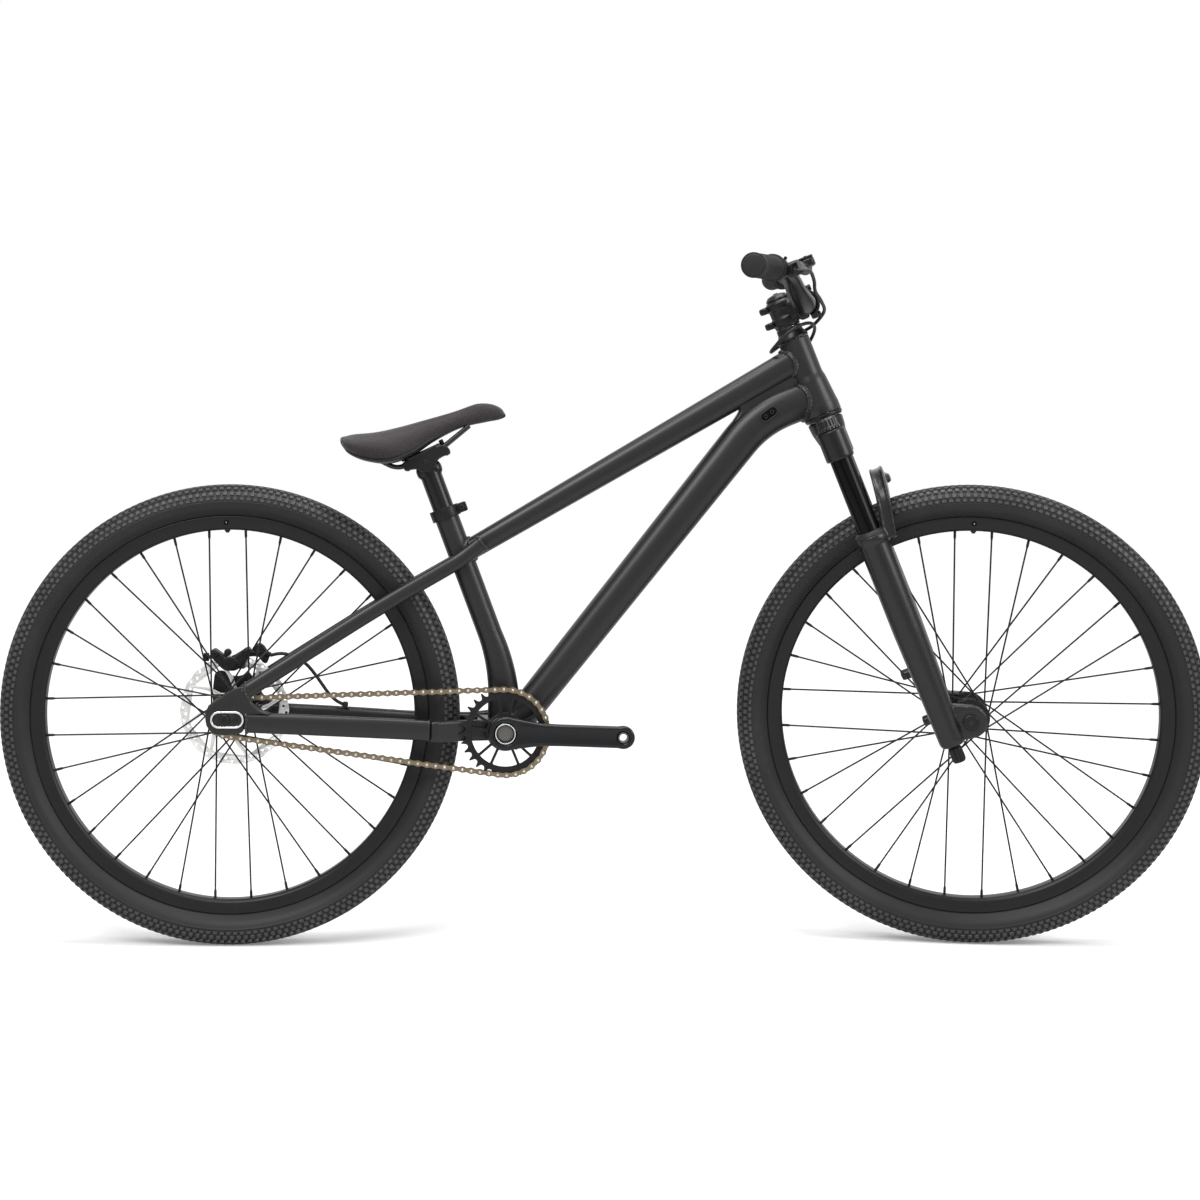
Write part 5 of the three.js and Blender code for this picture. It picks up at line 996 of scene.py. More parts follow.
def rearCogShape():
    flat = plate(sprocketOutline(drive["cogTeeth"], cogRadius, cogPhase + driveAngle), [circle(12, 32)],
                 drive["thick"], 0.4, -drive["line"])
    driver = turned([(6.4, -39), (17, -39), (17, -53), (15, -54.5), (11.5, -54.8), (11.5, -65), (6.4, -65)],
                    0.6, 40, ring=True)
    return moved(flat, layout["rearAxle"]), moved(driver, layout["rearAxle"])


chainPieces()
piece("chainring_plate", chainringPlate(), "blackSteel", "cranks", "chainring", sharp=30)
cogPlate, cogDriver = rearCogShape()
piece("cog_plate", cogPlate, "darkSteel", "rear_cog", "rear_cog", sharp=30)
piece("cog_driver", cogDriver, "silver", "rear_cog", "rear_cog")

cranks = {"length": 165.0, "root": 24.4, "tip": 16.4, "waist": 15.2, "waistAt": 74.0, "thick": 15.0,
          "inset": 54.0, "cant": 0.11, "turn": 1.2, "eye": 7.25, "capSeat": 14.5, "bevel": 4.2}


def crankOutline():
    c = cranks
    tipTurn, rootTurn = 112, (65, 295)
    root = np.radians(np.linspace(*rootTurn, 15))
    tip = np.radians(np.linspace(-tipTurn, tipTurn, 15))
    upper = vec((c["waistAt"] + 40, c["waist"]), (c["waistAt"], c["waist"]),
                (c["waistAt"] - 25, c["waist"] + 0.8))
    points = np.vstack([polar(c["root"], root), upper[::-1] * vec(1, -1),
                        polar(c["tip"], tip) + vec(c["length"], 0), upper])
    return rounded(points, 8, 4, closed=True)


def crankArm(side):
    c = cranks
    middle = -(c["inset"] + c["thick"] / 2)
    arm = plate(crankOutline(), [circle(c["capSeat"], 40), circle(c["eye"], 32, c["length"])], c["thick"],
                c["bevel"], middle, 4)
    # The arm leans away from the frame, and it is thickest at its root
    lean = -c["cant"] * arm[0][:, 0]
    thin = 1 - 0.12 * np.clip(arm[0][:, 0] / c["length"], 0, 1)
    arm[0][:, 1] = middle + (arm[0][:, 1] - middle) * thin + lean
    boss = turned(pipe(12.4, 19.5, -50.4, -62), 0.8, 48, ring=True)
    thread = turned(pipe(5.4, c["eye"] + 0.1, -c["thick"] / 2 - 0.4, c["thick"] / 2 - 0.5), 0.4, 32,
                    (c["length"], middle - c["cant"] * c["length"], 0), ring=True)
    body = gather(arm, boss)
    if side > 0:
        body, thread = spun(mirrored(body), 180), spun(mirrored(thread), 180)
    return [moved(spun(shape, c["turn"]), layout["bracket"]) for shape in (body, thread)]


def spindleEnd(side):
    cap = turned(pipe(12.9, 14.4, -67, -71.3), 0.4, 48, ring=True)
    bolt = turned([(0, -63), (5, -63), (5.4, -65.2), (11.6, -65.6), (11.8, -70.4), (12.8, -70.4),
                   (12.8, -50), (0, -50)], 0.4, 36)
    shapes = [cap, bolt]
    if side > 0:
        shapes = [mirrored(shape) for shape in shapes]
    return [moved(shape, layout["bracket"]) for shape in shapes]


for side, word in sides:
    body, thread = crankArm(side)
    piece("crank_arm_" + word, body, "forgedBlack", "cranks", "crank_" + word)
    piece("pedal_thread_" + word, thread, "darkSteel", "cranks", "crank_" + word)
    cap, bolt = spindleEnd(side)
    piece("spindle_cap_" + word, cap, "silver", "cranks", "crank_spindle")
    piece("spindle_bolt_" + word, bolt, "glossCoat", "cranks", "crank_spindle")
spindle = moved(rod((0, -66, 0), (0, 66, 0), 12, 40), layout["bracket"])
piece("spindle_shaft", spindle, "darkSteel", "cranks", "crank_spindle")

for side, word in sides:
    ring = turned([(12.6, side * 25), (19.7, side * 25), (19.7, side * 36.9), (21.5, side * 36.9),
                   (21.5, side * 40), (12.6, side * 40)], 0.5, 64, ring=True)
    piece("bracket_cup_" + word, moved(ring, layout["bracket"]), "anodisedBlack", "frame",
          "bottom_bracket_cup_" + word)

print("frame")
steerUp, steerForward = steerAxes[:, 2], steerAxes[:, 0]
seatUp = vec(-np.sin(np.radians(layout["seatTilt"])), 0, np.cos(np.radians(layout["seatTilt"])))
onSteering = lambda height, forward=0.0: layout["forkBase"] + steerUp * height + steerForward * forward
seatAxisAt = lambda along: layout["seatTop"] + seatUp * along

headTube = {"foot": 477.2, "top": 592.7,
            "profile": [(28, 0), (28, 13), (27.2, 18), (24.2, 52), (22.3, 60), (22.3, 115.5)]}
topTube = {"rear": (15.5, 15.2), "front": (19.0, 21.2), "seatDrop": 72.0, "headDrop": 28.0, "power": 2.6}
downTube = {"rear": (25.0, 22.4), "front": (23.0, 27.4), "rise": 29.0, "footDrop": 12.0, "flattening": 9.0,
            "endRun": 88.0, "bend": 120.0, "power": 2.5, "tallFrom": 0.9}
seatTube = {"radius": 17.45, "foot": 25.0, "bendHeight": 88.0, "bendBack": 3.2, "bend": 74.0, "waist": 17.5,
            "narrowing": 2.4}
shell = {"radius": 21.5, "half": 36.5}
weld = {"radius": 4.3, "stayRadius": 2.4, "yokeRadius": 1.2, "pitch": 4.6, "step": 0.8, "rowStep": 0.45,
        "ripple": (0.8, 0.28), "flat": 0.72, "lines": 160}
gusset = {"reach": 137.0, "thick": 26.0, "waistShare": 0.25}


def topTubeParts():
    start, end = seatAxisAt(-topTube["seatDrop"]), onSteering(headTube["top"] - topTube["headDrop"])
    path = start + (end - start) * np.linspace(0, 1, 40)[:, None]
    share = np.linspace(0, 1, 40)
    wide, tall = (blend(topTube["rear"][k], topTube["front"][k], share) for k in (0, 1))
    return path, wide, tall, topTube["power"]


# The down tube leaves the head tube a little flatter than the top tube does, then bends down to the bracket
def downTubeCorner():
    upper = topTubeParts()[0]
    back = unit(upper[0] - upper[-1])
    back = spun((back, []), downTube["flattening"])[0]
    return onSteering(headTube["foot"] + downTube["rise"]) + back * downTube["endRun"]


def downTubeParts():
    foot = layout["bracket"] - vec(0, 0, downTube["footDrop"])
    end = onSteering(headTube["foot"] + downTube["rise"])
    path = spaced(rounded([foot, downTubeCorner(), end], downTube["bend"], 16), 8)
    share = np.linspace(0, 1, len(path))
    wide = blend(downTube["rear"][0], downTube["front"][0], share)
    tall = blend(downTube["rear"][1], downTube["front"][1], np.minimum(1, share / downTube["tallFrom"]))
    return path, wide, tall, downTube["power"]


def seatTubeParts():
    bend = layout["bracket"] + vec(-seatTube["bendBack"], 0, seatTube["bendHeight"])
    path = spaced(rounded([layout["bracket"], bend, layout["seatTop"]], seatTube["bend"], 16), 6)
    share = np.linspace(0, 1, len(path))
    tall = blend(seatTube["foot"], seatTube["radius"], np.minimum(1, share * seatTube["narrowing"]))
    return path, np.full(len(path), seatTube["radius"]), tall, 2.0


# How far points stand off each surface: less than zero inside it
def offHead(points):
    local = (points - layout["forkBase"]) @ steerAxes
    profile = vec(*headTube["profile"])
    radius = np.interp(local[..., 2] - headTube["foot"], profile[:, 1], profile[:, 0])
    return np.hypot(local[..., 0], local[..., 1]) - radius


def offSeatTube(points):
    path = seatTubeParts()[0]
    radius = np.interp(np.arange(len(path)), [0, len(path) / 3, len(path)],
                       [seatTube["foot"], seatTube["waist"], seatTube["radius"]])
    apart = np.linalg.norm((points[..., None, :] - path), axis=-1)
    return (apart - radius).min(axis=-1)


def offShell(points):
    away = points - layout["bracket"]
    return np.maximum(np.hypot(away[..., 0], away[..., 2]) - shell["radius"],
                      np.abs(away[..., 1]) - shell["half"])


# A bead of weld where a tube meets another surface: each line along the tube is followed from its end
# until it leaves the surface, and the bead swells and narrows in even ripples along that ring
def weldBead(path, wide, tall, power, distance, fromEnd, reach=70.0, side=(0, 1, 0), radius=None):
    path = np.asarray(path, float)
    dense = spaced(path, weld["step"])
    walked = np.linspace(0, 1, len(dense))
    old = np.linspace(0, 1, len(path))
    wide = np.interp(walked, old, np.broadcast_to(wide, len(path)))
    tall = np.interp(walked, old, np.broadcast_to(tall, len(path)))
    count = int(reach / weld["step"])
    if fromEnd:
        dense, wide, tall = dense[::-1], wide[::-1], tall[::-1]
    dense, wide, tall = dense[:count], wide[:count], tall[:count]
    across, up = pathAxes(dense, side)
    angle = np.linspace(0, 2 * pi, weld["lines"], endpoint=False)
    out = wide[:, None] * squared(np.cos(angle)[None], power)
    high = tall[:, None] * squared(np.sin(angle)[None], power)
    radial = out[..., None] * across[:, None] + high[..., None] * up[:, None]
    grid = dense[:, None] + radial
    outside = distance(grid) > 0
    first = np.argmax(outside, axis=0)
    first = np.where(outside.any(axis=0), first, count - 1)
    ring = grid[first, np.arange(len(angle))]
    return bead(ring, unit(radial[first, np.arange(len(angle))]), radius or weld["radius"])


def bead(ring, outwards, radius, around=8):
    length = np.linalg.norm(np.roll(ring, -1, axis=0) - ring, axis=1).sum()
    count = int(length / weld["rowStep"])
    spots = np.arange(count) / count * len(ring)
    take = lambda values: np.stack([np.interp(spots, np.arange(len(ring) + 1),
                                              np.append(values[:, k], values[0, k])) for k in range(3)],
                                   axis=1)
    ring, outwards = take(ring), take(outwards)
    ring = (ring + np.roll(ring, 1, axis=0) + np.roll(ring, -1, axis=0)) / 3
    along = unit(np.roll(ring, -1, axis=0) - np.roll(ring, 1, axis=0))
    out = unit(outwards - np.einsum("ij,ij->i", outwards, along)[:, None] * along)
    side = np.cross(along, out)
    ripples = max(3, round(length / weld["pitch"]))
    phase = (np.arange(count) / count * ripples) % 1
    size = radius * (weld["ripple"][0] + weld["ripple"][1] * np.sqrt(1 - phase))
    angle = np.linspace(0, 2 * pi, around, endpoint=False)
    outPart = np.cos(angle)[None, :, None] * out[:, None] * weld["flat"]
    sidePart = np.sin(angle)[None, :, None] * side[:, None]
    rows = ring[:, None] + size[:, None, None] * (outPart + sidePart)
    return skin(rows, closeAlong=True)


def frameTubes():
    profile = [(radius, z + headTube["foot"]) for radius, z in headTube["profile"]]
    inside = [(17.2, headTube["top"]), (21.6, headTube["foot"])]
    head = onHead(turned(profile + inside, 1.5, 96, axis=upright, ring=True))
    piece("head_tube_shell", head, "framePaint", "frame", "head_tube")
    for name, parts in (("top_tube", topTubeParts()), ("down_tube", downTubeParts()),
                        ("seat_tube", seatTubeParts())):
        piece(name + "_shell", sweep(*parts, around=64), "framePaint", "frame", name)


def headGusset():
    top = onSteering(headTube["top"] - topTube["headDrop"])
    bottom = onSteering(headTube["foot"] + downTube["rise"])
    upper = top + unit(seatAxisAt(-topTube["seatDrop"]) - top) * gusset["reach"]
    lower = bottom + unit(downTubeCorner() - bottom) * gusset["reach"]
    waist = (upper + lower) / 2 - unit(upper - top) * gusset["reach"] * gusset["waistShare"]
    shape = np.array([top, upper, waist, lower, bottom])[:, [0, 2]]
    piece("head_gusset_web", plate(rounded(shape, 16, 6, closed=True), [], gusset["thick"], 5,
                                   bevelSteps=4), "framePaint", "frame", "head_gusset")


def frameWelds():
    top, down, seat = topTubeParts(), downTubeParts(), seatTubeParts()
    beads = [weldBead(*top, offHead, True), weldBead(*down, offHead, True, reach=90),
             weldBead(*top, offSeatTube, False), weldBead(*down, offShell, False),
             weldBead(*seat, offShell, False)]
    piece("frame_welds", gather(*beads), "weldPaint", "frame", "head_tube")


yoke = {"rear": -242.3, "arm": 11.0, "front": 57.0, "height": 30.0, "rise": 1.5,
        "shares": [(0, 0.43), (0.42, 0.58), (0.62, 0.69), (0.8, 0.87), (0.9, 1), (1, 1)]}


def bracketShell():
    y = yoke
    reach = layout["bracket"][0] - y["rear"]
    middle = layout["bracket"][2] + y["rise"]
    shapes = [moved(turned(pipe(20.2, shell["radius"], -shell["half"], shell["half"]), 0.8, 64, ring=True),
                    layout["bracket"]), moved(rod((0, -35, 0), (0, 35, 0), 21, 64), layout["bracket"])]
    shares = vec(*y["shares"])
    for side in (-1, 1):
        inner = np.column_stack([layout["bracket"][0] - reach * shares[:, 0],
                                 side * shares[:, 1] * (y["front"] - y["arm"] / 2)])
        outer = np.column_stack([inner[:, 0], inner[:, 1] + side * y["arm"]])[::-1]
        flat = plate(rounded(np.vstack([inner, outer]), 6, 4, closed=True) * vec(1, -1), [], y["height"],
                     3.5)
        shapes.append(moved(spun(flat, 90, "x"), (0, 0, middle)))
    shapes.append(softBlock(layout["bracket"] + vec(-40, -31, y["rise"] - 15),
                            layout["bracket"] + vec(-4, 31, y["rise"] + 15), 9))
    cast("bracket_shell_yoke", gather(*shapes), "framePaint", "frame", "bottom_bracket_shell", 1.3, 7)


stays = {"start": -502.3, "low": (8.0, 14.5), "high": (7.6, 11.0), "lowPower": 3.0, "highPower": 2.6,
         "lowRear": 326.0, "lowFront": 313.0,
         "lowPlaces": [(-440, 71, 323.5), (-350, 67, 319), (-280, 59.6, 315)],
         "places": [(-502.3, 72.0, 368.4), (-312.3, 46, 487.9), (-198.2, 25.5, 553), (-168.3, 25.5, 577)]}


def stayPaths(side):
    flip = vec(1, side, 1)
    places = vec((stays["start"] + 2, 72, stays["lowRear"]), *stays["lowPlaces"],
                 (yoke["rear"] - 2, 57, stays["lowFront"]))
    low = spaced(smooth(places * flip, 60), 6)
    high = spaced(rounded(vec(*stays["places"]) * flip, 60, 12), 5)
    return low, high


def stayPieces():
    for side, word in sides:
        low, high = stayPaths(side)
        lowTube = (low, *stays["low"], stays["lowPower"])
        highTube = (high, *stays["high"], stays["highPower"])
        piece("chainstay_tube_" + word, sweep(*lowTube, around=48), "framePaint", "frame",
              "chainstay_" + word)
        piece("seatstay_tube_" + word, sweep(*highTube, around=40), "framePaint", "frame",
              "seatstay_" + word)
        away = lambda plane: (lambda points: points[..., 0] - plane)
        yokeEdge = lambda points: yoke["rear"] - points[..., 0]
        beads = [weldBead(*lowTube, away(stays["start"] + 2.5), False, 20, radius=weld["stayRadius"]),
                 weldBead(*lowTube, yokeEdge, True, 20, radius=weld["yokeRadius"]),
                 weldBead(*highTube, away(stays["start"] + 0.5), False, 20, radius=weld["stayRadius"]),
                 weldBead(*highTube, offSeatTube, True, 60, radius=weld["stayRadius"])]
        piece("stay_welds_" + word, gather(*beads), "weldPaint", "frame", "seatstay_" + word)


dropouts = {"middle": 75.0, "thick": 8.0, "bevel": 1.6, "slot": (34.0, 15.0), "slotAt": 4.0,
            "outline": [(27.7, -19), (27.7, 47), (14.7, 44.5), (-11, 27.7), (-25.8, 16.8), (-27.6, -4.2),
                        (-18.4, -20.2), (0, -22.7)],
            "fillet": [(20, 44), (20, 4), (62, 4), (66, 9), (50, 13.5), (40, 21), (36, 30), (37, 44)],
            "filletMiddle": 72.6, "filletThick": 13.5, "ring": (47.0, 24.0), "ringHole": (41.6, 18.6),
            "floor": (43.0, 20.0), "screwAt": 17.0, "axle": 6.0, "axleHalf": 81.0, "spacer": 9.0}


def dropoutPieces():
    d, axle = dropouts, layout["rearAxle"]
    slot = lambda size, count: stadium(*size, d["slotAt"], count=count)
    for side, word in sides:
        flat = plate(rounded(d["outline"], 9, 5, closed=True), [slot(d["slot"], 16)], d["thick"],
                     d["bevel"], side * d["middle"])
        fillet = plate(rounded(d["fillet"], 5, 5, closed=True), [], d["filletThick"], 4,
                       side * d["filletMiddle"], 3)
        ring = plate(slot(d["ring"], 24), [slot(d["ringHole"], 24)], 3.4, 0.7, side * 81.0, 3)
        floor = plate(slot(d["floor"], 20), [circle(6.3, 24)], 1.2, 0.2, side * 80.3)
        screw = turned([(0, side * 80), (4.4, side * 80), (4.4, side * 82.4), (2.4, side * 82.6),
                        (2.2, side * 81.4), (0, side * 81.4)], 0.3, 24, (d["screwAt"], 0, 0))
        spacer = turned(drum(d["spacer"], side * 65.3, side * 70.7), 0.5, 32)
        head = turned([(0, side * 81), (7.5, side * 81), (7.5, side * 84.4), (6.6, side * 85.2),
                       (3.2, side * 85.2), (3.0, side * 83), (0, side * 83)], 0.4, 36)
        for name, shape, finish, node in (
                ("dropout_plate_", flat, "framePaint", "dropout_" + word),
                ("stay_fillet_", fillet, "framePaint", "dropout_" + word),
                ("axle_guide_ring_", ring, "chrome", "axle_guide_" + word),
                ("axle_guide_floor_", floor, "castBlack", "axle_guide_" + word),
                ("axle_guide_screw_", screw, "boltBlack", "axle_guide_" + word),
                ("axle_head_", gather(spacer, head), "boltBlack", "rear_axle")):
            piece(name + word, moved(shape, axle), finish, "frame", node)
    shaft = rod((0, -d["axleHalf"], 0), (0, d["axleHalf"], 0), d["axle"], 24)
    piece("axle_shaft", moved(shaft, axle), "silver", "frame", "rear_axle")


band = {"bore": 17.8, "radius": 21.3, "height": 16.0, "earFrom": 17.0, "earTo": 33.0, "earHalf": 9.0,
        "bolt": (25.5, -8.0), "head": {"radius": 3.9, "chamfer": 0.7, "socket": 1.7, "depth": 2.2,
                                       "around": 24}}


def seatClamp():
    b, (x, z) = band, band["bolt"]
    ring = turned(pipe(b["bore"], b["radius"], -b["height"], 0), 0.7, 64, axis=upright, ring=True)
    ears = [softBlock((b["earFrom"], low, 1 - b["height"]), (b["earTo"], high, -1), 7)
            for low, high in ((-b["earHalf"], -1), (1, b["earHalf"]))]
    bolt = rod((x, -11.5, z), (x, 11.5, z), 2.6, 20)
    head = boltHead(b["head"], -b["earHalf"], -13.2, (x, 0, z))
    piece("seat_clamp_band", onSeat(gather(ring, *ears)), "anodisedBlack", "frame", "seat_clamp")
    piece("seat_clamp_bolt", onSeat(gather(bolt, head)), "boltBlack", "frame", "seat_clamp")


def lowerCup():
    profile = [(20.2, 470.3), (26, 470.3), (28, 473.6), (28, 476.9), (20.2, 476.9)]
    piece("headset_lower_ring", onHead(turned(profile, 0.8, 72, axis=upright, ring=True)), "anodisedBlack",
          "frame", "headset_lower_cup")


port = {"place": vec(241.5, -23.3, 761), "length": 28.0, "height": 14.6, "rim": 1.7, "tilt": -37,
        "holes": (-5.4, 5.4)}


# A plug in the side of the down tube: a raised rim round a floor with two short guides for hoses. The floor
# and the discs that fill the guides are the darkest gloss black, as painted shade in the recess and in the
# hose holes
def cablePort():
    inner = stadium(port["length"] - 2 * port["rim"], port["height"] - 2 * port["rim"])
    rim = plate(stadium(port["length"], port["height"]), [inner], 3.0, 0.7, -0.3, 3)
    floor = plate(stadium(port["length"] - 1, port["height"] - 1), [], 1.4, 0.2, 0.7)
    guides = [moved(turned([(1.7, -1.7), (3.1, -1.7), (3.3, 0.4), (1.7, 0.4)], 0.3, 28, ring=True),
                    (x, 0, 0)) for x in port["holes"]]
    # Discs of the darkest gloss black fill the hose guides as painted shade in the holes
    holeShadeDiscs = [rod((x, -0.6, 0), (x, 0.6, 0), 1.7, 16, edge=0.2) for x in port["holes"]]
    for name, shape, finish in (("cable_port_rim", rim, "blackPlastic"),
                                ("cable_port_floor_painted_shade", floor, "glossCoat"),
                                ("cable_port_guides", gather(*guides), "castBlack"),
                                ("cable_port_hole_shades", gather(*holeShadeDiscs), "glossCoat")):
        piece(name, moved(spun(shape, port["tilt"]), port["place"]), finish, "frame", "down_tube")


frameTubes()
headGusset()
frameWelds()
bracketShell()
stayPieces()
dropoutPieces()
seatClamp()
lowerCup()
cablePort()

print("rear brake")
caliper = {"middle": vec(-524, 55, 408),
           "outline": [(-40.3, 10.2), (-35.1, 13.5), (-27.7, 8.3), (-13.6, -2.3), (-8.1, 0.5), (11.4, 15.1),
                       (16.8, 14.1), (18.2, 8.3), (15.3, -0.5), (1.6, -16.1), (-4.2, -19.6), (-18.9, -19.6),
                       (-24.1, -16.1), (-37.4, -2.5)],
           "ear": [(20, 10), (23, 18), (31, 21.4), (38.7, 15), (45, 1), (40.6, -10.8), (33.2, -7.3),
                   (30, 0.5), (20, 0.5)], "piston": (-12.0, -9.0), "bolts": [(-33, 5), (10, 7)],
           "pin": (-16.0, 7.0), "head": {"radius": 4.2, "chamfer": 0.8, "socket": 1.9, "depth": 2.0}}
bracket = {"outline": [(-30, -1.7), (-34, 19.7), (-30, 55), (-18, 58), (-8, 50), (5.8, 48), (22, 56),
                       (26, 40), (9.9, 19.7), (-5.8, -4)], "middle": 66.2, "thick": 9.0, "bore": 12.6,
           "bolts": [(-25, 48), (20, 47)],
           "head": {"radius": 4.4, "chamfer": 0.8, "socket": 2.0, "depth": 2.0}}


def rearBrake():
    place = caliper["middle"]
    outline = rounded(caliper["outline"], 4, 4, closed=True)
    halves = [plate(outline, [], 11.2, 2.4, side * 7.0, 3) for side in (-1, 1)]
    ear = plate(rounded(caliper["ear"], 4, 4, closed=True), [], 12, 2.4, 4, 3)
    bridge = plate(rounded([(-12, -6), (14, 8), (8, 12), (-14, -1)], 3, 4, closed=True), [], 16, 1.5)
    (pistonX, pistonZ), (pinX, pinZ) = caliper["piston"], caliper["pin"]
    pistons = [rod((pistonX, low, pistonZ), (pistonX, low + 2.7, pistonZ), 10.5, 48, edge=1.4)
               for low in (11.5, -14.2)]
    shapes = [*halves, ear, bridge, *pistons, rod((8, 3, 5), (38, 3, 7), 5.4, 32, edge=1),
              rod((pinX, -6, pinZ), (pinX, 6, pinZ), 5.4, 32, edge=1)]
    cast("caliper_body", moved(gather(*shapes), place), "satinBlack", "frame", "brake_caliper", 0.9, 4)
    heads = [boltHead(caliper["head"], 12.5, 16, (x, 0, z)) for x, z in caliper["bolts"]]
    heads += [mirrored(head) for head in heads]
    mount = gather(rod((-48, 0, 0), (-34, 0, 0), 2.9, 18), rod((-47.5, 0, -6), (-47.5, 0, 6), 4.2, 24))
    pin = rod((pinX, -7.5, pinZ), (pinX, 7.5, pinZ), 2.2, 16)
    piece("caliper_bolts", moved(gather(*heads, mount, pin), place), "boltBlack", "frame", "brake_caliper")
    union = rod((38, -2.5, 6.5), (46.5, -2.8, 3), 4.2, 24)
    piece("caliper_hose_nut", moved(union, place), "blackSteel", "frame", "brake_caliper")
    for word, y in (("inner", -3.7), ("outer", 3.7)):
        pad = softBlock((-10, y - 2, -17), (10, y + 2, 3), 9, 16)
        piece("pad_" + word + "_block", moved(pad, place), "darkSteel", "brake_pad_" + word,
              "brake_pad_" + word)
    flat = plate(rounded(bracket["outline"], 7, 5, closed=True), [circle(bracket["bore"], 40)],
                 bracket["thick"], 1.6, bracket["middle"])
    piece("bracket_plate", moved(flat, layout["rearAxle"]), "satinBlack", "frame", "caliper_bracket")
    heads = [boltHead(bracket["head"], 70, 74, (x, 0, z)) for x, z in bracket["bolts"]]
    piece("bracket_bolts", moved(gather(*heads), layout["rearAxle"]), "boltBlack", "frame",
          "caliper_bracket")


rearBrake()

print("seat")
saddle = {"length": 234.0, "width": 135.0, "height": 60.0, "base": 7.0, "rows": 110, "around": 96,
          "shares": [(-0.425, 1.29, 1.22, 0.5), (-0.4, 1.41, 0.93, 0.8), (-0.32, 1.29, 0.6, 0.95),
                     (-0.2, 1.12, 0.34, 1), (-0.055, 0.995, 0.29, 0.78), (0.1, 0.895, 0.38, 0.5),
                     (0.28, 0.785, 0.4, 0.33), (0.44, 0.725, 0.27, 0.28), (0.51, 0.625, 0.2, 0.25),
                     (0.555, 0.47, 0.19, 0.19), (0.572, 0.34, 0.26, 0.09)],
          "cradle": [(-31, 14), (-35, 7), (-29, 1), (-16, -3), (-11, -12), (11, -12), (16, -3), (27, -2),
                     (37, -4), (39, 5), (31, 14)], "barrels": [(-28, 4), (32, 1)],
          "railShares": [(0.333, 0.5, 0.212), (0.18, 0.864, 0.058), (0.12, 1, 0), (-0.158, 1, 0),
                         (-0.2, 1, 0.1), (-0.268, 1.1, 0.44)], "railHalf": 22.0, "railRise": 9.0,
          "rail": 3.5, "endShare": 0.05, "voxel": 4.0, "pressure": 4.0, "cap": 2.5, "clothFrames": 20,
          "crownPower": 0.75, "shoulder": 0.42, "dome": 0.58, "domePower": 0.85, "draw": 0.07,
          "floorTurn": 1.6, "middleShare": 0.45, "floorGap": 1.2, "leastTall": 6.0}
seatpost = {"radius": 15.45, "insertion": 110.0, "height": 70.0, "head": 12.5, "headHalf": 17.0}


# Along the saddle: top, underside and half width from the shares, read off a smooth curve
def saddleRows(count):
    along, top, under, half = smooth(saddle["shares"], count).T
    length, height = saddle["length"], saddle["height"]
    return along * length, top * height, under * height, np.maximum(half, 0.05) * saddle["width"] / 2


# Round each row: the crown is domed, out = half*|cos|^crownPower, and the sides draw in to a flat floor
def cushionSurface():
    s = saddle
    x, top, under, half = saddleRows(s["rows"])
    floor = np.minimum(under + s["floorGap"], top - s["leastTall"])
    rise = top - floor
    angle = np.arange(s["around"]) / s["around"] * 2 * pi
    c, up = np.cos(angle)[None], np.sin(angle)[None]
    drawn = np.where(up < 0, 1 - s["draw"] + s["draw"] * (1 + up), 1)
    out = half[:, None] * np.sign(c) * np.abs(c) ** s["crownPower"] * drawn
    dome = s["shoulder"] + s["dome"] * np.abs(up) ** s["domePower"]
    flank = s["shoulder"] * (1 + np.maximum(-1, s["floorTurn"] * up))
    high = np.where(up > 0, rise[:, None] * dome, rise[:, None] * flank)
    along = np.linspace(0, 1, len(x))
    near = np.clip(np.minimum(along, 1 - along) / s["endShare"], 0, 1)[:, None]
    swell = np.sqrt(1 - (1 - near) ** 2)
    high = blend(rise[:, None] * s["middleShare"], high, swell)
    return np.stack([np.broadcast_to(x[:, None], out.shape), out * swell, floor[:, None] + high], axis=-1)


# Padding: the cover is rebuilt of small cubes and blown up as cloth, and no point moves further than
# the cap or down into the base
def padOut(obj, voxel, pressure, cap, up):
    blocks = obj.modifiers.new("blocks", "REMESH")
    blocks.mode = "VOXEL"
    blocks.voxel_size = voxel * mm
    applied(obj)
    rest = spotsOf(obj.data)
    cloth = obj.modifiers.new("padding", "CLOTH").settings
    cloth.use_pressure = True
    cloth.uniform_pressure_force = pressure
    cloth.effector_weights.gravity = 0
    for frameNumber in range(1, saddle["clothFrames"] + 1):
        bpy.context.scene.frame_set(frameNumber)
    move = spotsOf(obj.evaluated_get(bpy.context.evaluated_depsgraph_get()).data) - rest
    obj.modifiers.clear()
    bpy.context.scene.frame_set(1)
    move -= np.minimum(move @ up, 0)[:, None] * up
    length = np.linalg.norm(move, axis=1, keepdims=True)
    move *= np.minimum(1, cap * mm / np.maximum(length, 1e-9))
    obj.data.vertices.foreach_set("co", (rest + move).ravel())
    obj.data.update()
    smoother = obj.modifiers.new("smoother", "SUBSURF")
    smoother.levels = smoother.render_levels = 1
    applied(obj)


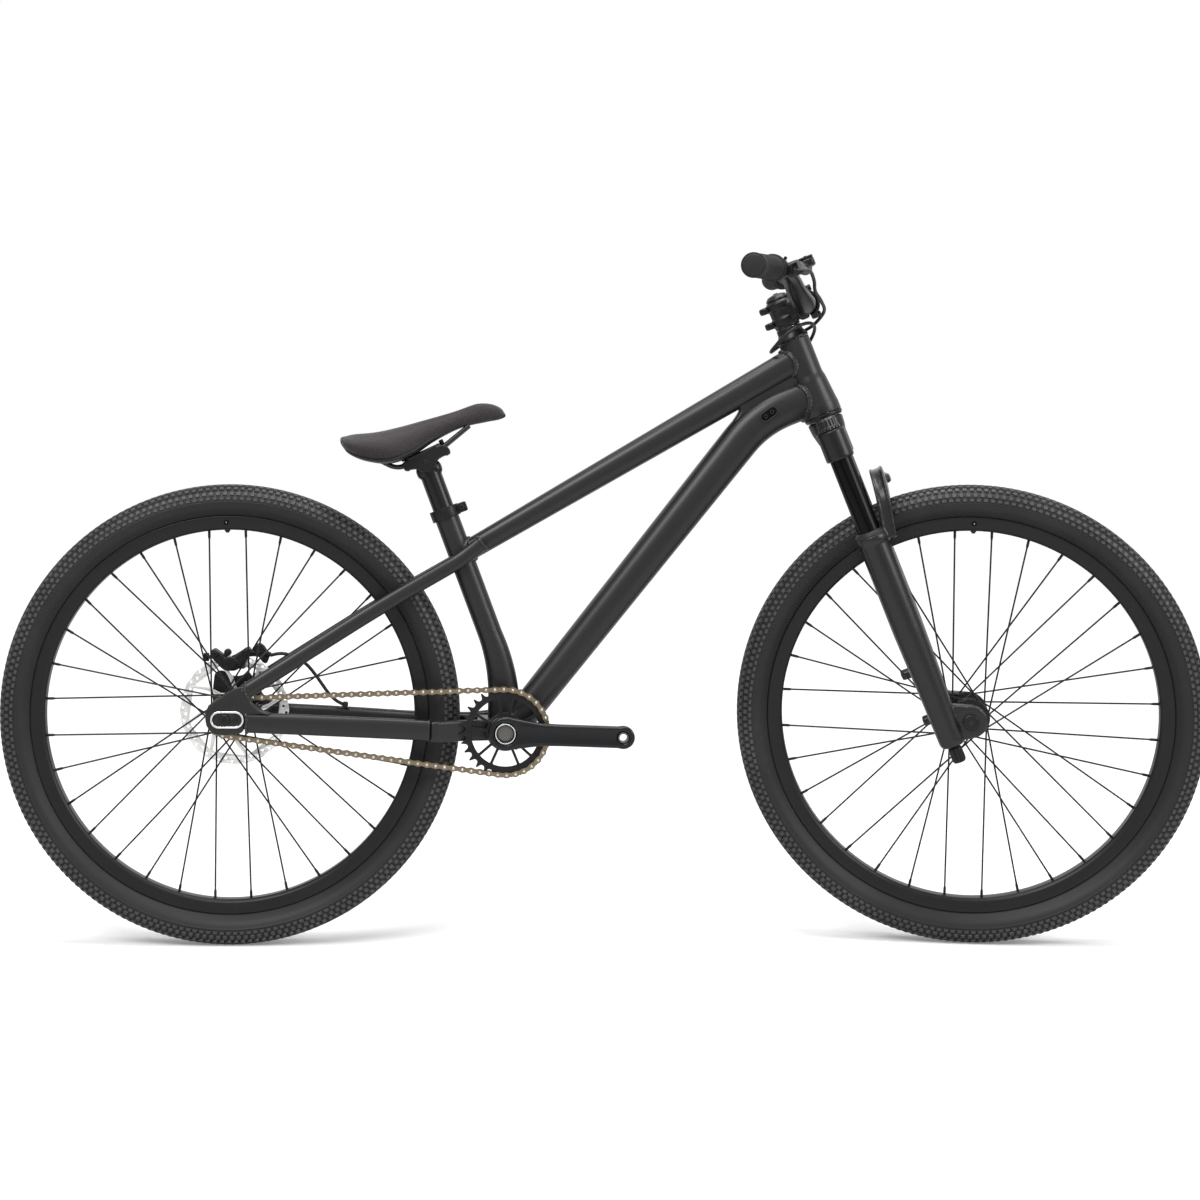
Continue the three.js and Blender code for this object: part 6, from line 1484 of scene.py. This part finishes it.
def saddlePieces():
    rows = cushionSurface()
    cover = piece("saddle_cover", onSaddle(skin(rows)), "saddleCloth", "saddle", keep=False)
    tilt = np.radians(layout["saddleTilt"])
    padOut(cover, saddle["voxel"], saddle["pressure"], saddle["cap"],
           vec(-np.sin(tilt), 0, np.cos(tilt)))
    smoothFaces(cover.data, 70)
    claim(cover, "saddle", "saddle_cushion")
    x, top, under, half = saddleRows(70)
    section = vec((-1, 0.35), (-0.8, 0), (0.8, 0), (1, 0.35), (1, 1), (-1, 1))
    section = rounded(section, 0.25, 3, closed=True)
    inner = slice(4, -4)
    x, top, under, half = x[inner], top[inner], under[inner], half[inner]
    tall = np.minimum(saddle["base"], (top - under) * 0.4)
    base = np.stack([np.broadcast_to(x[:, None], (len(x), len(section))),
                     section[:, 0] * np.maximum(half - 6, 2)[:, None],
                     under[:, None] + section[:, 1] * tall[:, None]], axis=-1)
    piece("saddle_shell", onSaddle(skin(base)), "blackPlastic", "saddle", "saddle_base")
    s = saddle
    for side, word in sides:
        route = [(x * s["length"], side * y * s["railHalf"], s["railRise"] + z * s["height"])
                 for x, y, z in s["railShares"]]
        rail = sweep(spaced(rounded(route, 16, 8), 3), s["rail"], s["rail"], around=24)
        piece("rail_bar_" + word, onSaddle(rail), "railGloss", "saddle", "saddle_rail_" + word)
    plateTop = softBlock((-26, -28.6, 12.8), (26, 28.6, 17.4), 9)
    cheeks = [plate(rounded(saddle["cradle"], 4, 4, closed=True), [], 5.2, 1.4, side * 25.4, 3)
              for side in (-1, 1)]
    cradles = [rod((-27, side * s["railHalf"], 12.4), (29, side * s["railHalf"], 12.4), 5.2, 32, edge=1)
               for side in (-1, 1)]
    cast("saddle_clamp_body", onSaddle(gather(plateTop, *cheeks, *cradles)), "satinBlack",
         "saddle", "saddle_clamp", 0.9, 4)
    barrels = [rod((x, -27.4, z), (x, 27.4, z), 4.6, 28, edge=0.8) for x, z in saddle["barrels"]]
    heads = [rod((x, 0, z + 11), (x, 0, z + 20), 3.4, 20, edge=0.6) for x, z in saddle["barrels"]]
    axleBolt = rod((0, -29, 0), (0, 29, 0), 4.2, 24)
    piece("saddle_clamp_bolts", onSaddle(gather(axleBolt, *barrels, *heads)), "boltBlack", "saddle",
          "saddle_clamp")


def seatpostPieces():
    s = seatpost
    tube = turned([(0, -s["insertion"]), (s["radius"], -s["insertion"]), (s["radius"], 56), (12, 68),
                   (0, 68)], 4, 64, axis=upright, steps=4)
    high, half = s["height"], s["headHalf"]
    head = rod((0, -half, high), (0, half, high), s["head"], 64, edge=1.2)
    fillet = softBlock((-19, -14, 46), (19, 14, high), 2.8)
    cast("seatpost_body", onSeat(gather(tube, head, fillet)), "forgedBlack", "seatpost", "seatpost", 0.9, 5)


seatpostPieces()
saddlePieces()

print("fork")
fork = {"spread": 62.0, "offset": 2.0, "crownTop": 454.0, "crownFoot": 411.0,
        "crownLeg": 20.5, "armDepth": 33.0, "armTall": 27.0, "armEnd": 430.0, "armMiddle": 450.0,
        "stanchion": 16.0, "archHalf": 9.5, "mounts": [(1.5, 29.0), (75.5, 34.0)],
        "leg": [(0, -24), (15.6, -24), (18.6, -18), (19.3, 40), (22, 150), (22, 284), (23.8, 286),
                (23.8, 296), (0, 296)],
        "web": [(0, -19), (36, -22.5), (57, 4), (51, 19), (36, 26), (19, 33), (0, 38)]}


def legFoot(side):
    return fork["offset"], side * fork["spread"], 0


def forkCrown():
    f = fork
    ends = [(f["offset"], side * f["spread"], f["armEnd"]) for side in (-1, 1)]
    route = rounded([ends[0], (0, 0, f["armMiddle"]), ends[1]], 30, 10)
    arms = sweep(spaced(route, 4), f["armDepth"] / 2, f["armTall"] / 2, 3.0, 40, side=(1, 0, 0))
    legs = [turned(drum(f["crownLeg"], f["crownFoot"], f["crownTop"]), 2.2, 64, legFoot(side), upright)
            for side in (-1, 1)]
    race = turned([(0, 434), (20, 434), (24.8, 454), (26, 469.6), (0, 469.6)], 3, 72, axis=upright, steps=4)
    cast("fork_crown_body", steered(gather(arms, *legs, race)), "crownBlack", "steering",
         "fork_crown", 1.2, 8)
    steerer = lathe([(0, 465), (19, 465), (19, 477), (14.3, 592), (14.3, 648), (0, 648)], 48, axis=upright,
                    closed=False)
    piece("steerer", steered(steerer), "silver", "steering", "fork_crown")
    cap = turned([(0, 453), (16.5, 453), (16.5, 459.5), (15, 462), (0, 462)], 1, 48, legFoot(1), upright)
    piece("air_cap", steered(cap), "anodisedBlack", "steering", "fork_crown")


def forkLegs():
    f = fork
    for side, word in sides:
        tube = turned(pipe(13.5, f["stanchion"], 150, 449.5), 0.4, 80, legFoot(side), upright, ring=True)
        piece("stanchion_tube_" + word, steered(tube), "glossCoat", "steering", "stanchion_" + word)
    wipers = [turned([(16.2, 294), (22.6, 294), (23.4, 296.4), (20.6, 301.5), (18.2, 302.4), (16.2, 301)],
                     0.7, 64, legFoot(side), upright, ring=True) for side in (-1, 1)]
    piece("fork_wipers", steered(gather(*wipers)), "blackPlastic", "fork_lowers", "fork_lowers")


def forkLowers():
    f = fork
    shapes = [turned(f["leg"], 3, 64, legFoot(side), upright, steps=4) for side in (-1, 1)]
    web = rounded(f["web"], 8, 5, closed=True)
    legAt = f["spread"]
    for side in (-1, 1):
        shapes.append(moved(turned(drum(23, 50, 69.4), 1.5, 64, axis=(0, side, 0)), layout["frontAxle"]))
        shapes.append(plate(web, [], 18, 4, side * 60, 3))
    half = lambda side: [(26, side * legAt, 282), (38, side * 56, 344), (41, side * 30, 366)]
    route = spaced(rounded(half(-1) + half(1)[::-1], 18, 10), 4)
    shapes.append(sweep(route, f["archHalf"], 10.5, 5.0, 40, side=(1, 0, 0)))
    for edge in (-1, 1):
        shapes.append(sweep(route + vec(edge * (f["archHalf"] - 1.8), 0, 0), 2.2, 12.6, 4.0, 24,
                            side=(1, 0, 0)))
    shapes.append(softBlock((36, -20, 352), (57, 20, 366), 4))
    for z, reach in f["mounts"]:
        shapes.append(rod((0, legAt, z), (-reach, legAt, z), 8, 40, edge=1))
        shapes.append(softBlock((-22, legAt - 5, z - 9), (0, legAt + 5, z + 9), 3))
    cast("fork_lowers_body", steered(gather(*shapes)), "castBlack", "fork_lowers", "fork_lowers", 1.5, 8)
    studs = [lathe(drum(2.9, -reach - 0.4, -reach), 20, (0, legAt, z), (1, 0, 0), closed=False)
             for z, reach in f["mounts"]]
    piece("post_mount_holes", steered(gather(*studs)), "blackPlastic", "fork_lowers", "fork_lowers")
    cap = turned([(0, -74.7), (8.5, -74.7), (11.5, -73.5), (11.5, -69.7), (0, -69.7)], 0.8, 48,
                 layout["frontAxle"])
    key = turned([(0, -75.2), (3.4, -75.2), (3.6, -74.4), (0, -74.4)], 0.2, 6, layout["frontAxle"], steps=2)
    shaft = moved(rod((0, -69, 0), (0, 69.7, 0), 7.4, 40), layout["frontAxle"])
    piece("front_axle_cap", steered(gather(cap, shaft)), "anodisedBlack", "fork_lowers", "front_axle")
    piece("front_axle_key", steered(key), "blackPlastic", "fork_lowers", "front_axle")


# A knob with grip flutes: radius = r * (1 - depth * (0.5 + 0.5 cos(flutes * angle)))
def fluted(profile, flutes, depth, origin, count=120):
    profile = rounded(profile, 0.9, 3)
    angle = np.arange(count) / count * 2 * pi
    wave = 1 - depth * (0.5 + 0.5 * np.cos(flutes * angle)) ** 3
    ring = polar(1, angle) * wave[:, None]
    rows = np.concatenate([profile[:, 0][:, None, None] * ring[None],
                           np.broadcast_to(profile[:, 1][:, None, None], (len(profile), count, 1))],
                          axis=-1)
    return skin(rows + vec(*origin))


def forkKnobs():
    knob = fluted([(0.2, -48.3), (7.8, -48.3), (10, -44.3), (10, -28.3), (7.8, -24.4), (0.2, -24.4)], 10,
                  0.14, legFoot(-1))
    piece("rebound_dial", steered(knob), "anodisedBlack", "rebound_knob", "rebound_knob")
    dial = fluted([(0.2, 454.4), (16, 454.4), (16, 459.3), (14, 460), (14, 470), (10.8, 473.3),
                   (0.2, 473.3)], 14, 0.07, legFoot(-1))
    piece("compression_knob", steered(dial), "railGloss", "compression_dial", "compression_dial")


forkCrown()
forkLegs()
forkLowers()
forkKnobs()

print("cockpit")
bar = {"reach": 34.0, "height": 633.9, "clamp": 15.9, "end": 11.1, "half": 378.0, "flat": 50.0,
       "riseHalf": 138.0, "rise": 50.0, "kneeShare": 0.43, "kneeRise": 14.0, "setback": 4.0,
       "upsweep": 13.0, "backsweep": 34.0, "taper": (0.12, 0.28)}
stem = {"foot": 611.7, "top": 653.7, "radius": 20.0, "waist": 18.2, "bands": (622.5, 645.5),
        "clampBolt": -25.5, "clampHead": {"radius": 3.8, "chamfer": 0.6, "socket": 1.7, "depth": 2.0},
        "earHalf": 19.5, "earRise": 20.3, "plateRadius": 18.7,
        "plateHead": {"radius": 4.0, "chamfer": 0.6, "socket": 1.9, "depth": 2.0}}
grip = {"length": 132.0, "radius": 16.0, "ribs": 26, "swell": 0.5, "ribDepth": 0.75, "plainEnds": 0.1}
lever = {"mount": 214.0, "forward": 30.0, "drop": 11.0, "reach": 104.0, "reservoirTall": 12.0}


def barSide(side):
    b = bar
    knee = b["flat"] + (b["riseHalf"] - b["flat"]) * b["kneeShare"]
    return np.array([(b["reach"], side * b["flat"], b["height"]),
                     (b["reach"] - b["setback"], side * knee, b["height"] + b["kneeRise"]),
                     (b["reach"] - b["setback"], side * b["riseHalf"], b["height"] + b["rise"]),
                     (b["reach"] - b["setback"] - b["backsweep"], side * b["half"],
                      b["height"] + b["rise"] + b["upsweep"])])


def barWay(side):
    corners = barSide(side)
    return corners[2], corners[3], unit(corners[3] - corners[2])


def onBarEnd(side, fromMiddle):
    start, end, way = barWay(side)
    return start + (end - start) * (fromMiddle - bar["riseHalf"]) / (bar["half"] - bar["riseHalf"])


def handlebar():
    points = np.vstack([barSide(-1)[::-1], barSide(1)])
    path = spaced(rounded(points, 36, 10), 4)
    fromMiddle = np.abs(np.linspace(-1, 1, len(path)))
    t = np.clip((fromMiddle - bar["taper"][0]) / bar["taper"][1], 0, 1)
    radius = bar["clamp"] + (bar["end"] - bar["clamp"]) * t * t * (3 - 2 * t)
    piece("handlebar_tube", steered(sweep(path, radius, radius, around=40, side=(1, 0, 0))), "satinBlack",
          "steering", "handlebar")


# A grip: its radius waves in and out in even ribs along its length, with a flange inside and a plug outside
def gripPieces():
    for side, word in sides:
        end, way = barWay(side)[1:]
        foot = -grip["length"]
        along = np.linspace(foot + 5.5, -1, 260)
        share = (along + grip["length"]) / grip["length"]
        ribbed = 0.5 + 0.5 * np.cos(share * grip["ribs"] * 2 * pi)
        plain = grip["plainEnds"]
        band = np.clip((share - plain) * 12, 0, 1) * np.clip((1 - plain - share) * 12, 0, 1)
        swell = grip["swell"] * np.sin(share * pi)
        radius = grip["radius"] - 0.3 + swell - grip["ribDepth"] * ribbed ** 2 * band
        profile = np.vstack([[(11.3, foot), (18.2, foot), (18.6, foot + 1), (18.6, foot + 4),
                              (18, foot + 4.8)], np.column_stack([radius, along]),
                             [(16.4, 0), (16.4, 3.5), (11.3, 4)]])
        piece("grip_sleeve_" + word, steered(lathe(profile, 72, end, way, closed=True)), "gripRubber",
              "steering", "grip_" + word)
        plug = turned([(0, -6), (11, -6), (11, 3), (14.4, 3.4), (13.6, 5), (0, 5.2)], 0.8, 48, end, way)
        piece("grip_plug_" + word, steered(plug), "blackPlastic", "steering", "grip_" + word)


def stemPieces():
    s, b = stem, bar
    low, high = s["foot"] + 0.3, s["top"]
    clamp = turned(drum(s["waist"], low, high), 1.2, 64, axis=upright)
    bands = [turned(drum(s["radius"], z - 5.5, z + 5.5), 1.4, 64, axis=upright) for z in s["bands"]]
    neck = softBlock((-4, -18, b["height"] - 17), (32, 18, b["height"] + 17), 5)
    ears = [softBlock((-31, -8, z - 5), (-12, 8, z + 5), 5) for z in s["bands"]]
    cheeks = [softBlock((18, side * 22 - 4, b["height"] - 20), (36, side * 22 + 4, b["height"] + 20), 4)
              for side in (-1, 1)]
    cast("stem_body", steered(gather(clamp, neck, *bands, *ears, *cheeks)), "satinBlack",
         "steering", "stem", 1.0, 5)
    x = s["clampBolt"]
    bolts = [gather(rod((x, -9.5, z), (x, 9.5, z), 2.5, 16), boltHead(s["clampHead"], -8, -11.6, (x, 0, z)))
             for z in s["bands"]]
    piece("stem_clamp_bolts", steered(gather(*bolts)), "boltBlack", "steering", "stem")
    corners = [(y, sign * s["earRise"]) for y in (-s["earHalf"], s["earHalf"]) for sign in (-1, 1)]
    shapes = [softBlock((b["reach"] + 2, y - 5.5, b["height"] + z - 4),
                        (b["reach"] + 13, y + 5.5, b["height"] + z + 4), 5) for y, z in corners]
    # Bands round the bar: two narrow ones all round, then a wide one above and one below
    for y, wide, power, degrees in ((-18.5, 7.2, 5.0, np.linspace(-80, 80, 33)),
                                    (18.5, 7.2, 5.0, np.linspace(-80, 80, 33)),
                                    (0, 25, 8.0, np.linspace(-46, -84, 12)),
                                    (0, 25, 8.0, np.linspace(46, 84, 12))):
        arc = aroundY(s["plateRadius"], np.radians(degrees), y) + vec(b["reach"], 0, b["height"])
        shapes.append(sweep(arc, wide, 2.6, power, 24))
    cast("stem_faceplate_body", steered(gather(*shapes)), "satinBlack", "steering",
         "stem_faceplate", 0.9, 4)
    heads = [boltHead(s["plateHead"], 0, 4, (b["reach"] + 12.5, y, b["height"] + z), (1, 0, 0))
             for y, z in corners]
    piece("faceplate_bolts", steered(gather(*heads)), "boltBlack", "steering", "stem_faceplate")
    cap = turned([(0, 654), (17, 654), (17, 656.5), (13, 661), (5, 663), (0, 663)], 1.5, 64, axis=upright,
                 steps=4)
    key = turned(drum(3.4, 662.2, 664), 0.4, 24, axis=upright)
    piece("stem_cap_disc", steered(cap), "satinBlack", "steering", "stem_top_cap")
    piece("stem_cap_bolt", steered(key), "boltBlack", "steering", "stem_top_cap")
    cover = turned([(14.6, 593), (22.9, 593), (22.9, 595.7), (18.5, 604), (18.3, 611.7), (14.6, 611.7)], 1,
                   72, axis=upright, ring=True)
    piece("headset_top_cover", steered(cover), "satinBlack", "steering", "headset_cover")


def brakeLever():
    way = barWay(-1)[2]
    spot = onBarEnd(-1, lever["mount"])
    body = spot + vec(lever["forward"], 0, -lever["drop"])
    ring = turned(pipe(11.4, 15.6, -6.5, 6.5), 0.8, 48, spot, way, ring=True)
    arm = softBlock(spot + vec(9, -6, -19), spot + vec(33, 6, 2), 4)
    cylinder = rod(body - way * 34, body + way * 16, 9.5, 48, endRadius=8.6, edge=1.2)
    nose = rod(body - way * 38, body - way * 33, 5, 24)
    tall = lever["reservoirTall"]
    tank = softBlock(body + vec(-1, -6.5, -3), body + vec(20, 33.5, tall - 2), 5)
    cast("lever_body", steered(gather(arm, cylinder, tank, nose)), "satinBlack", "steering",
         "brake_master_cylinder", 0.9, 5)
    piece("lever_clamp_ring", steered(ring), "satinBlack", "steering", "brake_master_cylinder")
    lid = softBlock(body + vec(-0.6, -6, tall - 3), body + vec(19.6, 33, tall + 0.3), 6)
    piece("reservoir_lid", steered(lid), "blackPlastic", "steering", "brake_master_cylinder")
    screws = [turned([(0, 0), (1.9, 0), (1.9, 0.9), (0.9, 1.0), (0.8, 0.4), (0, 0.4)], 0.2, 16,
                     body + vec(9.5, y, tall), upright, steps=2) for y in (-2, 29)]
    clampBolt = rod(spot + vec(15, -4, 9), spot + vec(15, 4, 9), 2.4, 16)
    pivot = rod(body + way * 15 + vec(0, 0, -6.2), body + way * 15 + vec(0, 0, 6.4), 2.6, 20)
    piece("lever_screws", steered(gather(*screws, clampBolt, pivot)), "boltBlack", "steering",
          "brake_master_cylinder")
    root = body + way * 18.8
    shares = vec((0, 0, 0), (0.058, -0.135, -0.02), (0.045, -0.3, -0.015), (0.015, -0.5, -0.008),
                 (-0.015, -0.7, 0), (-0.038, -0.87, 0), (-0.02, -0.95, 0), (0.02, -1, 0))
    path = smooth(root + shares * lever["reach"], 60)
    share = np.linspace(0, 1, 60)
    wide = (7 - 1.6 * share) * (1 - 0.25 * np.exp(-((share - 0.1) / 0.08) ** 2))
    blade = sweep(path, wide * 0.9, 3.2 - 0.3 * share, 2.8, 32, side=(0, 0, 1))
    piece("lever_blade", steered(blade), "satinBlack", "brake_lever", "brake_lever")


handlebar()
gripPieces()
stemPieces()
brakeLever()

print("hoses")
# Points of each hose: the front one's from the middle of the head tube's top, across the steering axis,
# and the rear one's from the middle of the rear axle, as in the CAD
hoses = {"radius": 2.5, "front": [(22.1, -186.4, 82.4), (26.5, -173, 81.3), (33, -152, 75),
                                  (37, -125, 63.5), (38, -98, 51), (47, -62, 35.5), (51, -28, 21),
                                  (36, 6, 9.3), (17, 26, 5.3), (-8, 33, 1.3), (-28, 22, -3.7),
                                  (-36, 2, -4.7), (-31, -19, 0.3), (-12, -31, 10.3), (10, -31, 15.3),
                                  (28, -18, 13.3), (35, 0, 5.3), (30, 18, -5.7), (14, 30, -19.7),
                                  (-6, 33, -34.7), (-26, 33, -50.7), (-44, 31, -65.7), (-56, 27, -74.7)],
         "rear": [(52.7, 52, 80.1), (63.3, 51, 82.5), (74.3, 50.5, 82.5), (90.3, 50, 77.5),
                  (106.3, 50, 66.5), (118.3, 50, 52.5), (128.3, 50, 38.5), (138.3, 51, 24.5),
                  (148.3, 53, 14.5), (158.3, 57, 8.5), (164.3, 60, 6.5)]}


def hosePieces():
    radius = hoses["radius"]
    spots = vec(*hoses["front"]) + vec(0, 0, headTube["top"])
    front = spaced(smooth(spots, 300), 2.5)
    piece("front_hose", onHead(sweep(front, radius, radius, around=16)), "hoseJacket", "steering",
          "front_brake_hose")
    nut = rod(spots[0], spots[1], 4.4, 6, endRadius=3.4)
    piece("front_hose_nut", onHead(nut), "blackSteel", "steering", "front_brake_hose")
    spots = vec(*hoses["rear"]) + layout["rearAxle"]
    rear = spaced(smooth(spots, 160), 2.5)
    piece("rear_hose", sweep(rear, radius, radius, around=16), "hoseJacket", "frame", "rear_brake_hose")
    gland = rod(spots[-2], spots[-1], 4.2, 24, endRadius=5.2, edge=1)
    piece("rear_hose_gland", gland, "blackPlastic", "frame", "rear_brake_hose")


hosePieces()

print("finish")
